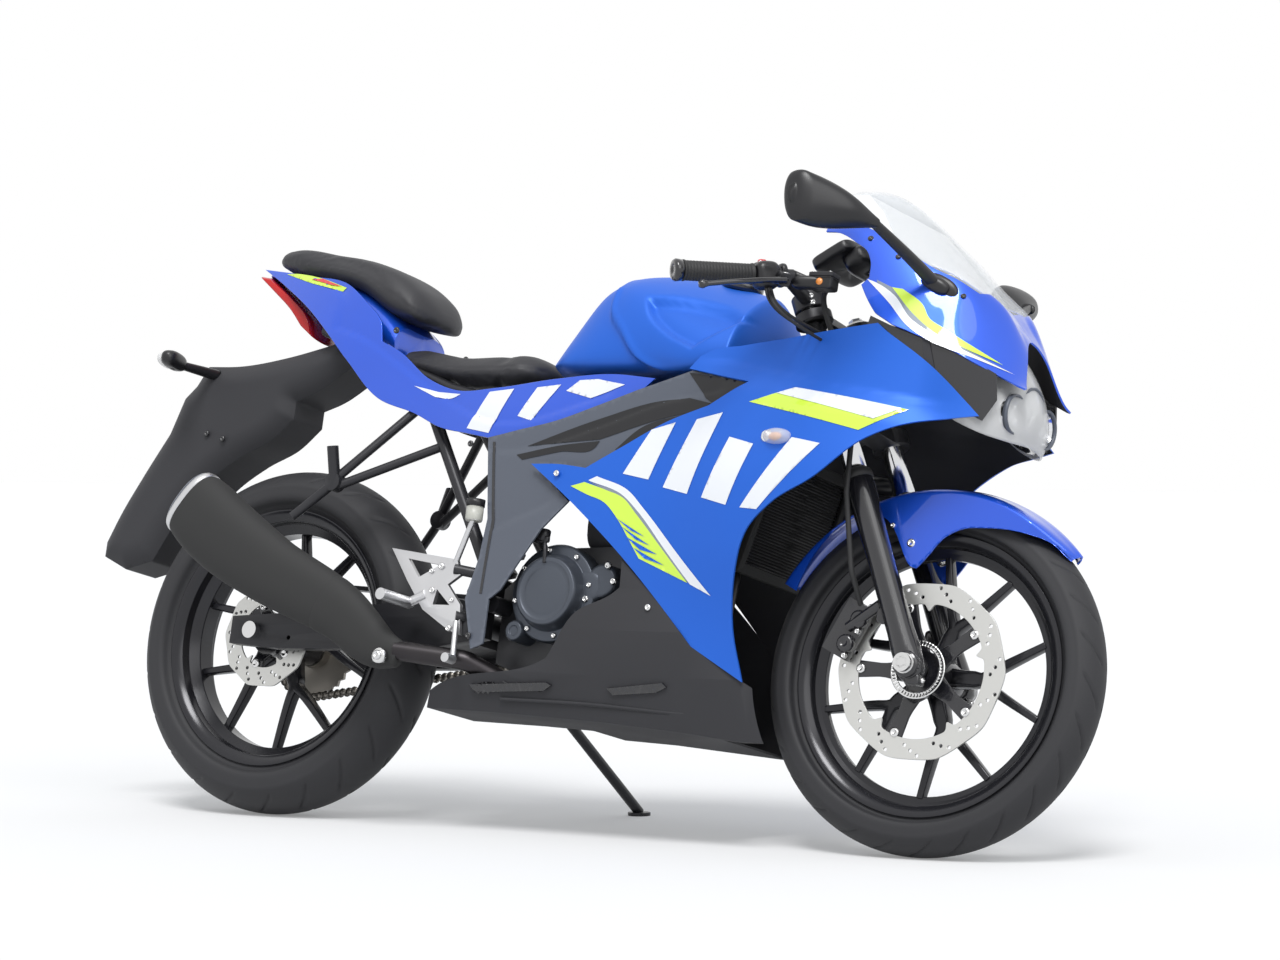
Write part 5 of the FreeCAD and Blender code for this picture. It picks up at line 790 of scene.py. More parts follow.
@dataclass
class Wheel:
    """One wheel: tyre, cast rim and disc, round an axle across the machine."""

    body: str
    centre: Array
    tyre_radius: float
    tyre_half: float
    crown: float
    rim_half: float
    hub_half: float
    disc_radius: float
    disc_offset: float
    disc_band: float
    flange: float = 0.229
    seat_drop: float = 0.013
    well_drop: float = 0.030
    spokes: int = 5
    fork_angle: float = math.radians(18)
    grooves: int = 26
    groove_depth: float = 0.0042
    tyre_steps: int = 552
    rim_steps: int = 160
    drill_groups: int = 15

    def build(self) -> None:
        """Make every piece of the wheel."""
        self._tyre()
        self._rim()
        self._disc()

    def _around(self, profile: Array, segments: int) -> Surface:
        """Revolve a closed (offset, radius) section about the wheel's axle."""
        angle = full_turn(segments)[:, None]
        x = np.cos(angle) * profile[None, :, 1]
        z = np.sin(angle) * profile[None, :, 1]
        y = np.broadcast_to(profile[None, :, 0], x.shape)
        return grid(np.stack([x, y, z], axis=2), wrap_u=True, wrap_v=True, flip=True)

    def _tyre(self) -> None:
        """Make the tyre.

        Its section is a crown arc, walls that bulge to the half width and inner
        faces; the tread's slanting grooves are pressed into the crown.
        """
        ring = self.tyre_radius - self.crown
        shoulder = math.asin(min(self.tyre_half / self.crown, 1) * 0.97)
        angle = np.linspace(-shoulder, shoulder, 45)
        crown = np.stack([self.crown * np.sin(angle), ring + self.crown * np.cos(angle)], axis=1)
        bead = self.rim_half - 0.006
        middle = (crown[0, 1] + self.flange) / 2
        wall = smooth_path(np.array([(-bead, self.flange - 0.004), (-bead - 0.003, self.flange + 0.006),
                                     (-self.tyre_half * 0.97, middle - 0.006), tuple(crown[0])]), 14)[:-1]
        inner = np.array([(bead - 0.008, self.flange - 0.004), (self.tyre_half - 0.010, middle),
                          (0, self.tyre_radius - 0.012), (0.010 - self.tyre_half, middle),
                          (0.008 - bead, self.flange - 0.004)])
        profile = np.concatenate([wall, crown, (wall * [-1, 1])[::-1], inner])
        surface = self._around(profile, self.tyre_steps)
        points = surface.points.reshape(self.tyre_steps, len(profile), 3)
        first, last = len(wall), len(wall) + len(crown)
        tread = points[:, first:last]
        turn = np.arctan2(tread[..., 2], tread[..., 0])
        across = tread[..., 1] / self.tyre_half
        side = np.sign(across + 1e-9)
        slant = 0.042 * np.abs(across) + 0.25 / self.grooves
        lane = self.grooves * (turn / (2 * math.pi) + slant * side)
        gap = np.abs(lane - np.round(lane)) * 2 * math.pi * self.tyre_radius / self.grooves
        reach = np.clip((np.abs(across) - 0.16) * 9, 0, 1) * np.clip((0.90 - np.abs(across)) * 9, 0, 1)
        depth = self.groove_depth * np.clip(1.25 - gap / self.groove_depth, 0, 1) * reach
        radius = np.hypot(tread[..., 0], tread[..., 2])
        shrink = 1 - depth / radius
        tread[..., 0] *= shrink
        tread[..., 2] *= shrink
        surface.points = points.reshape(-1, 3)
        SHOP.piece(self.body + "_tread", surface.moved(self.centre), TYRE_RUBBER,
                   [self.body.replace("wheel", "tyre")], body=self.body)

    def _rim(self) -> None:
        """Make the rim: a barrel with stepped flanges, five arms that fork, and the hub."""
        flange, half = self.flange, self.rim_half
        seat = flange - self.seat_drop
        well = flange - self.well_drop
        slope = half - 0.020
        outer = [(-half, flange - 0.001), (-half + 0.0012, flange + 0.0012), (-half + 0.005, flange),
                 (-half + 0.006, seat), (-slope, seat), (-slope * 0.55, well), (slope * 0.55, well),
                 (slope, seat), (half - 0.006, seat), (half - 0.005, flange),
                 (half - 0.0012, flange + 0.0012), (half, flange - 0.001)]
        inner = [(half - 0.001, flange - 0.006), (half - 0.004, flange - 0.012),
                 (half - 0.010, seat - 0.006), (slope - 0.004, seat - 0.008), (slope * 0.5, well - 0.007),
                 (-slope * 0.5, well - 0.007), (-slope + 0.004, seat - 0.008),
                 (-half + 0.010, seat - 0.006), (-half + 0.004, flange - 0.012),
                 (-half + 0.001, flange - 0.006)]
        parts = [self._around(np.array(outer + inner), self.rim_steps)]
        for arm in range(self.spokes):
            parts += self._arm(2 * math.pi * arm / self.spokes, well - 0.004)
        hub = [(-self.hub_half, 0.012), (-self.hub_half, 0.029), (-self.hub_half + 0.004, 0.033),
               (-0.018, 0.036), (0.018, 0.036), (self.hub_half - 0.004, 0.033), (self.hub_half, 0.029),
               (self.hub_half, 0.012)]
        parts.append(revolve(hub, (0, 0, 0), (0, 1, 0), 48, closed=True))
        rim = joined(parts)
        SHOP.piece(self.body + "_casting", rim.moved(self.centre), WHEEL_BLACK,
                   [self.body.replace("wheel", "rim")], body=self.body, bevel=0.0012)

    def _arm(self, angle: float, reach: float) -> list[Surface]:
        """Return one hub arm and the two slim spokes that it forks into."""
        section = superellipse(4, 20)
        parts = []
        for side in (-1, 1):
            end = angle + side * self.fork_angle
            path = np.array([(math.cos(angle) * r, 0, math.sin(angle) * r) for r in (0.020, 0.055, 0.080)]
                            + [(math.cos(a) * r, 0, math.sin(a) * r) for a, r in
                               ((angle + side * self.fork_angle * 0.45, 0.104), (end, reach))])
            path = smooth_path(path, 26)
            share = np.linspace(0, 1, 26)
            width = np.interp(share, [0, 0.28, 0.42, 1], [0.017, 0.013, 0.0082, 0.0062])
            depth = np.interp(share, [0, 0.3, 1], [0.020, 0.013, 0.0095])
            parts.append(along_path(path, (0, 1, 0), np.stack([depth, width], axis=1), section))
        return parts

    def _disc(self) -> None:
        """Make the wavy, drilled disc, its dark carrier and the bobbins between them."""
        turn = full_turn(360)
        edge = on_circle(turn, self.disc_radius - 0.0035 * (0.5 - 0.5 * np.cos(10 * turn)) ** 0.7)
        within = self.disc_radius - self.disc_band
        holes = [on_circle(turn, within - 0.012 * np.exp(-((np.sin((turn - 0.3) * 2.5) ** 2) / 0.02)))]
        for at in full_turn(self.drill_groups):
            for step in range(3):
                middle = on_circle(at + 2 * math.pi * step * 0.22 / self.drill_groups,
                                   within + self.disc_band * (0.30 + 0.22 * step))
                holes.append(on_circle(full_turn(12), 0.0032) + middle)
        points, tris = filled(edge, 0.006, holes)
        sheet = Surface(at_side(points, self.disc_offset - 0.002), tris=tris)
        name = self.body.replace("wheel", "disc")
        SHOP.piece(name + "_plate", sheet.moved(self.centre), DISC_STEEL, [name], body=self.body,
                   wall=0.004, bevel=0.0004)
        star = []
        face = math.copysign(self.hub_half, self.disc_offset)
        share = np.linspace(0, 1, 10)
        level = np.interp(share, [0, 0.6, 1], [face, self.disc_offset * 0.94, self.disc_offset * 0.96])
        width = np.interp(share, [0, 0.5, 1], [0.018, 0.011, 0.014])
        lugs = full_turn(5, math.pi / 5)
        for at in lugs:
            path = at_side(on_circle(np.full(10, at), np.linspace(0.026, within + 0.002, 10)), level)
            star.append(along_path(path, (0, 1, 0), np.stack([np.full(10, 0.0035), width], axis=1),
                                   superellipse(5, 20)))
        ring = revolve([(face * 0.98, 0.012), (face * 0.98, 0.034), (self.disc_offset * 0.98, 0.034),
                        (self.disc_offset * 0.98, 0.012)], (0, 0, 0), (0, 1, 0), 40, closed=True).flipped()
        star.append(ring)
        SHOP.piece(name + "_carrier", joined(star).moved(self.centre), GLOSS_BLACK, body=self.body,
                   bevel=0.0008)
        out = math.copysign(1.0, self.disc_offset)
        places = at_side(on_circle(lugs, within - 0.004), self.disc_offset + out * 0.002)
        studs = [bolt(place, (0, out, 0), 0.008, 0.003) for place in places]
        SHOP.piece(name + "_studs", joined(studs).moved(self.centre), BOLT_STEEL, body=self.body)


# Side cowls, frame covers and tail panels

COWL_X_SHARES = [0.42, 0.54, 0.66, 0.78, 0.88, 0.96, 1.03, 1.10]
COWL_Z_SHARES = [0.18, 0.30, 0.42, 0.52, 0.60, 0.68, 0.77]
COWL_Y_SHARES = [[0.71, 0.75, 0.80, 0.82, 0.81, 0.78, 0.73],
                 [0.70, 0.75, 0.84, 0.85, 0.83, 0.79, 0.74],
                 [0.68, 0.75, 0.84, 0.87, 0.84, 0.79, 0.75],
                 [0.63, 0.75, 0.93, 0.97, 0.90, 0.81, 0.77],
                 [0.57, 0.78, 0.97, 1.00, 0.94, 0.86, 0.82],
                 [0.52, 0.71, 0.87, 0.93, 0.87, 0.83, 0.80],
                 [0.47, 0.61, 0.75, 0.81, 0.73, 0.72, 0.71],
                 [0.42, 0.52, 0.61, 0.66, 0.59, 0.57, 0.56]]
COWL_RUN_SHARES = [[(0.500, 0.539), (0.541, 0.533)],
                   [(0.588, 0.563), (0.655, 0.605), (0.713, 0.629)],
                   [(0.763, 0.667)], [(0.672, 0.688)], [(0.685, 0.708)],
                   [(0.702, 0.718), (0.744, 0.726), (0.818, 0.736), (0.935, 0.754)],
                   [(0.948, 0.742)], [(1.006, 0.696), (1.059, 0.642), (1.077, 0.621)],
                   [(1.042, 0.614), (1.007, 0.607), (0.950, 0.578), (0.888, 0.514),
                    (0.835, 0.477), (0.801, 0.438), (0.784, 0.382), (0.777, 0.305),
                    (0.792, 0.223)],
                   [(0.718, 0.271)],
                   [(0.663, 0.339), (0.592, 0.418), (0.524, 0.482), (0.454, 0.540)]]
COVER_X_SHARES = [0.36, 0.50, 0.64, 0.78]
COVER_Z_SHARES = [0.24, 0.40, 0.55, 0.70]
COVER_Y_SHARES = [[0.75, 0.76, 0.74, 0.70],
                  [0.77, 0.79, 0.77, 0.72],
                  [0.79, 0.81, 0.78, 0.73],
                  [0.81, 0.82, 0.80, 0.76]]
COVER_RUN_SHARES = [[(0.413, 0.596), (0.475, 0.611), (0.535, 0.634), (0.593, 0.658)],
                    [(0.672, 0.687)], [(0.762, 0.668)],
                    [(0.713, 0.629), (0.655, 0.605), (0.588, 0.563)],
                    [(0.541, 0.533), (0.500, 0.539), (0.454, 0.540)],
                    [(0.514, 0.484)], [(0.477, 0.441)], [(0.425, 0.347)], [(0.408, 0.332)],
                    [(0.407, 0.264)], [(0.388, 0.255)], [(0.370, 0.332)], [(0.384, 0.395)],
                    [(0.389, 0.457)], [(0.370, 0.585)]]
TAIL_X_SHARES = [-0.15, -0.06, 0.05, 0.15, 0.26, 0.37, 0.49, 0.63]
TAIL_Z_SHARES = [0.51, 0.62, 0.69, 0.78, 0.87, 0.92]
TAIL_Y_SHARES = [[0.28, 0.26, 0.24, 0.19, 0.10, 0.06],
                 [0.40, 0.38, 0.36, 0.33, 0.24, 0.17],
                 [0.52, 0.50, 0.47, 0.44, 0.35, 0.28],
                 [0.56, 0.53, 0.50, 0.46, 0.39, 0.33],
                 [0.61, 0.58, 0.53, 0.49, 0.42, 0.38],
                 [0.67, 0.66, 0.57, 0.51, 0.45, 0.42],
                 [0.72, 0.70, 0.62, 0.54, 0.47, 0.43],
                 [0.74, 0.72, 0.70, 0.61, 0.52, 0.47]]
TAIL_RUN_SHARES = [[(-0.025, 0.877), (0.060, 0.855), (0.100, 0.823), (0.135, 0.784), (0.141, 0.755)],
                   [(0.175, 0.737), (0.234, 0.690), (0.288, 0.669), (0.355, 0.671),
                    (0.450, 0.683), (0.536, 0.688), (0.613, 0.678)],
                   [(0.593, 0.658), (0.535, 0.634), (0.475, 0.611), (0.413, 0.596), (0.368, 0.586)],
                   [(0.328, 0.595), (0.272, 0.608), (0.223, 0.632), (0.155, 0.658), (0.081, 0.730)],
                   [(0.046, 0.768), (0.000, 0.812), (-0.062, 0.858), (-0.126, 0.899)]]
FILM = 0.0009
TAIL_CREASES = [[(0.045, 0.779), (0.098, 0.762), (0.175, 0.714), (0.265, 0.655), (0.368, 0.610),
                 (0.560, 0.655)], [(-0.053, 0.880), (0.000, 0.862), (0.048, 0.838), (0.070, 0.820)]]
COVER_CREASES = [[(0.372, 0.560), (0.440, 0.563), (0.545, 0.597), (0.630, 0.632), (0.735, 0.654)],
                 [(0.385, 0.430), (0.430, 0.452), (0.470, 0.470), (0.500, 0.487)]]
COVER_FILMS = [
    ("slashes", COVER_BLACK, 1, [
        [[(0.435, 0.571)], [(0.543, 0.613), (0.630, 0.640), (0.675, 0.644)], [(0.725, 0.631)],
         [(0.635, 0.611), (0.548, 0.580)]],
        [[(0.421, 0.557)], [(0.488, 0.571), (0.549, 0.578)],
         [(0.545, 0.570), (0.489, 0.561), (0.431, 0.549)]],
        [[(0.574, 0.564)], [(0.607, 0.597), (0.679, 0.621)], [(0.706, 0.624)],
         [(0.655, 0.605), (0.590, 0.566)]]]),
    ("corner", COVER_BLACK, 1, [
        [[(0.668, 0.684)], [(0.752, 0.668)], [(0.756, 0.662)], [(0.740, 0.646)], [(0.714, 0.633)],
         [(0.700, 0.643)]]]),
    ("gap", GLOSS_BLACK, 1, [
        [[(0.3790, 0.578)], [(0.3830, 0.578)], [(0.4010, 0.455)], [(0.3965, 0.340)], [(0.3925, 0.340)],
         [(0.3965, 0.455)]]])]
TAIL_FILMS = [
    ("neon", NEON_FILM, 1, [
        [[(-0.072, 0.884)], [(-0.054, 0.883), (0.000, 0.871), (0.058, 0.849)], [(0.052, 0.843)],
         [(-0.013, 0.862)]]]),
    ("red", RED_FILM, 3, [[[(-0.017, 0.870)], [(0.006, 0.869)], [(0.048, 0.852)], [(0.028, 0.856)]]]),
    ("white", WHITE_FILM, 1, [
        [[(0.213, 0.678)], [(0.256, 0.667)], [(0.296, 0.662)], [(0.284, 0.656), (0.254, 0.658)]],
        [[(0.322, 0.604)], [(0.362, 0.595)], [(0.386, 0.668)], [(0.346, 0.664)]],
        [[(0.404, 0.622)], [(0.428, 0.614)], [(0.462, 0.673)], [(0.424, 0.669)]],
        [[(0.473, 0.662)], [(0.491, 0.679)], [(0.520, 0.680)], [(0.567, 0.669)], [(0.515, 0.649)]]])]
COWL_FILMS = [
    ("white", WHITE_FILM, 1, [
        [[(0.600, 0.524)], [(0.640, 0.515)], [(0.668, 0.603)], [(0.633, 0.592)]],
        [[(0.664, 0.503)], [(0.704, 0.492)], [(0.738, 0.617)], [(0.700, 0.607)]],
        [[(0.728, 0.486)], [(0.768, 0.474)], [(0.796, 0.566)], [(0.757, 0.578)]],
        [[(0.790, 0.470)], [(0.816, 0.467)], [(0.893, 0.566)], [(0.852, 0.575)]],
        [[(0.549, 0.514)], [(0.561, 0.520)],
         [(0.612, 0.498), (0.637, 0.472), (0.693, 0.407), (0.747, 0.344)],
         [(0.716, 0.360)], [(0.672, 0.414), (0.628, 0.468), (0.604, 0.491), (0.550, 0.513)]]]),
    ("grey", GREY_FILM, 1, [
        [[(0.549, 0.512)], [(0.604, 0.491), (0.628, 0.468), (0.672, 0.414), (0.716, 0.360)],
         [(0.705, 0.370)], [(0.670, 0.412), (0.627, 0.463), (0.605, 0.487), (0.575, 0.500),
          (0.550, 0.5115)]]]),
    ("neon", NEON_FILM, 1, [
        [[(0.522, 0.505)], [(0.543, 0.511)],
         [(0.575, 0.500), (0.605, 0.487), (0.627, 0.463), (0.670, 0.412)],
         [(0.712, 0.362)], [(0.636, 0.397)],
         [(0.619, 0.425), (0.599, 0.456), (0.577, 0.480), (0.549, 0.492)]],
        [[(0.774, 0.633)], [(0.837, 0.655)], [(0.993, 0.624)], [(0.939, 0.588)]]]),
    ("blue", BODY_BLUE, 2, [
        [[(0.599, 0.456)], [(0.643, 0.429)], [(0.622, 0.438)]],
        [[(0.607, 0.444)], [(0.652, 0.416)], [(0.630, 0.425)]],
        [[(0.615, 0.429)], [(0.664, 0.403)], [(0.637, 0.410)]],
        [[(0.627, 0.413)], [(0.676, 0.387)], [(0.645, 0.397)]]]),
    ("wedge", WHITE_FILM, 2, [
        [[(0.812, 0.646)], [(0.837, 0.655)], [(0.985, 0.625)], [(0.955, 0.606)]]])]


@dataclass
class SidePanels:
    """The trimmed panels down each side, with their coloured films."""

    wall: float = 0.0035
    edge: float = 0.0014

    def build(self) -> None:
        """Make the side cowls, frame covers and tail sides."""
        cowl_depth = self._cowl_depth()
        cowl = side_sheet(outline(COWL_RUN_SHARES), cowl_depth)
        # The panels' inner sides are matte black: painted shade inside the shells
        SHOP.piece("cowl_right", cowl, BODY_BLUE, ["side_cowl_right"], wall=self.wall, bevel=self.edge,
                   shade_lining=MATTE_BLACK)
        SHOP.piece("cowl_left", cowl.mirrored(), BODY_BLUE, ["side_cowl_left"], wall=self.wall,
                   bevel=self.edge, shade_lining=MATTE_BLACK)
        self._films("cowl_film_", COWL_FILMS, cowl_depth)
        cover_depth = self._pressed(table_depth(COVER_X_SHARES, COVER_Z_SHARES, COVER_Y_SHARES),
                                    COVER_CREASES, 0.0030)
        cover = side_sheet(outline(COVER_RUN_SHARES), cover_depth)
        SHOP.piece("covers", both(cover), COVER_GREY, ["frame_covers"], wall=self.wall, bevel=self.edge,
                   shade_lining=MATTE_BLACK)
        tail_depth = self._pressed(table_depth(TAIL_X_SHARES, TAIL_Z_SHARES, TAIL_Y_SHARES), TAIL_CREASES,
                                   0.0035)
        tail = side_sheet(outline(TAIL_RUN_SHARES), tail_depth)
        SHOP.piece("tail_panels", both(tail), SHADED_BLUE, ["tail_sides"], wall=self.wall, bevel=self.edge,
                   shade_lining=MATTE_BLACK)
        self._films("cover_trim_", COVER_FILMS, cover_depth)
        self._films("tail_film_", TAIL_FILMS, tail_depth)

    def _cowl_depth(self) -> Depth:
        """Return the cowl's surface: the table, set in above a crease, with a shelf below it."""
        table = table_depth(COWL_X_SHARES, COWL_Z_SHARES, COWL_Y_SHARES)

        def depth(x: Array, z: Array) -> Array:
            """Set the table in above the crease and slope it out again over the shelf."""
            line = np.interp(x / WHEELBASE, [0.66, 0.728, 0.809, 0.899, 0.976, 1.030],
                             [0.700, 0.699, 0.681, 0.656, 0.643, 0.636]) * HEIGHT
            fade = step_up((x / WHEELBASE - 0.66) * 12) * step_up((1.06 - x / WHEELBASE) * 16)
            above = step_up((z - line + 0.003) / 0.006)
            shelf = step_up((line - z) / 0.050)
            return table(x, z) - fade * (0.003 * above + 0.010 * (1 - shelf))

        return depth

    def _pressed(self, table: Depth, creases: Sequence[Shares], deep: float) -> Depth:
        """Return a surface that steps in by a depth above each crease line and eases back."""

        def depth(x: Array, z: Array) -> Array:
            """Take each line's step, faded at the line's ends, off the table."""
            found = table(x, z)
            for crease in creases:
                line = smooth_path(flat(crease), 30)
                height = np.interp(x, line[:, 0], line[:, 1])
                fade = step_up((x - line[0, 0]) / 0.03) * step_up((line[-1, 0] - x) / 0.03)
                above = step_up((z - height) / 0.005) * np.exp(-np.clip(z - height, 0, 1) / 0.030)
                found = found - deep * fade * above
            return found

        return depth

    def _films(self, prefix: str, films: Sequence[tuple], depth: Depth) -> None:
        """Lay films or thin trim on both sides, over a surface."""
        for name, finish, proud, outlines in films:
            sheets = [side_sheet(outline(runs, 0.004), depth, 0.005, FILM * proud) for runs in outlines]
            SHOP.piece(prefix + name, both(*sheets), finish)


# Smooth bodies and lines on them


def closed_curve(points: Array, count: int) -> Array:
    """Return a smooth closed curve through points.

    Its knots go with the square roots of the chords, and each two points have as many
    samples between them, so that curves through like points can be skinned.
    """
    points = np.asarray(points, float)
    number = len(points)
    around = np.concatenate([points, points, points, points[:1]])
    chord = np.sqrt(np.maximum(np.linalg.norm(np.diff(around, axis=0), axis=1), 1e-9))
    knots = np.concatenate([[0], np.cumsum(chord)])
    place = number + np.arange(count) * number / count
    whole = np.floor(place).astype(int)
    at = knots[whole] + (place - whole) * (knots[whole + 1] - knots[whole])
    return cubic(knots, around, at)


def softened(corners: Array, cut: float = 0.2) -> Array:
    """Return a polygon with two points near each corner instead of the corner itself."""
    corners = np.asarray(corners, float)
    after = np.roll(corners, -1, axis=0)
    before = np.roll(corners, 1, axis=0)
    pair = [corners * (1 - cut) + before * cut, corners * (1 - cut) + after * cut]
    return np.stack(pair, axis=1).reshape(-1, corners.shape[1])


Stations = Sequence[tuple[float, Shares]]


def hull(stations: Stations, rows: int, around: int, ends: tuple[float, float] = (0.0, 0.0),
         scale: float = 1.0) -> Array:
    """Return the rings of a body that is the same on both sides.

    Each ring is a closed curve through a half outline and its mirror image, and the
    rings change along x by a cubic. Near an end a ring shrinks to its middle as a
    quarter circle of the end's radius does.

    Args:
        stations: pairs of an x share and a half outline of (y, z) shares, from the
            bottom's middle out and round to the top's.
        rows: how many rings.
        around: how many points a ring.
        ends: the rounding of the rear and front ends, in metres.
        scale: how much each ring is shrunk about its middle.

    Returns:
        A (rows, around, 3) array.
    """
    xs = np.array([share for share, _ in stations]) * WHEELBASE
    rings = []
    for _, half in stations:
        right = np.array(half, float) * [-HALF_WIDTH, HEIGHT]
        rings.append(closed_curve(np.concatenate([right, (right * [-1, 1])[-2:0:-1]]), around))
    at = xs[0] + (xs[-1] - xs[0]) * (0.5 - 0.5 * np.cos(np.linspace(0, math.pi, rows)))
    found = cubic(xs, np.array(rings), at)
    points = np.concatenate([np.broadcast_to(at[:, None, None], (rows, around, 1)), found], axis=2)
    size = np.full(rows, scale)
    for distance, radius in ((at - xs[0], ends[0]), (xs[-1] - at, ends[1])):
        if radius:
            size = size * np.sqrt(1 - (1 - np.clip(distance / radius, 0.002, 1)) ** 2)
    middle = points.mean(1, keepdims=True)
    return middle + (points - middle) * size[:, None, None]


def ring_normals(points: Array) -> Array:
    """Return the outward unit normals of a body's rings, by central differences."""
    normal = np.cross(np.gradient(points, axis=0), np.roll(points, -1, 1) - np.roll(points, 1, 1))
    return normal / np.maximum(np.linalg.norm(normal, axis=2, keepdims=True), 1e-12)


def line_distance(points: Array, line: Array) -> Array:
    """Return each flat point's distance to the nearest part of an open line."""
    way = np.diff(line, axis=0)
    length = np.maximum((way ** 2).sum(1), 1e-12)
    away = points[:, None] - line[:-1]
    share = np.clip((away * way).sum(2) / length, 0, 1)
    return np.sqrt(((away - share[..., None] * way) ** 2).sum(2)).min(1)


def step_up(value: Array) -> Array:
    """Return 0 below 0, 1 above 1 and the smooth cubic step between."""
    value = np.clip(value, 0, 1)
    return value * value * (3 - 2 * value)


def block(centre: Point, halves: Point, power: float = 5.0, turn: Optional[Array] = None,
          rows: int = 20) -> Surface:
    """Return a rounded block.

    It is a superellipsoid: the three coordinates are signed powers of the cosines and
    sines of a latitude and a longitude.

    Args:
        centre: its middle.
        halves: its half sizes.
        power: 2 for an ellipsoid, more for a squarer block.
        turn: a 3 by 3 matrix that turns it.
        rows: steps from pole to pole.

    Returns:
        The closed surface.
    """
    flat_angle = np.linspace(-math.pi / 2, math.pi / 2, rows)[:, None]
    long_angle = full_turn(rows * 2)[None, :]

    def signed(value: Array) -> Array:
        """Raise a cosine or sine to the block's power and keep its sign."""
        return np.sign(value) * np.abs(value) ** (2 / power)

    x = signed(np.cos(flat_angle)) * signed(np.cos(long_angle))
    y = signed(np.cos(flat_angle)) * signed(np.sin(long_angle))
    z = signed(np.sin(flat_angle)) * np.ones_like(long_angle)
    points = np.stack([x, y, z], axis=2) * np.asarray(halves, float)
    if turn is not None:
        points = points @ turn.T
    return closed_loft(points + np.asarray(centre, float), flip=True)


def frame_along(way: Array, up: Point = (0.0, 0.0, 1.0)) -> Array:
    """Return the turn whose columns are a direction, the one across it and the one above."""
    first = np.asarray(way, float) / np.linalg.norm(way)
    second = np.cross(np.asarray(up, float), first)
    second /= np.linalg.norm(second)
    return np.stack([first, second, np.cross(first, second)], axis=1)


# The fuel tank

TANK_STATIONS = [
    (0.000, [(0, 0.705), (0.26, 0.706), (0.34, 0.714), (0.24, 0.728), (0, 0.733)]),
    (0.101, [(0, 0.695), (0.40, 0.697), (0.50, 0.714), (0.30, 0.775), (0, 0.792)]),
    (0.223, [(0, 0.690), (0.46, 0.692), (0.57, 0.716), (0.36, 0.825), (0, 0.851)]),
    (0.374, [(0, 0.688), (0.50, 0.690), (0.61, 0.716), (0.47, 0.830), (0, 0.866)]),
    (0.579, [(0, 0.688), (0.54, 0.690), (0.65, 0.716), (0.57, 0.802), (0, 0.866)]),
    (0.783, [(0, 0.690), (0.58, 0.692), (0.69, 0.708), (0.60, 0.775), (0, 0.850)]),
    (1.000, [(0, 0.698), (0.56, 0.700), (0.66, 0.712), (0.53, 0.768), (0, 0.828)])]
TANK_RECESS_SHARES = [[(0.565, 0.814)], [(0.582, 0.779), (0.615, 0.747), (0.662, 0.721)],
                      [(0.722, 0.777)], [(0.690, 0.797), (0.647, 0.809), (0.604, 0.815), (0.566, 0.815)]]
TANK_RIDGE_SHARES = [(0.514, 0.828), (0.518, 0.794), (0.546, 0.753), (0.576, 0.713), (0.609, 0.696),
                     (0.665, 0.694)]


@dataclass
class Tank:
    """The pressed fuel tank with its knee recess, ridge and filler."""

    rear: float = 0.406
    front: float = 0.724
    recess_depth: float = 0.013
    recess_slope: float = 0.014
    ridge_height: float = 0.0035
    rear_press: float = 0.007
    filler: tuple[float, float] = (0.655, 0.850)
    filler_radius: float = 0.036
    rows: int = 200
    around: int = 144

    def build(self) -> None:
        """Make the tank's skin and its filler cap."""
        stations = [(self.rear + (self.front - self.rear) * along, half) for along, half in TANK_STATIONS]
        points = hull(stations, self.rows, self.around, (0.012, 0.018))
        normals = ring_normals(points)
        side_view = points[..., [0, 2]].reshape(-1, 2)
        recess = outline(TANK_RECESS_SHARES)
        within = np.where(inside(side_view, recess), edge_distance(side_view, recess), 0)
        press = self.recess_depth * step_up(within / self.recess_slope)
        ridge = smooth_path(flat(TANK_RIDGE_SHARES), 40)
        along_ridge = line_distance(side_view, ridge)
        bead = self.ridge_height * np.exp(-(along_ridge / 0.008) ** 2)
        ridge_x = np.interp(side_view[:, 1], ridge[::-1, 1], ridge[::-1, 0])
        behind = step_up((ridge_x - side_view[:, 0]) / 0.008)
        flank = step_up((np.abs(points[..., 1].ravel()) - 0.015) / 0.05)
        move = (bead - press - self.rear_press * behind) * flank
        points = points + normals * move.reshape(points.shape[:2])[..., None]
        SHOP.piece("tank_skin", closed_loft(points), BODY_BLUE, ["fuel_tank"])
        self._filler()

    def _filler(self) -> None:
        """Make the filler cap: a ring with screws round a keyed lid."""
        place = np.array([self.filler[0] * WHEELBASE, 0, self.filler[1] * HEIGHT])
        axis = np.array([0.16, 0.0, 1.0])
        axis /= np.linalg.norm(axis)
        radius = self.filler_radius
        ring = revolve([(-0.006, 0), (-0.006, radius), (0.006, radius), (0.0085, radius * 0.94),
                        (0.0085, radius * 0.74), (0.006, radius * 0.70), (0.0075, radius * 0.60),
                        (0.0095, radius * 0.30), (0.0095, 0)], place, axis, 64)
        SHOP.piece("filler_ring", ring, GLOSS_BLACK)
        turn = frame_along((1, 0, 0), axis)
        places = on_circle(full_turn(6, 0.3), radius * 0.84)
        screws = [bolt(place + turn @ [x, y, 0.0085], axis, 0.0026, 0.0012) for x, y in places]
        SHOP.piece("filler_screws", joined(screws), BOLT_STEEL)
        flap = block(place + axis * 0.010, (0.013, 0.006, 0.0025), 4, turn, 14)
        SHOP.piece("filler_key_flap", flap, BOLT_STEEL)


# The nose: front cowl, windscreen, headlight and mirrors

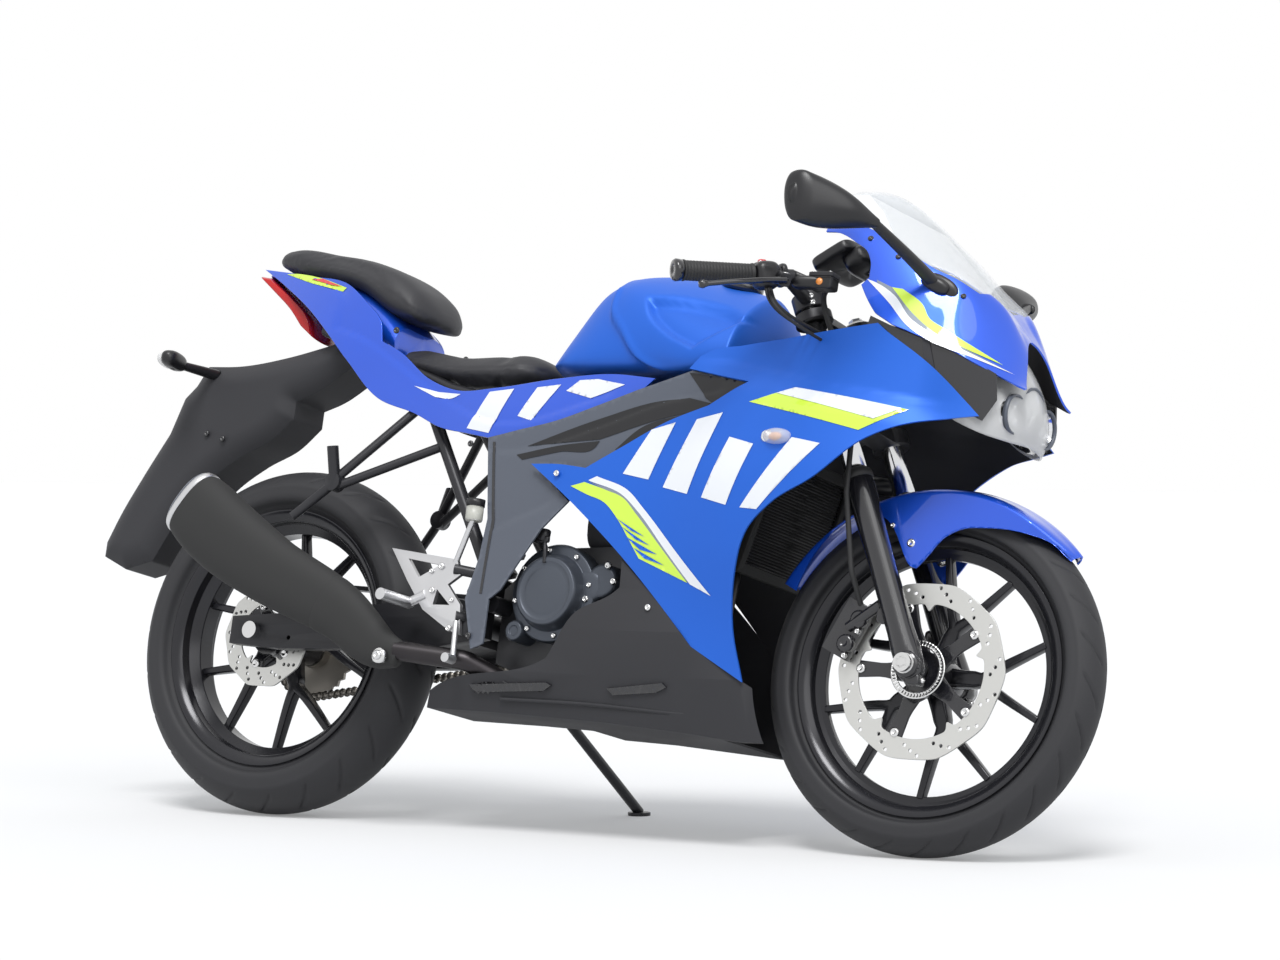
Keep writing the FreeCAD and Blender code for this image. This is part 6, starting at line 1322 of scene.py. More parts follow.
NOSE_STATIONS = [
    (0.828, [(0.59, 0.890), (0.57, 0.912), (0.29, 0.975), (0, 0.995)]),
    (0.873, [(0.66, 0.876), (0.61, 0.913), (0.31, 0.972), (0, 0.988)]),
    (0.905, [(0.78, 0.800), (0.61, 0.899), (0.32, 0.953), (0, 0.968)]),
    (0.952, [(0.78, 0.754), (0.60, 0.868), (0.31, 0.912), (0, 0.923)]),
    (1.000, [(0.71, 0.729), (0.55, 0.837), (0.29, 0.866), (0, 0.873)]),
    (1.032, [(0.65, 0.716), (0.48, 0.818), (0.26, 0.829), (0, 0.831)]),
    (1.065, [(0.57, 0.697), (0.29, 0.789), (0.14, 0.788), (0, 0.785)]),
    (1.098, [(0.45, 0.679), (0.24, 0.718), (0.12, 0.729), (0, 0.732)]),
    (1.117, [(0.38, 0.671), (0.21, 0.674), (0.10, 0.675), (0, 0.675)])]
COWL_LOW_SHARES = [(1.115, 0.671), (1.098, 0.680), (1.065, 0.698), (1.030, 0.718), (0.979, 0.741),
                   (0.938, 0.762), (0.918, 0.789), (0.905, 0.812)]
COWL_NOTCH_SHARES = [(0.913, 0.824), (0.909, 0.850), (0.898, 0.870), (0.884, 0.880), (0.852, 0.899),
                     (0.829, 0.904)]
COWL_TOP_SHARES = [(0.829, 0.912), (0.857, 0.914), (0.876, 0.912), (0.905, 0.900), (0.931, 0.884),
                   (0.960, 0.863), (0.988, 0.844), (1.021, 0.827), (1.042, 0.812)]
COWL_CENTRE_SHARES = [(1.050, 0.80), (1.054, 1.00)]
FANG_SHARES = [(1.084, 1.00), (1.087, 0.80), (1.095, 0.52), (1.106, 0.24), (1.115, 0.06)]
NOSE_FILM_SHARES = {
    "white": [[(0.911, 0.821)], [(0.925, 0.815), (0.950, 0.797), (0.977, 0.761), (1.014, 0.735),
                                 (1.062, 0.710), (1.098, 0.692)],
              [(1.059, 0.707), (1.003, 0.729), (0.974, 0.750), (0.947, 0.783), (0.912, 0.820)]],
    "neon": [[(0.945, 0.809)], [(0.959, 0.807)], [(0.987, 0.784), (0.998, 0.764), (1.019, 0.749),
                                                  (1.085, 0.704)],
             [(1.042, 0.723), (1.004, 0.745), (0.978, 0.769), (0.946, 0.808)]],
    "grey": [[(0.924, 0.820)], [(0.945, 0.809)], [(0.978, 0.769), (1.004, 0.745), (1.042, 0.723),
                                                  (1.094, 0.694)],
             [(1.062, 0.710), (1.014, 0.735), (0.977, 0.761), (0.950, 0.797), (0.925, 0.816)]]}


@dataclass
class Nose:
    """The blue nose shell, the clear screen above it and their small parts."""

    wall: float = 0.0035
    screen_wall: float = 0.003

    def build(self) -> None:
        """Make the cowl, its films and screws, and the screen."""
        lower, notch, top = (self._to_sheet(smooth_path(flat(run), 60)) for run in
                             (COWL_LOW_SHARES, COWL_NOTCH_SHARES, COWL_TOP_SHARES))
        centre = np.array(COWL_CENTRE_SHARES) * [WHEELBASE, 1]
        fang = smooth_path(np.array(FANG_SHARES) * [WHEELBASE, 1], 40)
        cowl = self._sheet(np.concatenate([lower, notch, top, centre, fang]))
        # The nose's inner side is matte black: painted shade inside the shell
        SHOP.piece("nose_cowl", both(cowl), SHADED_BLUE, ["front_cowl"], wall=self.wall, bevel=0.0012,
                   shade_lining=MATTE_BLACK)
        corner = np.array([(0.829, 1.0), (0.829, 0.72), (0.835, 0.50)]) * [WHEELBASE, 1]
        screen = self._sheet(np.concatenate([top[8:], centre, [[0.95 * WHEELBASE, 1.0]], corner]))
        SHOP.piece("screen_pane", both(screen), SCREEN_CLEAR, ["windscreen"], wall=self.screen_wall)
        self._films()
        self._fastenings()

    def surface(self, x: Array, t: Array) -> Array:
        """Return the nose's points.

        Args:
            x: distances ahead of the rear axle.
            t: 0 at the shell's lower right edge and 1 at its top middle.

        Returns:
            The (n, 3) points, by cubics along the stations and round each of them.
        """
        xs = np.array([share for share, _ in NOSE_STATIONS]) * WHEELBASE
        halves = np.array([half for _, half in NOSE_STATIONS]) * [-HALF_WIDTH, HEIGHT]
        whole = np.concatenate([halves, halves[:, 2::-1] * [-1, 1]], axis=1)
        rings = cubic(xs, whole, x)
        knots = np.array([0, 1, 2, 3, 4, 5, 6]) / 3
        y, z = (cubic(knots, rings[..., k], t) for k in (0, 1))
        return np.stack([x, y, z], axis=1)

    def _to_sheet(self, side: Array) -> Array:
        """Take side view points to (x, t), by halving the range of t where the height is met."""
        low, high = np.zeros(len(side)), np.full(len(side), 0.97)
        for _ in range(40):
            middle = (low + high) / 2
            under = self.surface(side[:, 0], middle)[:, 2] < side[:, 1]
            low, high = np.where(under, middle, low), np.where(under, high, middle)
        return np.stack([side[:, 0], low], axis=1)

    def _sheet(self, edge: Array, spacing: float = 0.007, proud: float = 0.0) -> Surface:
        """Fill an outline given in x and t, scaled so that both are about as long as real."""
        reach = 0.20
        flat_points, tris = filled(edge * [1, reach], spacing)
        x, t = flat_points[:, 0], np.clip(flat_points[:, 1] / reach, 0, 1)
        points = self.surface(x, t)
        step = 1e-4
        across = self.surface(x, t + step) - self.surface(x, t - step)
        along = self.surface(x + step, t) - self.surface(x - step, t)
        normal = np.cross(along, across)
        normal /= np.maximum(np.linalg.norm(normal, axis=1, keepdims=True), 1e-12)
        middle = t > 0.995
        points = points + normal * proud
        points[middle, 1] = 0
        return Surface(points, tris=tris)

    def _films(self) -> None:
        """Lay the slanting films along the nose's flanks."""
        for name, finish in (("white", WHITE_FILM), ("grey", GREY_FILM), ("neon", NEON_FILM)):
            edge = self._to_sheet(outline(NOSE_FILM_SHARES[name], 0.004))
            SHOP.piece("nose_film_" + name, both(self._sheet(edge, 0.006, FILM)), finish)

    def _fastenings(self) -> None:
        """Set screws along the screen's edge and in the cowl's flank."""
        side = self._to_sheet(flat([(0.942, 0.859), (1.029, 0.803), (0.900, 0.888)]))
        points = self.surface(side[:, 0], side[:, 1])
        screws = [bolt(point, (0.2, -0.8, 0.55), 0.005, 0.003) for point in points]
        SHOP.piece("nose_screws", both(*screws), GLOSS_BLACK)


HOUSING_STATIONS = [
    (0.955, [(0, 0.690), (0.44, 0.692), (0.58, 0.708), (0.50, 0.726), (0, 0.730)]),
    (1.020, [(0, 0.642), (0.42, 0.645), (0.54, 0.672), (0.44, 0.698), (0, 0.702)]),
    (1.052, [(0, 0.622), (0.38, 0.626), (0.48, 0.648), (0.38, 0.678), (0, 0.688)])]
LAMP_SIDE_RUNS = [[(0.922, 0.766)], [(0.950, 0.752)], [(0.979, 0.742), (1.030, 0.720), (1.065, 0.700)],
                  [(1.084, 0.688)], [(1.088, 0.650)], [(1.074, 0.618)], [(1.060, 0.626), (1.004, 0.680)],
                  [(0.950, 0.714), (0.918, 0.748)]]
LAMP_RIB_RUNS = [[(0.992, 0.738)], [(1.002, 0.733)], [(1.012, 0.692)], [(1.022, 0.672)], [(1.014, 0.676)],
                 [(1.001, 0.694)]]
LENS_TOP_SHARES = [(0.0, 0.736), (0.20, 0.722), (0.40, 0.696), (0.60, 0.690), (1.0, 0.700)]
LENS_LOW_SHARES = [(0.0, 0.600), (0.30, 0.598), (0.60, 0.606), (0.80, 0.622), (1.0, 0.655)]


@dataclass
class Headlight:
    """The wraparound headlight: lens, dark housing, reflectors and the projector."""

    front: float = 1.112
    side: float = 0.985
    half: float = 0.60
    depth: float = 0.034
    bulge: float = 0.020
    rake: float = 0.030
    rows: int = 101
    columns: int = 35

    def build(self) -> None:
        """Make every piece of the lamp."""
        lens = self._shell(0.0, 0.0)
        SHOP.piece("lamp_lens", lens, LENS_CLEAR, ["headlight"], wall=0.0022)
        back = self._shell(0.010, self.depth)
        SHOP.piece("lamp_bezel", back, GLOSS_BLACK, wall=0.002)
        housing = closed_loft(hull(HOUSING_STATIONS, 50, 64, (0.004, 0.004)))
        SHOP.piece("lamp_housing", housing, GLOSS_BLACK)
        side = side_sheet(outline(LAMP_SIDE_RUNS), self._side_depth, 0.006)
        SHOP.piece("lamp_sides", both(side), GLOSS_BLACK, wall=0.003, bevel=0.0008)
        rib = side_sheet(outline(LAMP_RIB_RUNS), self._side_depth, 0.006, 0.003)
        SHOP.piece("lamp_ribs", both(rib), MATTE_BLACK, wall=0.003, bevel=0.0008)
        self._bowls()

    def _side_depth(self, x: Array, z: Array) -> Array:
        """Return the housing's half width, which narrows ahead along a cubic."""
        return cubic([0.92, 0.98, 1.03, 1.07, 1.11], [0.745, 0.700, 0.630, 0.545, 0.430],
                     x / WHEELBASE) * HALF_WIDTH

    def _shell(self, inset: float, dish: float) -> Surface:
        """Return a bowed sheet across the front.

        In plan it follows a superellipse from one side round the front to the other,
        its upper and lower edges follow their curves, and it bulges ahead between them.
        The inner sheet is dished back by the root of a sine.
        """
        u = np.linspace(-1, 1, self.rows)[:, None]
        v = np.linspace(0, 1, self.columns)[None, :]
        turn = u * math.pi / 2
        away = np.abs(u[:, 0])
        top = cubic(*np.array(LENS_TOP_SHARES).T, away) * HEIGHT - inset
        low = cubic(*np.array(LENS_LOW_SHARES).T, away) * HEIGHT + inset
        z = low[:, None] * (1 - v) + top[:, None] * v
        bulge = self.bulge * (1 - (2 * v - 1) ** 2)
        plan = np.cos(turn) ** 0.75
        span = (self.front - self.side) * WHEELBASE
        x = self.side * WHEELBASE + (span - self.bulge - inset + bulge - self.rake * v) * plan
        x = x - dish * np.sin(math.pi * v) ** 0.5 * plan
        y = (self.half * HALF_WIDTH - inset) * np.sign(u) * np.abs(np.sin(turn)) ** 0.85 * np.ones_like(v)
        y = y * (1 + 0.06 * (1 - (2 * v - 1) ** 2))
        return grid(np.stack([x, y, z], axis=2))

    def _bowls(self) -> None:
        """Set two bright bowls and the round projector behind the lens."""
        ahead = np.array([1.0, 0.0, -0.05])
        parts, glass, rims = [], [], []
        for y, z, radius in ((-0.26, 0.640, 0.028), (0.26, 0.640, 0.028), (0.0, 0.655, 0.034)):
            place = pt(1.088, y, z)
            bowl = [(-0.020, 0.0), (-0.018, radius * 0.4), (-0.010, radius * 0.75), (0.004, radius),
                    (0.008, radius * 1.06), (0.006, radius * 1.10), (-0.024, radius * 0.9), (-0.024, 0)]
            parts.append(revolve(bowl, place, ahead, 40).flipped())
            rims.append(revolve([(0.004, radius * 1.0), (0.010, radius * 1.04), (0.010, radius * 1.16),
                                 (0.002, radius * 1.16)], place, ahead, 40, closed=True).flipped())
            angle = np.linspace(0, math.pi / 2, 9)
            cap = [(0.010 * math.cos(a) - 0.006, radius * 0.62 * math.sin(a)) for a in angle]
            glass.append(revolve(cap + [(-0.012, radius * 0.62), (-0.012, 0)], place, ahead, 32).flipped())
        SHOP.piece("lamp_bowls", joined(parts), REFLECTOR)
        SHOP.piece("lamp_rims", joined(rims), COVER_GREY)
        SHOP.piece("lamp_bulbs", joined(glass), MIRROR_GLASS)


MIRROR_RINGS = [(1.76, [(0.874, 0.927), (0.904, 0.936), (0.908, 0.864), (0.881, 0.857)]),
                (1.53, [(0.878, 0.932), (0.947, 0.914), (0.954, 0.868), (0.897, 0.852)]),
                (1.28, [(0.951, 0.886), (0.971, 0.882), (0.971, 0.868), (0.953, 0.868)])]


@dataclass
class Mirrors:
    """A mirror each side: its head, glass, stay and the boot at the stay's foot."""

    stay: tuple[tuple[float, float, float], ...] = ((0.961, -1.28, 0.877), (0.980, -0.92, 0.846),
                                                   (0.995, -0.60, 0.818))
    glass: tuple[tuple[float, float, float], ...] = ((0.8775, -1.72, 0.922), (0.881, -1.72, 0.862),
                                                    (0.908, -1.44, 0.860), (0.893, -1.44, 0.918))

    def build(self) -> None:
        """Make both mirrors."""
        rings = []
        for y_share, corners in MIRROR_RINGS:
            rings.append(at_side(closed_curve(softened(flat(corners), 0.24), 64), -y_share * HALF_WIDTH))
        rings = np.array(rings)
        share = 0.5 - 0.5 * np.cos(np.linspace(0, math.pi, 60))
        rings = cubic(np.array([0.0, 0.48, 1.0]), rings, share)
        size = np.sqrt(1 - (1 - np.clip(share / 0.10, 0.02, 1)) ** 2) ** 0.6
        middle = rings.mean(1, keepdims=True)
        rings = middle + (rings - middle) * size[:, None, None]
        head = closed_loft(rings, flip=True)
        SHOP.piece("mirror_heads", both(head), COVER_BLACK, ["mirrors"])
        corners = np.array([pt(*share) for share in self.glass])
        middle = corners.mean(0)
        ring = closed_curve(softened(middle + (corners - middle) * 0.86 + [0.0005, 0, 0], 0.24), 48)
        pane = Surface(np.concatenate([ring, [ring.mean(0)]]),
                       tris=np.stack([np.full(48, 48), np.arange(48), (np.arange(48) + 1) % 48], axis=1))
        SHOP.piece("mirror_glass", both(pane), MIRROR_GLASS, wall=0.002)
        path = smooth_path(np.array([pt(*p) for p in self.stay]), 30)
        sizes = np.stack([np.linspace(0.008, 0.011, 30), np.linspace(0.0055, 0.008, 30)], axis=1)
        arm = along_path(path, np.array([1.0, 0, 0.3]), sizes, superellipse(3, 24))
        boot = block(path[-1], (0.026, 0.013, 0.013), 2.6, frame_along((1.0, 0.15, -0.5)))
        boot_rim = block(path[-1] + [0.004, 0.006, -0.004], (0.034, 0.008, 0.020), 2.4,
                         frame_along((1.0, 0.15, -0.5)))
        SHOP.piece("mirror_stays", both(arm, boot, boot_rim), COVER_BLACK)


# Seats

RIDER_STATIONS = [
    (0.150, [(0, 0.712), (0.30, 0.714), (0.33, 0.730), (0.26, 0.752), (0, 0.757)]),
    (0.200, [(0, 0.700), (0.36, 0.702), (0.42, 0.722), (0.32, 0.740), (0, 0.743)]),
    (0.260, [(0, 0.690), (0.40, 0.692), (0.48, 0.708), (0.38, 0.727), (0, 0.730)]),
    (0.330, [(0, 0.688), (0.42, 0.690), (0.49, 0.706), (0.38, 0.726), (0, 0.731)]),
    (0.385, [(0, 0.690), (0.36, 0.692), (0.42, 0.708), (0.30, 0.725), (0, 0.730)]),
    (0.403, [(0, 0.694), (0.22, 0.696), (0.27, 0.706), (0.18, 0.718), (0, 0.722)])]
PILLION_STATIONS = [
    (-0.106, [(0, 0.897), (0.10, 0.898), (0.14, 0.906), (0.10, 0.918), (0, 0.922)]),
    (-0.060, [(0, 0.886), (0.22, 0.888), (0.28, 0.900), (0.20, 0.920), (0, 0.926)]),
    (0.010, [(0, 0.874), (0.30, 0.876), (0.36, 0.888), (0.26, 0.906), (0, 0.913)]),
    (0.080, [(0, 0.850), (0.36, 0.852), (0.42, 0.868), (0.30, 0.890), (0, 0.897)]),
    (0.140, [(0, 0.806), (0.38, 0.810), (0.44, 0.830), (0.32, 0.862), (0, 0.869)]),
    (0.188, [(0, 0.782), (0.30, 0.784), (0.36, 0.798), (0.28, 0.820), (0, 0.827)])]


@dataclass
class Seat:
    """A padded seat: a closed cover swollen by cloth simulation, then sewn."""

    name: str
    node: str
    stations: Stations
    ends: tuple[float, float]
    seam_at: float
    start_scale: float = 0.965
    voxel: float = 0.005
    pressure: float = 4.0
    cap: float = 0.006
    frames: int = 20
    seam_depth: float = 0.0016
    seam_width: float = 0.0022
    rows: int = 110
    around: int = 96

    def build(self) -> None:
        """Make the seat's cover with its seams."""
        rings = hull(self.stations, self.rows, self.around, self.ends, self.start_scale)
        mesh = self._swollen(closed_loft(rings))
        points = np.empty(len(mesh.vertices) * 3)
        mesh.vertices.foreach_get("co", points)
        points = points.reshape(-1, 3)
        normals = np.empty(len(mesh.vertices) * 3)
        mesh.vertex_normals.foreach_get("vector", normals)
        upright = (points - STANCE.origin) @ STANCE.turn
        groove = self._seams(upright)[:, None] * self.seam_depth
        points = points - normals.reshape(-1, 3) * groove
        mesh.vertices.foreach_set("co", points.ravel())
        mesh.materials.clear()
        mesh.materials.append(SEAT_VINYL.material())
        mesh.shade_smooth()
        mesh.update()
        cover = bpy.data.objects.new(self.name, mesh)
        bpy.context.scene.collection.objects.link(cover)
        finer = cover.modifiers.new("finer", "SUBSURF")
        finer.levels = finer.render_levels = 1
        SHOP.settle(cover, "root", [self.node])

    def _seams(self, upright: Array) -> Array:
        """Return how deep each point lies in a seam, 0 to 1.

        One seam crosses the seat and another follows its shoulder on each side; each
        is a bell of the distance to it.
        """
        xs = np.array([share for share, _ in self.stations]) * WHEELBASE
        shoulder = cubic(xs, np.array([half[2] for _, half in self.stations]) * [HALF_WIDTH, HEIGHT],
                         upright[:, 0])
        rise = upright[:, 2] - shoulder[:, 1]
        edge = (rise - 0.004) / self.seam_width
        flank = step_up((np.abs(upright[:, 1]) - shoulder[:, 0] * 0.55) / 0.02)
        across = (upright[:, 0] - self.seam_at * WHEELBASE + 0.35 * rise) / self.seam_width
        top = step_up((rise - 0.003) / 0.004)
        return np.maximum(np.exp(-edge ** 2) * flank, np.exp(-across ** 2) * top)

    def _swollen(self, surface: Surface) -> bpy.types.Mesh:
        """Remesh a closed shape evenly and let the cloth swell it by no more than the cap."""
        mesh = bpy.data.meshes.new(self.name)
        points = STANCE.place(surface.points)
        mesh.from_pydata(points.tolist(), [], surface.quads.tolist() + surface.tris.tolist())
        form = bpy.data.objects.new(self.name + "_form", mesh)
        bpy.context.scene.collection.objects.link(form)
        even = form.modifiers.new("even", "REMESH")
        even.mode = "VOXEL"
        even.voxel_size = self.voxel
        even_mesh = self._read(form)
        form.modifiers.clear()
        form.data = even_mesh
        start = self._points(even_mesh)
        cloth = form.modifiers.new("cloth", "CLOTH")
        cloth.settings.use_pressure = True
        cloth.settings.uniform_pressure_force = self.pressure
        cloth.settings.effector_weights.gravity = 0
        cloth.settings.quality = 5
        cloth.point_cache.frame_start = 1
        cloth.point_cache.frame_end = self.frames
        for number in range(1, self.frames + 1):
            bpy.context.scene.frame_set(number)
        end = self._points(self._read(form))
        move = end - start
        length = np.maximum(np.linalg.norm(move, axis=1, keepdims=True), 1e-9)
        move = move / length * np.minimum(length, self.cap)
        even_mesh.vertices.foreach_set("co", (start + move).ravel())
        bpy.context.scene.frame_set(1)
        LOG.info("%s swells by up to %.1f mm", self.name, float(length.max()) * 1000)
        bpy.data.objects.remove(form)
        return even_mesh

    def _read(self, thing: bpy.types.Object) -> bpy.types.Mesh:
        """Return a new mesh of an object with its modifiers applied."""
        return bpy.data.meshes.new_from_object(thing.evaluated_get(bpy.context.evaluated_depsgraph_get()))

    def _points(self, mesh: bpy.types.Mesh) -> Array:
        """Return a mesh's points as an (n, 3) array."""
        points = np.empty(len(mesh.vertices) * 3)
        mesh.vertices.foreach_get("co", points)
        return points.reshape(-1, 3)


# Bars, fork, front fender and front brakes, made with the bars straight ahead


@dataclass
class Controls:
    """The clip-on bars with grips, switch housings, levers and the fluid reservoir."""

    inner: tuple[float, float, float] = (0.813, -0.94, 0.814)
    end: tuple[float, float, float] = (0.717, -1.60, 0.786)
    bar_radius: float = 0.011
    grip_radius: float = 0.0165
    grip_length: float = 0.120
    ribs: int = 22
    reservoir: tuple[float, float, float] = (0.850, -0.86, 0.808)
    reservoir_half: tuple[float, float, float] = (0.022, 0.017, 0.014)

    def build(self) -> None:
        """Make both bars and what they carry."""
        inner, end = pt(*self.inner), pt(*self.end)
        along = (end - inner) / np.linalg.norm(end - inner)
        ahead = np.cross(UP, along)
        ahead /= np.linalg.norm(ahead)
        above = np.cross(along, ahead)
        turn = np.stack([along, ahead, above], axis=1)
        self._grips(end, along)
        self._housings(end, turn)
        self._levers(inner, end, turn)
        self._clamps(inner, along)
        self._fluid(inner)
        self._cables(end, turn)

    def _steered(self, name: str, surface: Surface, finish: Finish,
                 replaces: Sequence[str] = (), bevel: float = 0.0) -> None:
        """Put a piece of the bars into the scene."""
        SHOP.piece(name, surface, finish, replaces, body="steering", bevel=bevel)

    def _grips(self, end: Array, along: Array) -> None:
        """Make the ribbed grips, whose radius is a rounded wave along the bar, and the bar ends."""
        share = np.linspace(0, 1, self.ribs * 8)
        wave = 0.0007 * np.abs(np.sin(share * math.pi * self.ribs)) ** 0.6
        ends = 0.0015 * (np.exp(-(share / 0.03) ** 2) + np.exp(-((1 - share) / 0.03) ** 2))
        profile = np.stack([(share - 1) * self.grip_length, self.grip_radius - 0.0007 + wave + ends], axis=1)
        profile = np.concatenate([[(-self.grip_length, 0)], profile, [(0, 0)]])
        grip = revolve(profile, end, along, 36)
        self._steered("grips", both(grip), GRIP_RUBBER, replaces=["handlebars"])
        cap = revolve([(0, 0), (0, 0.013), (0.002, 0.0175), (0.012, 0.0185), (0.0155, 0.016), (0.016, 0.006),
                       (0.014, 0.005), (0.014, 0)], end, along, 40)
        self._steered("bar_ends", both(cap), GLOSS_BLACK)

    def _housings(self, end: Array, turn: Array) -> None:
        """Make the switch housings with a red switch, a start button and their split line."""
        base = end - turn[:, 0] * (self.grip_length + 0.022)
        body = block(base + turn @ [0, 0.002, -0.002], (0.021, 0.022, 0.023), 3.2, turn)
        pod = block(base + turn @ [0.002, -0.012, 0.010], (0.016, 0.014, 0.012), 3.5, turn)
        collar = block(base - turn[:, 0] * 0.028, (0.007, 0.019, 0.019), 3, turn)
        self._steered("switch_housings", both(body, pod, collar), COVER_BLACK)
        red = block(base + turn @ [0.000, -0.014, 0.024], (0.007, 0.005, 0.004), 3.5, turn, 14)
        self._steered("stop_switch", red, RED_FILM)
        button = block(base + turn @ [0.004, -0.025, 0.006], (0.005, 0.003, 0.005), 3, turn, 14)
        self._steered("start_buttons", both(button), COVER_GREY)
        screws = [bolt(base + turn @ [0.009 * s, 0.002, 0.0205], turn[:, 2], 0.003, 0.0015) for s in (-1, 1)]
        self._steered("housing_screws", both(*screws), BOLT_STEEL)

    def _levers(self, inner: Array, end: Array, turn: Array) -> None:
        """Make the levers: flat blades that swell to a ball, with perches and pivot screws."""
        down, ahead = np.array([0, 0, -1.0]), turn[:, 1]
        root = inner + turn[:, 0] * 0.024 + ahead * 0.027 + down * 0.014
        tip = inner + (end - inner) * 0.90 + ahead * 0.038 + down * 0.030
        middle = root * 0.5 + tip * 0.5 + ahead * 0.012
        path = smooth_path(np.array([root, root * 0.75 + middle * 0.25 + ahead * 0.004, middle, tip]), 50)
        share = np.linspace(0, 1, 50)
        width = np.interp(share, [0, 0.12, 0.5, 0.9, 0.96, 1],
                          [0.010, 0.0075, 0.006, 0.0055, 0.0075, 0.0055])
        thick = np.interp(share, [0, 0.12, 0.5, 0.9, 0.96, 1], [0.0065, 0.005, 0.004, 0.0042, 0.0072, 0.005])
        blade = along_path(path, ahead, np.stack([width, thick], axis=1), superellipse(2.6, 24))
        self._steered("levers", both(blade), GLOSS_BLACK)
        clamp = inner + turn[:, 0] * 0.024
        perch = along_path(np.linspace(clamp, root + ahead * 0.004, 8), UP,
                           np.stack([np.full(8, 0.011), np.linspace(0.014, 0.010, 8)], axis=1),
                           superellipse(4, 24))
        ring = revolve([(-0.010, 0.0112), (-0.010, 0.0165), (0.010, 0.0165), (0.010, 0.0112)], clamp,
                       turn[:, 0], 36, closed=True)
        self._steered("lever_perches", both(perch, ring), FRAME_BLACK, bevel=0.0006)
        screws = [bolt(root + UP * 0.0105, UP, 0.006, 0.003),
                  bolt(clamp - ahead * 0.0165, -ahead, 0.0035, 0.002)]
        self._steered("perch_screws", both(*screws), BOLT_STEEL)

    def _clamps(self, inner: Array, along: Array) -> None:
        """Make the bars' inner ends, the collars on the fork tubes and the links between."""
        axis = STANCE.steer_axis
        low = STANCE.front_axle + np.array([0, -0.095, 0]) + axis * 0.634
        collar = revolve([(0, 0.0187), (0, 0.0265), (0.002, 0.0275), (0.026, 0.0275), (0.028, 0.0265),
                          (0.028, 0.0187)], low, axis, 44, closed=True)
        middle = low + axis * 0.014
        bridge = smooth_path(np.array([middle + (inner - middle) * 0.18, inner + along * 0.012]), 12)
        link = along_path(bridge, axis, np.full((12, 2), (0.011, 0.010)), superellipse(3.5, 24))
        tube = revolve([(0, 0), (0, self.bar_radius), (0.190, self.bar_radius), (0.190, 0)], inner, along,
                       30)
        self._steered("clip_ons", both(collar, link, tube), FRAME_BLACK, bevel=0.0006)
        away = np.array([0.55, -0.8, 0.1])
        pinch = [bolt(low + axis * h + away / np.linalg.norm(away) * 0.0270, away, 0.005, 0.004)
                 for h in (0.008, 0.020)]
        self._steered("collar_screws", both(*pinch), BOLT_STEEL)

    def _fluid(self, inner: Array) -> None:
        """Make the square reservoir with its lid, lid screws, window and arm."""
        centre = pt(*self.reservoir)
        long, wide, high = self.reservoir_half
        body = block(centre - UP * 0.002, (long * 0.94, wide * 0.94, high * 0.80), 7)
        lid = block(centre + UP * (high - 0.003), (long, wide, 0.004), 8)
        rib = block(centre + UP * (high - 0.009), (long * 0.98, wide * 0.98, 0.0012), 8)
        arm = along_path(np.linspace(inner + UP * 0.004, centre - UP * high * 0.5, 8), UP,
                         np.full((8, 2), 0.006), superellipse(2.5, 20))
        master = block((inner + centre) / 2 + [0, -0.002, -0.006], (0.026, 0.012, 0.011), 3,
                       frame_along((1.0, 0.3, 0.05)))
        self._steered("fluid_reservoir", joined([body, rib, arm, master]), COVER_BLACK)
        self._steered("reservoir_lid", lid, MATTE_BLACK)
        screws = [bolt(centre + [x * long * 0.72, y * wide * 0.68, high + 0.0008], UP, 0.0028, 0.0015)
                  for x, y in ((1, 1), (-1, -1), (1, -1), (-1, 1))]
        self._steered("lid_screws", joined(screws), BOLT_STEEL)
        window = revolve([(-0.001, 0), (-0.001, 0.006), (0.0015, 0.0055), (0.0015, 0)],
                         centre + [0, -wide * 0.93, -0.002], OUT, 24)
        # The window glows faintly though it is no lamp: painted light
        self._steered("reservoir_window", window, AMBER)

    def _cables(self, end: Array, turn: Array) -> None:
        """Make the thin cables that loop from the housings towards the head."""
        base = end - turn[:, 0] * (self.grip_length + 0.026)
        pipes = []
        for k, (reach, drop) in enumerate(((0.030, 0.040), (0.046, 0.052), (0.016, 0.030))):
            start = base + turn @ [0.004 * k, 0.010, -0.020]
            away = [0.040, -0.040 + 0.014 * k, 0]
            far = STANCE.front_axle + STANCE.steer_axis * (0.600 - 0.016 * k) + away
            path = [start, start + turn @ [0.0, reach * 0.5, -drop * 0.6],
                    start * 0.6 + far * 0.4 + np.array([reach, 0, -drop]),
                    start * 0.25 + far * 0.75 + np.array([reach * 0.6, 0, -drop * 0.6]), far]
            pipes.append(pipe(path, 0.0027, 60, 12))
        self._steered("control_cables", both(*pipes), GRIP_RUBBER)


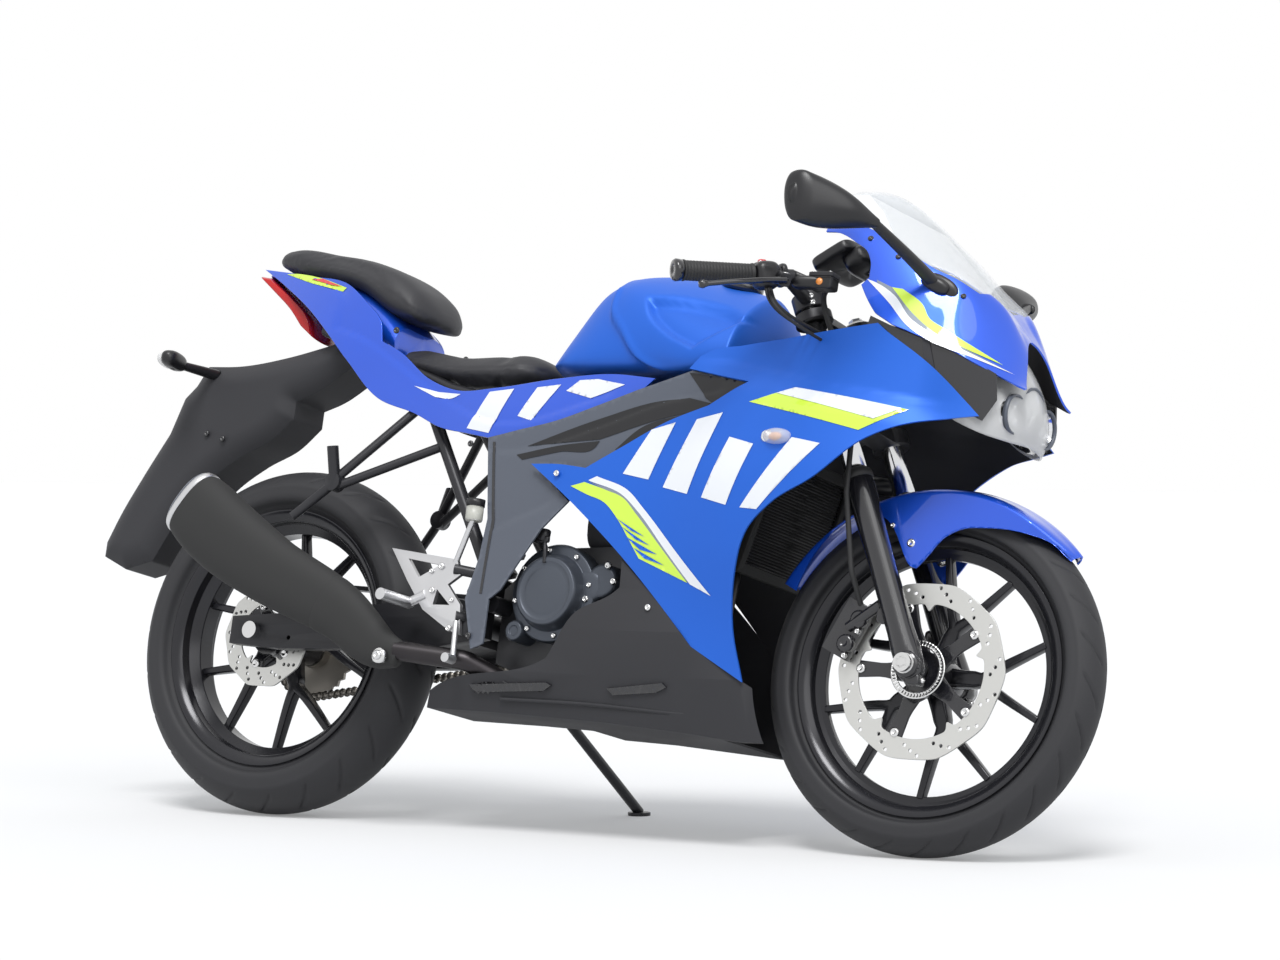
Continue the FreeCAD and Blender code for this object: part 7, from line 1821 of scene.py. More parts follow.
@dataclass
class Fork:
    """The telescopic fork: dark sliders, bright tubes, seals, caps and axle clamps."""

    half: float = 0.095
    slider_top: float = 0.330
    tube_top: float = 0.668

    def build(self) -> None:
        """Make both legs."""
        axis = STANCE.steer_axis
        foot = STANCE.front_axle + np.array([0, -self.half, 0])
        top = self.slider_top
        slider = revolve([(-0.024, 0), (-0.024, 0.012), (-0.018, 0.020), (-0.006, 0.0238), (0.030, 0.0238),
                          (0.060, 0.0222), (top * 0.55, 0.0215), (top * 0.80, 0.0228), (top - 0.030, 0.0238),
                          (top - 0.008, 0.0238), (top, 0.0225), (top, 0.0188), (top, 0)], foot, axis, 48)
        lug = block(foot + axis * 0.088 + [-0.022, 0.004, 0], (0.014, 0.006, 0.014), 4)
        SHOP.piece("fork_sliders", both(slider, lug), GLOSS_BLACK, ["fork_legs"], body="steering")
        cup = revolve([(top - 0.004, 0.0187), (top - 0.004, 0.0248), (top + 0.004, 0.0252),
                       (top + 0.010, 0.0235), (top + 0.013, 0.0205),
                       (top + 0.013, 0.0187)], foot, axis, 48, closed=True)
        SHOP.piece("fork_seals", both(cup), GRIP_RUBBER, body="steering")
        tube = revolve([(top - 0.002, 0), (top - 0.002, 0.0185), (self.tube_top, 0.0185),
                        (self.tube_top, 0)], foot, axis, 40)
        SHOP.piece("fork_tubes", both(tube), BOLT_STEEL, body="steering")
        cap = revolve([(self.tube_top - 0.001, 0), (self.tube_top - 0.001, 0.0165),
                       (self.tube_top + 0.003, 0.0165), (self.tube_top + 0.003, 0.0125),
                       (self.tube_top + 0.009, 0.0120), (self.tube_top + 0.009, 0)], foot, axis, 6)
        SHOP.piece("fork_caps", both(cap), CAST_ALUMINIUM, body="steering", bevel=0.0006)
        self._foot(foot, axis)

    def _foot(self, foot: Array, axis: Array) -> None:
        """Make the axle's clamp with its slot and pinch screw, and the axle nuts."""
        boss = revolve([(-0.024, 0), (-0.024, 0.0195), (-0.021, 0.0215), (0.018, 0.0215), (0.018, 0)],
                       foot, (0, 1, 0), 44)
        clamp = block(foot - axis * 0.024, (0.013, 0.014, 0.009), 5, frame_along((1, 0, 0), axis))
        SHOP.piece("axle_clamps", both(boss, clamp), GLOSS_BLACK, body="steering")
        washer = revolve([(0.022, 0), (0.022, 0.0165), (0.0265, 0.0165), (0.0265, 0)], foot, OUT, 40)
        nut = revolve([(0.0255, 0), (0.0255, 0.0135), (0.0345, 0.0130), (0.036, 0.0105), (0.036, 0.0065),
                       (0.031, 0.006), (0.031, 0)], foot, OUT, 6)
        screw = bolt(foot - axis * 0.024 + [0.0125, 0, 0], (1, 0, 0.2), 0.0045, 0.004)
        SHOP.piece("axle_nuts", both(washer, nut, screw), BOLT_STEEL, body="steering", bevel=0.0004)


FENDER_ANGLES = [41.0, 47.8, 58.0, 70.7, 80.4, 87.6, 92.0, 96.0, 101.0, 105.5, 108.5, 114.0, 124.0, 138.0,
                 153.0]
FENDER_EDGE_MM = [292.0, 289.0, 270.0, 248.0, 233.0, 211.0, 190.0, 176.0, 168.0, 190.0, 240.0, 276.0, 290.0,
                  284.0, 268.0]


@dataclass
class FrontFender:
    """The front fender, a hood round the tyre whose sides reach down beside the fork."""

    crown: float = 0.303
    half: float = 0.058
    start: float = 42.0
    stop: float = 153.0
    wall: float = 0.003
    brow: float = 0.55
    rows: int = 126
    columns: int = 69

    def build(self) -> None:
        """Make the hood and its screws."""
        angle = np.linspace(self.start, self.stop, self.rows)[:, None]
        share = np.linspace(-1, 1, self.columns)[None, :]
        reach = cubic(FENDER_ANGLES, FENDER_EDGE_MM, angle[:, 0])[:, None] / 1000
        size = np.abs(share)
        over = np.clip(size / self.brow, 0, 1) * math.pi / 2
        down = np.clip((size - self.brow) / (1 - self.brow), 0, 1)
        tip = np.sqrt(np.clip((angle - self.start + 0.8) / 16, 0, 1))
        crown = self.crown + 0.004 * np.exp(-(share / 0.10) ** 2)
        shoulder = self.crown - 0.014
        shoulder = np.minimum(shoulder, np.maximum(reach, shoulder - 0.001))
        radius = shoulder + (crown - shoulder) * np.cos(over) ** 0.8
        radius = radius + (np.minimum(reach, shoulder) - shoulder) * down
        width = (self.half * np.sin(over) ** 0.85 + 0.005 * down * (shoulder - reach) / 0.1) * tip
        y = np.sign(share) * width
        turn = np.radians(angle)
        x, z = np.cos(turn) * radius, np.sin(turn) * radius
        hood = grid(np.stack([x, y, z], axis=2) + STANCE.front_axle, flip=True)
        SHOP.piece("fender_hood", hood, SHADED_BLUE, ["front_fender"], body="steering", wall=self.wall,
                   bevel=0.001)
        places = [(1.258, 0.492), (1.222, 0.520)]
        screws = [bolt((x, -self.half - 0.0025, z), OUT, 0.0075 if k == 0 else 0.0045, 0.004)
                  for k, (x, z) in enumerate(places)]
        washer = revolve([(0, 0), (0, 0.0115), (0.0015, 0.0110), (0.0015, 0)],
                         (places[0][0], -self.half - 0.0005, places[0][1]), OUT, 30)
        SHOP.piece("fender_screws", both(*screws, washer), BOLT_STEEL, body="steering")


@dataclass
class FrontBrakes:
    """Small parts at the front brake: piston domes, pins, and the slotted sensor ring."""

    slots: int = 48
    ring_out: float = 0.047
    ring_in: float = 0.037

    def build(self) -> None:
        """Make the domes, pins and ring."""
        axle = STANCE.front_axle
        turn = math.radians(155)
        centre = axle + np.array([math.cos(turn) * 0.128, -0.082, math.sin(turn) * 0.128])
        along = np.array([-math.sin(turn), 0, math.cos(turn)])
        domes = []
        for side in (-1, 1):
            place = centre + along * 0.022 * side
            domes.append(revolve([(-0.004, 0), (-0.004, 0.0155), (0.004, 0.0150), (0.008, 0.0120),
                                  (0.0085, 0.006), (0.0075, 0.0055), (0.0075, 0)], place, OUT, 36))
        SHOP.piece("caliper_domes", joined(domes), GLOSS_BLACK, body="steering")
        pins = [bolt(centre + along * s + [0.010, -0.001, 0], OUT, 0.0052, 0.006)
                for s in (-0.044, 0.0, 0.044)]
        SHOP.piece("caliper_screws", joined(pins), BOLT_STEEL, body="steering")
        self._ring(axle, -0.0700)

    def _ring(self, axle: Array, offset: float) -> None:
        """Cut the sensor ring: a flat band with a row of radial slots."""
        holes = [on_circle(full_turn(72), self.ring_in)]
        corners = np.array([(0.0395, -0.0012), (0.0445, -0.0013), (0.0445, 0.0013), (0.0395, 0.0012)])
        for at in full_turn(self.slots):
            holes.append(corners @ np.array([on_circle(at), on_circle(at + math.pi / 2)]))
        points, tris = filled(on_circle(full_turn(144), self.ring_out), 0.004, holes)
        sheet = Surface(at_side(points, offset), tris=tris)
        SHOP.piece("sensor_ring", sheet.moved(axle), BOLT_STEEL, body="front_wheel",
                   wall=0.0016)


# Engine, exhaust and drive


def screws_round(centre: Array, radius: float, count: int, size: float, turn: float = 0.0) -> list[Surface]:
    """Return screws facing right, evenly spaced on a circle in the side plane."""
    places = centre + at_side(on_circle(full_turn(count, turn), radius), 0)
    return [bolt(place, OUT, size, size * 0.7) for place in places]


@dataclass
class EngineCovers:
    """The round covers on the engine's sides, with their screws and the clutch arm."""

    def build(self) -> None:
        """Make every cover."""
        clutch = pt(0.486, 0, 0.350)
        base = revolve([(0.060, 0), (0.060, 0.080), (0.118, 0.084), (0.124, 0.081), (0.126, 0.076),
                        (0.126, 0.066), (0.131, 0.0625), (0.144, 0.060), (0.149, 0.056), (0.150, 0.050),
                        (0.1475, 0.046), (0.1475, 0.040), (0.150, 0.036), (0.151, 0.0)], clutch, OUT, 72)
        pump = pt(0.556, 0, 0.371)
        small = revolve([(0.060, 0), (0.060, 0.030), (0.118, 0.030), (0.122, 0.027), (0.124, 0.022),
                         (0.1235, 0.010), (0.125, 0.0)], pump, OUT, 48)
        neck = block(pt(0.520, -0.52, 0.362), (0.050, 0.018, 0.030), 3.5)
        sight = pt(0.436, 0, 0.290)
        plug = revolve([(0.06, 0), (0.06, 0.019), (0.128, 0.018), (0.132, 0.015), (0.132, 0.009),
                        (0.1295, 0.008), (0.1295, 0)], sight, OUT, 36)
        SHOP.piece("clutch_covers", joined([base, small, neck, plug]), ENGINE_GREY, ["engine_covers"],
                   bevel=0.0008)
        face = clutch + OUT * 0.127
        screws = screws_round(face, 0.0735, 8, 0.0050, 0.2)
        screws += [bolt(pt(x, 0, z) + OUT * 0.1245, OUT, 0.0065, 0.005)
                   for x, z in ((0.566, 0.394), (0.577, 0.370), (0.538, 0.342))]
        SHOP.piece("cover_screws", joined(screws), BOLT_STEEL)
        left = revolve([(0.060, 0), (0.060, 0.066), (0.128, 0.066), (0.135, 0.062), (0.138, 0.054),
                        (0.1375, 0.030), (0.139, 0.0)], pt(0.545, 0, 0.320), -OUT, 64)
        SHOP.piece("alternator_dome", left, ENGINE_GREY, bevel=0.0008)
        places = pt(0.545, 0, 0.320) - OUT * 0.134 + at_side(on_circle(full_turn(6), 0.058), 0)
        rim = [bolt(place, -OUT, 0.0045, 0.005) for place in places]
        SHOP.piece("alternator_screws", joined(rim), BOLT_STEEL)
        self._arm()

    def _arm(self) -> None:
        """Make the clutch arm: a thin rod from its boss above to the cover's rim."""
        high, low = pt(0.470, -0.660, 0.436), pt(0.480, -0.700, 0.392)
        rod = pipe([high, (high + low) / 2 + [0.004, -0.004, 0], low], 0.0035, 20, 12)
        boss = revolve([(-0.010, 0), (-0.010, 0.010), (0.008, 0.010), (0.010, 0.008), (0.010, 0)], high,
                       (0, 0.1, 1), 24)
        arm = block((high * 0.6 + low * 0.4) + [-0.012, 0, 0.012], (0.020, 0.005, 0.006), 4)
        SHOP.piece("clutch_arm", joined([rod, boss, arm]), FRAME_BLACK)


@dataclass
class Muffler:
    """The oval silencer: a slim front shell, the can, its bright band and end cap."""

    path_shares: tuple[tuple[float, float, float], ...] = (
        (0.287, -0.830, 0.240), (0.262, -0.845, 0.246), (0.190, -0.880, 0.300), (0.060, -0.925, 0.368),
        (-0.020, -0.940, 0.420), (-0.086, -0.950, 0.476))
    flat_share: float = 0.62
    steps: int = 140
    can: tuple[int, int] = (44, 136)

    def build(self) -> None:
        """Make the silencer's shells, band and fastening."""
        path = smooth_path(np.array([pt(*p) for p in self.path_shares]), self.steps)
        share = np.linspace(0, 1, self.steps)
        radius = cubic([0, 0.06, 0.26, 0.55, 0.80, 0.90, 1.0],
                       [0.022, 0.033, 0.048, 0.059, 0.0675, 0.0672, 0.0600], share)
        first, last = self.can
        order = np.arange(last - first)
        swell = 1 - 0.03 * (1 - np.clip(np.minimum(order, order[::-1]) / 3, 0, 1)) ** 2
        can = self._bar(path[first:last], radius[first:last] * swell)
        SHOP.piece("silencer_can", can, MUFFLER_BLACK, ["muffler"])
        stop = first + 3
        shell = radius[:stop] * np.interp(np.arange(stop), [0, stop - 4, stop - 1], [1.0, 1.0, 0.97]) * 1.015
        SHOP.piece("silencer_front", self._bar(path[:stop], shell), MUFFLER_BLACK)
        band = slice(last - 2, last + 2)
        ring = self._bar(path[band], radius[band] * [1.004, 1.016, 1.016, 1.004])
        SHOP.piece("silencer_band", ring, CAST_ALUMINIUM)
        cap = self._bar(path[-3:], radius[-3:] * [0.985, 0.95, 0.86])
        SHOP.piece("silencer_cap", cap, COVER_GREY)
        back = path[-1] - path[-4]
        outlet = revolve([(-0.004, 0), (-0.004, 0.020), (0.004, 0.020), (0.0045, 0.0165), (-0.002, 0.015),
                          (-0.002, 0)], path[-1] + [0, 0.004, -0.012], back, 36)
        SHOP.piece("silencer_outlet", outlet, FRAME_BLACK)
        place = pt(0.272, -0.845, 0.233) - np.array([0, 0.030, 0])
        washer = revolve([(-0.010, 0), (-0.010, 0.013), (0.002, 0.013), (0.003, 0.010), (0.003, 0)], place,
                         OUT, 30)
        SHOP.piece("silencer_screw", joined([washer, bolt(place + OUT * 0.003, OUT, 0.0085, 0.006)]),
                   BOLT_STEEL)

    def _bar(self, path: Array, radius: Array) -> Surface:
        """Carry the oval section along a stretch of the silencer."""
        sizes = np.stack([radius * self.flat_share, radius], axis=1)
        return along_path(path, (0, 1, 0), sizes, superellipse(2.5, 56))


@dataclass
class DriveChain:
    """The roller chain round both sprockets: plates in pairs and rollers between them."""

    offset: float = 0.076
    pitch: float = 0.0127
    rear_radius: float = 0.0855
    front_radius: float = 0.0268
    front: tuple[float, float] = (0.418, 0.305)

    def build(self) -> None:
        """Make all the links as copies of one few-sided link."""
        places, ways = self._route()
        link = self._link()
        up = np.stack([-ways[:, 1], ways[:, 0]], axis=1)
        odd = np.where(np.arange(len(places)) % 2, 0.0012, 0.0)
        along, across, high = link.points.T
        x = places[:, :1] + along * ways[:, :1] + high * up[:, :1]
        y = self.offset + across + np.sign(across) * odd[:, None]
        z = places[:, 1:] + along * ways[:, 1:] + high * up[:, 1:]
        points = np.stack([x, y, z], axis=2).reshape(-1, 3)
        shift = (np.arange(len(places)) * len(link.points))[:, None, None]
        quads = (link.quads[None] + shift).reshape(-1, 4)
        tris = (link.tris[None] + shift).reshape(-1, 3)
        SHOP.piece("roller_chain", Surface(points, quads, tris), CHAIN_STEEL, ["drive_chain"], smooth=False)

    def _route(self) -> tuple[Array, Array]:
        """Return the links' middles and directions along the closed belt round both circles."""
        rear = np.array([0.0, REAR_TYRE_RADIUS])
        ahead = np.array([self.front[0] * WHEELBASE, self.front[1] * HEIGHT])
        way = (ahead - rear) / np.linalg.norm(ahead - rear)
        lean = math.acos((self.rear_radius - self.front_radius) / np.linalg.norm(ahead - rear))
        base = math.atan2(way[1], way[0])
        back = np.linspace(base + lean, base + 2 * math.pi - lean, 90)
        fore = np.linspace(base - lean, base + lean, 40)
        ring = np.concatenate([rear + on_circle(back, self.rear_radius),
                               ahead + on_circle(fore, self.front_radius)])
        ring = np.concatenate([ring, ring[:1]])
        run = np.concatenate([[0], np.cumsum(np.linalg.norm(np.diff(ring, axis=0), axis=1))])
        count = int(run[-1] / self.pitch) // 2 * 2
        at = np.arange(count) * run[-1] / count
        places = np.stack([np.interp(at, run, ring[:, k]) for k in (0, 1)], axis=1)
        ways = np.roll(places, -1, axis=0) - np.roll(places, 1, axis=0)
        return places, ways / np.linalg.norm(ways, axis=1, keepdims=True)

    def _link(self) -> Surface:
        """Return one link: two waisted plates and a six-sided roller."""
        turn = full_turn(12)
        x = 0.0078 * np.sign(np.cos(turn)) * np.abs(np.cos(turn)) ** 0.7
        plate = np.stack([x, 0.0054 * np.sin(turn) * (1 - 0.25 * np.cos(turn * 2))], axis=1)
        plates = []
        for low, high in ((-0.0066, -0.0050), (0.0050, 0.0066)):
            plates.append(closed_loft(np.array([at_side(plate, y) for y in (low, high)])))
        roller = revolve([(-0.005, 0), (-0.005, 0.0038), (0.005, 0.0038), (0.005, 0)], (0.00635, 0, 0),
                         (0, 1, 0), 6)
        return joined(plates + [roller])


@dataclass
class Radiator:
    """The radiator behind the front wheel: frame, tubes and a stack of thin fins."""

    low: tuple[float, float] = (0.750, 0.392)
    high: tuple[float, float] = (0.792, 0.577)
    half: float = 0.124
    depth: float = 0.026
    fins: int = 36

    def build(self) -> None:
        """Make the frame and the fins."""
        low, high = flat([self.low])[0], flat([self.high])[0]
        way = (high - low) / np.linalg.norm(high - low)
        length = float(np.linalg.norm(high - low))
        turn = frame_along((way[0], 0, way[1]), (-way[1], 0, way[0]))
        centre = np.array([(low[0] + high[0]) / 2, 0, (low[1] + high[1]) / 2])
        parts = [block(centre + turn @ [s * length * 0.46, 0, 0],
                       (length * 0.045, self.half, self.depth * 0.5), 8, turn) for s in (-1, 1)]
        parts += [block(centre + turn @ [0, s * self.half * 0.95, 0],
                        (length * 0.5, self.half * 0.06, self.depth * 0.5), 8, turn) for s in (-1, 1)]
        parts.append(block(centre, (length * 0.42, self.half * 0.90, self.depth * 0.22), 8, turn))
        SHOP.piece("radiator_frame", joined(parts), RADIATOR_BLACK, ["radiator"])
        fin = block((0, 0, 0), (0.0009, self.half * 0.90, self.depth * 0.42), 8, turn, 6)
        places = [centre + turn @ [s, 0, 0] for s in np.linspace(-0.41, 0.41, self.fins) * length]
        SHOP.piece("radiator_fins", joined([fin.moved(place) for place in places]), COVER_BLACK)


# Rear mudguard, pan trim and instruments


def pillow(edge: Array, half: float, rounding: float, spacing: float = 0.006) -> Surface:
    """Return a closed body over a side outline, its flanks rounded towards the edge.

    The half width falls by the rounding as the square of the nearness to the edge
    within twice the rounding; a flat rim joins the two flanks.
    """
    points, tris = filled(edge, spacing)
    reach = np.clip(edge_distance(points, edge) / (2 * rounding), 0, 1)
    flank = Surface(at_side(points, rounding * (1 - reach) ** 2 - half), tris=tris)
    rings = [at_side(edge, side * (half - rounding)) for side in (-1, 1)]
    turned = ((edge * np.roll(edge, -1, axis=0)[:, ::-1]) @ [1, -1]).sum() > 0
    rim = grid(np.array(rings), wrap_v=True, flip=not turned)
    return joined([flank, flank.mirrored(), rim])


MUDGUARD_RUNS = [[(-0.132, 0.729), (-0.048, 0.743), (0.022, 0.762)], [(0.045, 0.772)],
                 [(0.085, 0.740)], [(0.060, 0.722)], [(0.007, 0.683), (-0.025, 0.669)], [(-0.025, 0.640)],
                 [(-0.057, 0.606), (-0.110, 0.575), (-0.160, 0.535), (-0.205, 0.470), (-0.240, 0.400)],
                 [(-0.285, 0.385)], [(-0.327, 0.406)], [(-0.327, 0.430)],
                 [(-0.310, 0.475), (-0.276, 0.547), (-0.241, 0.615)], [(-0.223, 0.675)], [(-0.205, 0.696)],
                 [(-0.188, 0.729)]]
POT_SHARE = (0.371, -0.79, 0.452)
POT_RADIUS = 0.014
POT_HEIGHT = 0.036
SCOOP_RUNS = [[[(0.385, 0.203)], [(0.505, 0.210)], [(0.512, 0.206)], [(0.500, 0.198)], [(0.392, 0.192)]],
              [[(0.597, 0.205)], [(0.680, 0.216)], [(0.686, 0.210)], [(0.670, 0.202)], [(0.605, 0.196)]]]
PAN_LINE_RUNS = [[(0.430, 0.186)], [(0.560, 0.184), (0.700, 0.176), (0.806, 0.172)], [(0.806, 0.167)],
                 [(0.700, 0.171), (0.560, 0.179), (0.430, 0.181)]]


@dataclass
class Trim:
    """Pieces that finish the tail, the pan, the middle and the cockpit."""

    mudguard_half: float = 0.062

    def build(self) -> None:
        """Make the mudguard, the pan's scoops, the intake box, the meter and the fluid pot."""
        guard = pillow(outline(MUDGUARD_RUNS), self.mudguard_half, 0.020)
        SHOP.piece("rear_mudguard", guard, MATTE_BLACK, ["rear_fender"])
        scoops = [side_sheet(outline(runs, 0.005), self._pan_depth, 0.008, 0.0050) for runs in SCOOP_RUNS]
        SHOP.piece("pan_scoops", both(*scoops), GLOSS_BLACK, wall=0.005, bevel=0.0006)
        line = side_sheet(outline(PAN_LINE_RUNS, 0.006), self._pan_depth, 0.008, 0.0034)
        SHOP.piece("pan_lines", both(line), MATTE_BLACK, wall=0.003)
        screw = bolt(pt(0.653, 0, 0.326) + OUT * self._pan_depth(np.array([0.849]), np.array([0.359]))[0],
                     OUT, 0.006, 0.004)
        SHOP.piece("pan_screws", both(screw), BOLT_STEEL)
        box = block(pt(0.548, 0, 0.492), (0.078, 0.075, 0.078), 5)
        SHOP.piece("intake_box", box, MATTE_BLACK)
        self._meter()
        self._pot()

    def _pan_depth(self, x: Array, z: Array) -> Array:
        """Return the pan's half width: straight between its rows, narrowed ahead."""
        wall = np.interp(z / HEIGHT, [0.16, 0.225, 0.29, 0.40], [0.57, 0.70, 0.755, 0.80])
        narrow = np.interp(x / WHEELBASE, [0.300, 0.425, 0.702, 0.785, 0.826],
                           [0.56, 0.57, 0.57, 0.53, 0.47]) / 0.57
        return wall * narrow * HALF_WIDTH

    def _meter(self) -> None:
        """Make the instrument slab, its face and the arm that joins it to the stay."""
        tilt = frame_along((0.86, 0.0, 0.50))
        centre = np.array([1.052, 0.0, 0.975])
        body = block(centre, (0.040, 0.068, 0.011), 6, tilt)
        hood = block(centre + tilt @ [0.030, 0, -0.020], (0.026, 0.052, 0.020), 3.5, tilt)
        arm = block(np.array([1.115, 0.0, 0.962]), (0.058, 0.014, 0.010), 4, frame_along((1.0, 0, -0.12)))
        SHOP.piece("meter_case", joined([body, hood, arm]), COVER_BLACK)
        face = block(centre + tilt @ [0.0, 0, 0.0104], (0.034, 0.060, 0.0012), 8, tilt, 16)
        SHOP.piece("meter_face", face, MATTE_BLACK)

    def _pot(self) -> None:
        """Make the rear brake's pale fluid pot and its dark lid."""
        foot = pt(*POT_SHARE)
        height, radius = POT_HEIGHT, POT_RADIUS + 0.0008
        pot = revolve([(-0.001, 0), (-0.001, radius * 0.9), (0.002, radius), (height * 0.68, radius),
                       (height * 0.68, 0)], foot, UP, 36)
        SHOP.piece("rear_fluid_pot", pot, FLUID_WHITE)
        lid = revolve([(height * 0.68, 0), (height * 0.68, radius + 0.001),
                       (height + 0.0005, radius + 0.001), (height + 0.001, radius * 0.8),
                       (height + 0.001, 0)], foot, UP, 36)
        SHOP.piece("rear_fluid_lid", lid, COVER_BLACK)


# Lamps and small fastenings


@dataclass
class Lamps:
    """The rear lamp and the four indicators."""

    rear_half: float = 0.040

    def build(self) -> None:
        """Make the rear lamp and the indicators."""
        edge = outline([[(-0.129, 0.888)], [(-0.098, 0.860), (-0.057, 0.821), (-0.032, 0.789)],
                        [(-0.012, 0.772)], [(-0.020, 0.800), (-0.060, 0.845), (-0.112, 0.885)]], 0.004)
        middle = edge.mean(0)
        rows = []
        for share in np.sin(np.linspace(-math.pi / 2, math.pi / 2, 25)):
            size = 0.80 + 0.20 * math.sqrt(max(0.0, 1 - share ** 2))
            rows.append(at_side(middle + (edge - middle) * size, share * self.rear_half))
        lens = closed_loft(np.array(rows))
        SHOP.piece("rear_lamp", lens, LENS_RED, ["taillight"])
        self._front_indicators()
        self._rear_indicators()

    def _front_indicators(self) -> None:
        """Make the front indicators: dark socket, clear bulbous lens and amber bulb."""
        centre = pt(0.826, -0.93, 0.577)
        turn = frame_along((0.95, -0.55, -0.05))
        socket = block(centre + [-0.006, 0.030, 0], (0.030, 0.030, 0.015), 2.6, turn)
        SHOP.piece("front_indicator_sockets", both(socket), COVER_BLACK, ["signals"])
        lens = block(centre + turn @ [0.004, 0.0, 0.0], (0.029, 0.020, 0.0135), 2.3, turn)
        SHOP.piece("front_indicator_lenses", both(lens), LENS_CLEAR)
        bulb = block(centre + turn @ [0.000, 0.0, 0.0], (0.014, 0.011, 0.008), 2.2, turn, 18)
        SHOP.piece("front_indicator_bulbs", both(bulb), AMBER)
        rim = block(centre + turn @ [-0.016, 0.0, 0.0], (0.010, 0.018, 0.0125), 2.6, turn, 18)
        SHOP.piece("front_indicator_rims", both(rim), REFLECTOR)

    def _rear_indicators(self) -> None:
        """Make the rear indicators on their rubber stalks."""
        inner, outer = pt(-0.165, -0.24, 0.712), pt(-0.182, -0.62, 0.712)
        path = np.linspace(inner, outer, 14)
        stalk = along_path(path, UP, np.stack([np.linspace(0.010, 0.0075, 14)] * 2, axis=1),
                           superellipse(2.4, 20))
        pod_centre = outer + [-0.004, -0.024, 0.002]
        turn = frame_along((0.25, -1.0, 0.03))
        pod = block(pod_centre + [0.008, 0, 0], (0.036, 0.016, 0.0155), 2.7, turn)
        lens = block(pod_centre + [-0.006, 0, 0], (0.031, 0.014, 0.0125), 2.4, turn)
        SHOP.piece("rear_indicator_pods", both(stalk, pod), COVER_BLACK)
        SHOP.piece("rear_indicator_lenses", both(lens), LENS_CLEAR)


@dataclass
class Fastenings:
    """Screws over the body work, and the rear axle's nut."""

    def build(self) -> None:
        """Set the screws by material."""
        dark = [(0.168, -0.500, 0.770, 0.0060), (-0.160, -0.310, 0.611, 0.0055),
                (-0.130, -0.315, 0.602, 0.0055), (0.347, -0.765, 0.574, 0.0055),
                (0.384, -0.770, 0.275, 0.0055)]
        bright = [(0.499, -0.860, 0.524, 0.0055), (0.325, -0.752, 0.382, 0.0060),
                  (0.310, -0.752, 0.374, 0.0045), (0.315, -0.752, 0.344, 0.0055),
                  (0.348, -0.752, 0.330, 0.0045), (0.349, -0.752, 0.286, 0.0060)]
        groups = (("dark_screws", GLOSS_BLACK, dark), ("bright_screws", BOLT_STEEL, bright))
        for name, finish, places in groups:
            screws = [bolt(pt(x, y, z), OUT, size, size * 0.6) for x, y, z, size in places]
            SHOP.piece(name, both(*screws), finish)
        self._rear_axle()

    def _rear_axle(self) -> None:
        """Make the rear axle's washer and castle nut, a few-sided revolution."""
        place = np.array([0.0, -0.110, REAR_TYRE_RADIUS])
        washer = revolve([(-0.006, 0), (-0.006, 0.019), (0.001, 0.019), (0.001, 0)], place, OUT, 40)
        nut = revolve([(0.001, 0), (0.001, 0.0150), (0.011, 0.0145), (0.0125, 0.012), (0.0125, 0.007),
                       (0.008, 0.0065), (0.008, 0)], place, OUT, 6)
        SHOP.piece("rear_axle_nut", joined([washer, nut]), BOLT_STEEL, bevel=0.0005)


# Running everything


def cad_material(node: str, finish: Finish) -> None:
    """Give a CAD node that stays in view its finish."""
    mesh = frame["nodes"][node].data
    mesh.materials.clear()
    mesh.materials.append(finish.material())


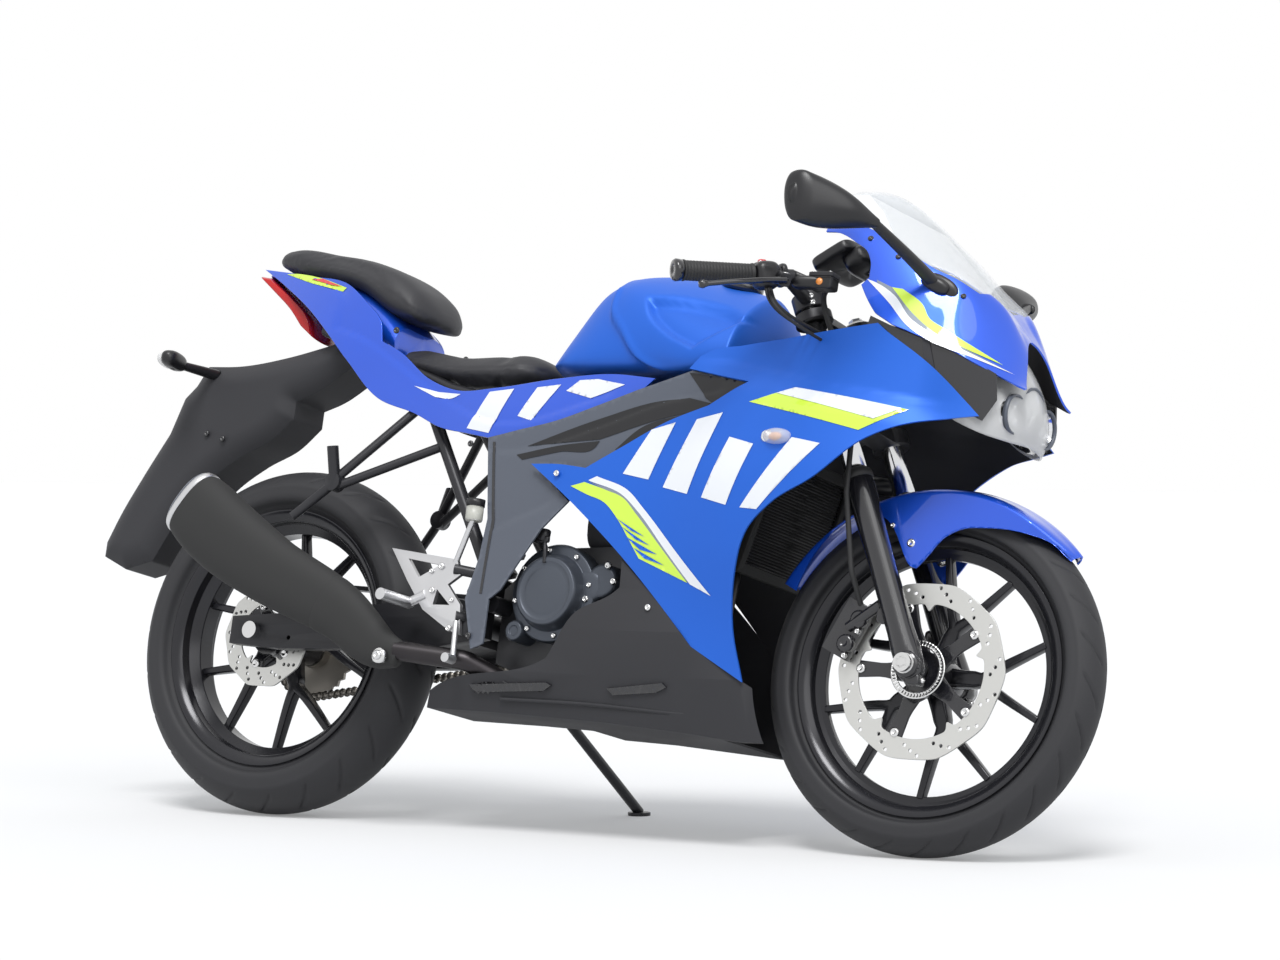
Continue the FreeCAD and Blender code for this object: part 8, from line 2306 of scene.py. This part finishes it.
@dataclass
class Studio:
    """The pale floor, the lamps and the camera."""

    camera_from_axle: tuple[float, float, float] = (4.2785, -5.4362, 0.3568)
    camera_turn: tuple[float, float, float] = (89.426, 0.0, 33.08)
    lens: float = 109.3
    floor_colour: tuple[float, float, float] = (0.60, 0.60, 0.605)
    floor_glow: float = 0.225
    horizon: tuple[float, float, float] = (0.50, 0.54, 0.60)
    zenith: tuple[float, float, float] = (0.95, 0.98, 1.0)
    sky_strength: float = 0.75
    key_strength: float = 2.0
    fill_strength: float = 0.7

    def build(self) -> None:
        """Make the camera, the floor, the world and the lamps."""
        scene = bpy.context.scene
        scene.view_settings.view_transform = "Standard"
        axle = STANCE.place(np.array([[0.0, 0.0, REAR_TYRE_RADIUS]]))[0]
        camera = bpy.data.objects.new("camera", bpy.data.cameras.new("camera"))
        camera.location = Vector(axle) + Vector(self.camera_from_axle)
        camera.rotation_euler = [math.radians(a) for a in self.camera_turn]
        camera.data.lens = self.lens
        camera.data.sensor_width = 36
        camera.data.clip_end = 100
        scene.collection.objects.link(camera)
        scene.camera = camera
        self._floor()
        self._world()
        self._sun("key", (0.35, -0.80, 1.5), self.key_strength, 22)
        self._sun("fill", (1.0, -0.55, 0.75), self.fill_strength, 40)

    def _floor(self) -> None:
        """Lay a wide floor, white where it is seen unshadowed, and plain where it lights."""
        size = 40.0
        mesh = bpy.data.meshes.new("floor")
        mesh.from_pydata([(-size, -size, 0), (size, -size, 0), (size, size, 0), (-size, size, 0)], [],
                         [(0, 1, 2, 3)])
        floor = bpy.data.objects.new("floor", mesh)
        bpy.context.scene.collection.objects.link(floor)
        made = bpy.data.materials.new("floor")
        made.use_nodes = True
        nodes, links = made.node_tree.nodes, made.node_tree.links
        plain = nodes["Principled BSDF"]
        plain.inputs["Base Color"].default_value = (*self.floor_colour, 1)
        plain.inputs["Roughness"].default_value = 0.9
        plain.inputs["Specular IOR Level"].default_value = 0.0
        glow = nodes.new("ShaderNodeEmission")
        glow.inputs["Color"].default_value = (1, 1, 1, 1)
        glow.inputs["Strength"].default_value = self.floor_glow
        seen = nodes.new("ShaderNodeAddShader")
        links.new(plain.outputs[0], seen.inputs[0])
        links.new(glow.outputs[0], seen.inputs[1])
        choose = nodes.new("ShaderNodeMixShader")
        links.new(self._is_seen(made.node_tree), choose.inputs[0])
        links.new(plain.outputs[0], choose.inputs[1])
        links.new(seen.outputs[0], choose.inputs[2])
        links.new(choose.outputs[0], nodes["Material Output"].inputs["Surface"])
        mesh.materials.append(made)

    def _is_seen(self, tree: bpy.types.NodeTree) -> bpy.types.NodeSocket:
        """Return a socket that is 1 for rays from the camera, off gloss or through glass."""
        path = tree.nodes.new("ShaderNodeLightPath")
        found = path.outputs["Is Camera Ray"]
        for name in ("Is Transmission Ray", "Is Glossy Ray"):
            add = tree.nodes.new("ShaderNodeMath")
            add.operation = "MAXIMUM"
            tree.links.new(found, add.inputs[0])
            tree.links.new(path.outputs[name], add.inputs[1])
            found = add.outputs["Value"]
        return found

    def _world(self) -> None:
        """Make the sky: white where it is seen, and for light brighter above than around."""
        world = bpy.data.worlds.new("studio")
        bpy.context.scene.world = world
        world.use_nodes = True
        tree = world.node_tree
        light = tree.nodes["Background"]
        light.inputs["Strength"].default_value = self.sky_strength
        where = tree.nodes.new("ShaderNodeTexCoord")
        split = tree.nodes.new("ShaderNodeSeparateXYZ")
        tree.links.new(where.outputs["Generated"], split.inputs["Vector"])
        ramp = tree.nodes.new("ShaderNodeValToRGB")
        ramp.color_ramp.elements[0].position = 0.02
        ramp.color_ramp.elements[0].color = (*self.horizon, 1)
        ramp.color_ramp.elements[1].position = 0.75
        ramp.color_ramp.elements[1].color = (*self.zenith, 1)
        tree.links.new(split.outputs["Z"], ramp.inputs["Fac"])
        tree.links.new(ramp.outputs["Color"], light.inputs["Color"])
        white = tree.nodes.new("ShaderNodeBackground")
        white.inputs["Color"].default_value = (1, 1, 1, 1)
        white.inputs["Strength"].default_value = 1.0
        choose = tree.nodes.new("ShaderNodeMixShader")
        tree.links.new(self._is_seen(tree), choose.inputs[0])
        tree.links.new(light.outputs[0], choose.inputs[1])
        tree.links.new(white.outputs[0], choose.inputs[2])
        tree.links.new(choose.outputs[0], tree.nodes["World Output"].inputs["Surface"])

    def _sun(self, name: str, toward: Point, strength: float, spread: float) -> None:
        """Hang a soft sun that shines from a direction, as wide as its spread in degrees."""
        data = bpy.data.lights.new(name, "SUN")
        data.energy = strength
        data.angle = math.radians(spread)
        lamp = bpy.data.objects.new(name, data)
        lamp.rotation_euler = (-Vector(toward)).to_track_quat("-Z", "Y").to_euler()
        bpy.context.scene.collection.objects.link(lamp)


FRONT_WHEEL = Wheel("front_wheel", STANCE.front_axle, tyre_radius=0.288, tyre_half=0.045, crown=0.050,
                    rim_half=0.033, hub_half=0.046, disc_radius=0.145, disc_offset=-0.056, disc_band=0.036)
REAR_WHEEL = Wheel("rear_wheel", np.array([0, 0, REAR_TYRE_RADIUS]), tyre_radius=REAR_TYRE_RADIUS,
                   tyre_half=0.065, crown=0.074, rim_half=0.054, hub_half=0.056, disc_radius=0.094,
                   disc_offset=-0.069, disc_band=0.036, grooves=22)

BARE_NODES = {"rear_axle": BOLT_STEEL, "rear_shock": FRAME_BLACK, "fairing_stay": FRAME_BLACK,
              "front_hose": GRIP_RUBBER, "front_axle": BOLT_STEEL, "rear_sprocket": CHAIN_STEEL}
DRESSED = [
    ("engine", "engine_castings", ENGINE_DARK, 0.0020),
    ("frame", "frame_tubes", FRAME_BLACK, 0.0008),
    ("swingarm", "swinging_arm", FRAME_BLACK, 0.0015),
    ("belly_pan", "pan", MATTE_BLACK, 0.0020),
    ("tail_core", "tail_top", SHADED_BLUE, 0.0015),
    ("rearsets", "foot_brackets", CAST_ALUMINIUM, 0.0012),
    ("pillion_brackets", "passenger_brackets", FRAME_BLACK, 0.0010),
    ("triple_clamps", "fork_clamps", FRAME_BLACK, 0.0015, "steering"),
    ("front_caliper", "front_brake", GLOSS_BLACK, 0.0025, "steering", "caliper_black"),
    ("rear_caliper", "rear_brake", GLOSS_BLACK, 0.0020, "root", "caliper_black"),
    ("stand_leg", "prop", FRAME_BLACK, 0.0010, "side_stand"),
    ("exhaust_header", "header_pipe", HEADER_STEEL, 0.0005)]


def main() -> None:
    """Build the machine and the studio round it."""
    Studio().build()
    for node, finish in BARE_NODES.items():
        cad_material(node, finish)
    rider = Seat("rider_cushion", "rider_seat", RIDER_STATIONS, (0.020, 0.020), seam_at=0.355)
    pillion = Seat("pillion_cushion", "pillion_seat", PILLION_STATIONS, (0.030, 0.030), seam_at=0.072)
    parts = [FRONT_WHEEL, REAR_WHEEL, SidePanels(), Tank(), Nose(), Headlight(), Mirrors(), rider, pillion,
             Controls(), Fork(), FrontFender(), FrontBrakes(), EngineCovers(), Muffler(), DriveChain(),
             Radiator(), Lamps(), Trim(), Fastenings()]
    for part in parts:
        part.build()
    for row in DRESSED:
        SHOP.dressed(*row)
    LOG.info("%d pieces", SHOP.made)


if __name__ == "__main__":
    logging.basicConfig(level=logging.INFO, format="%(message)s")
    main()
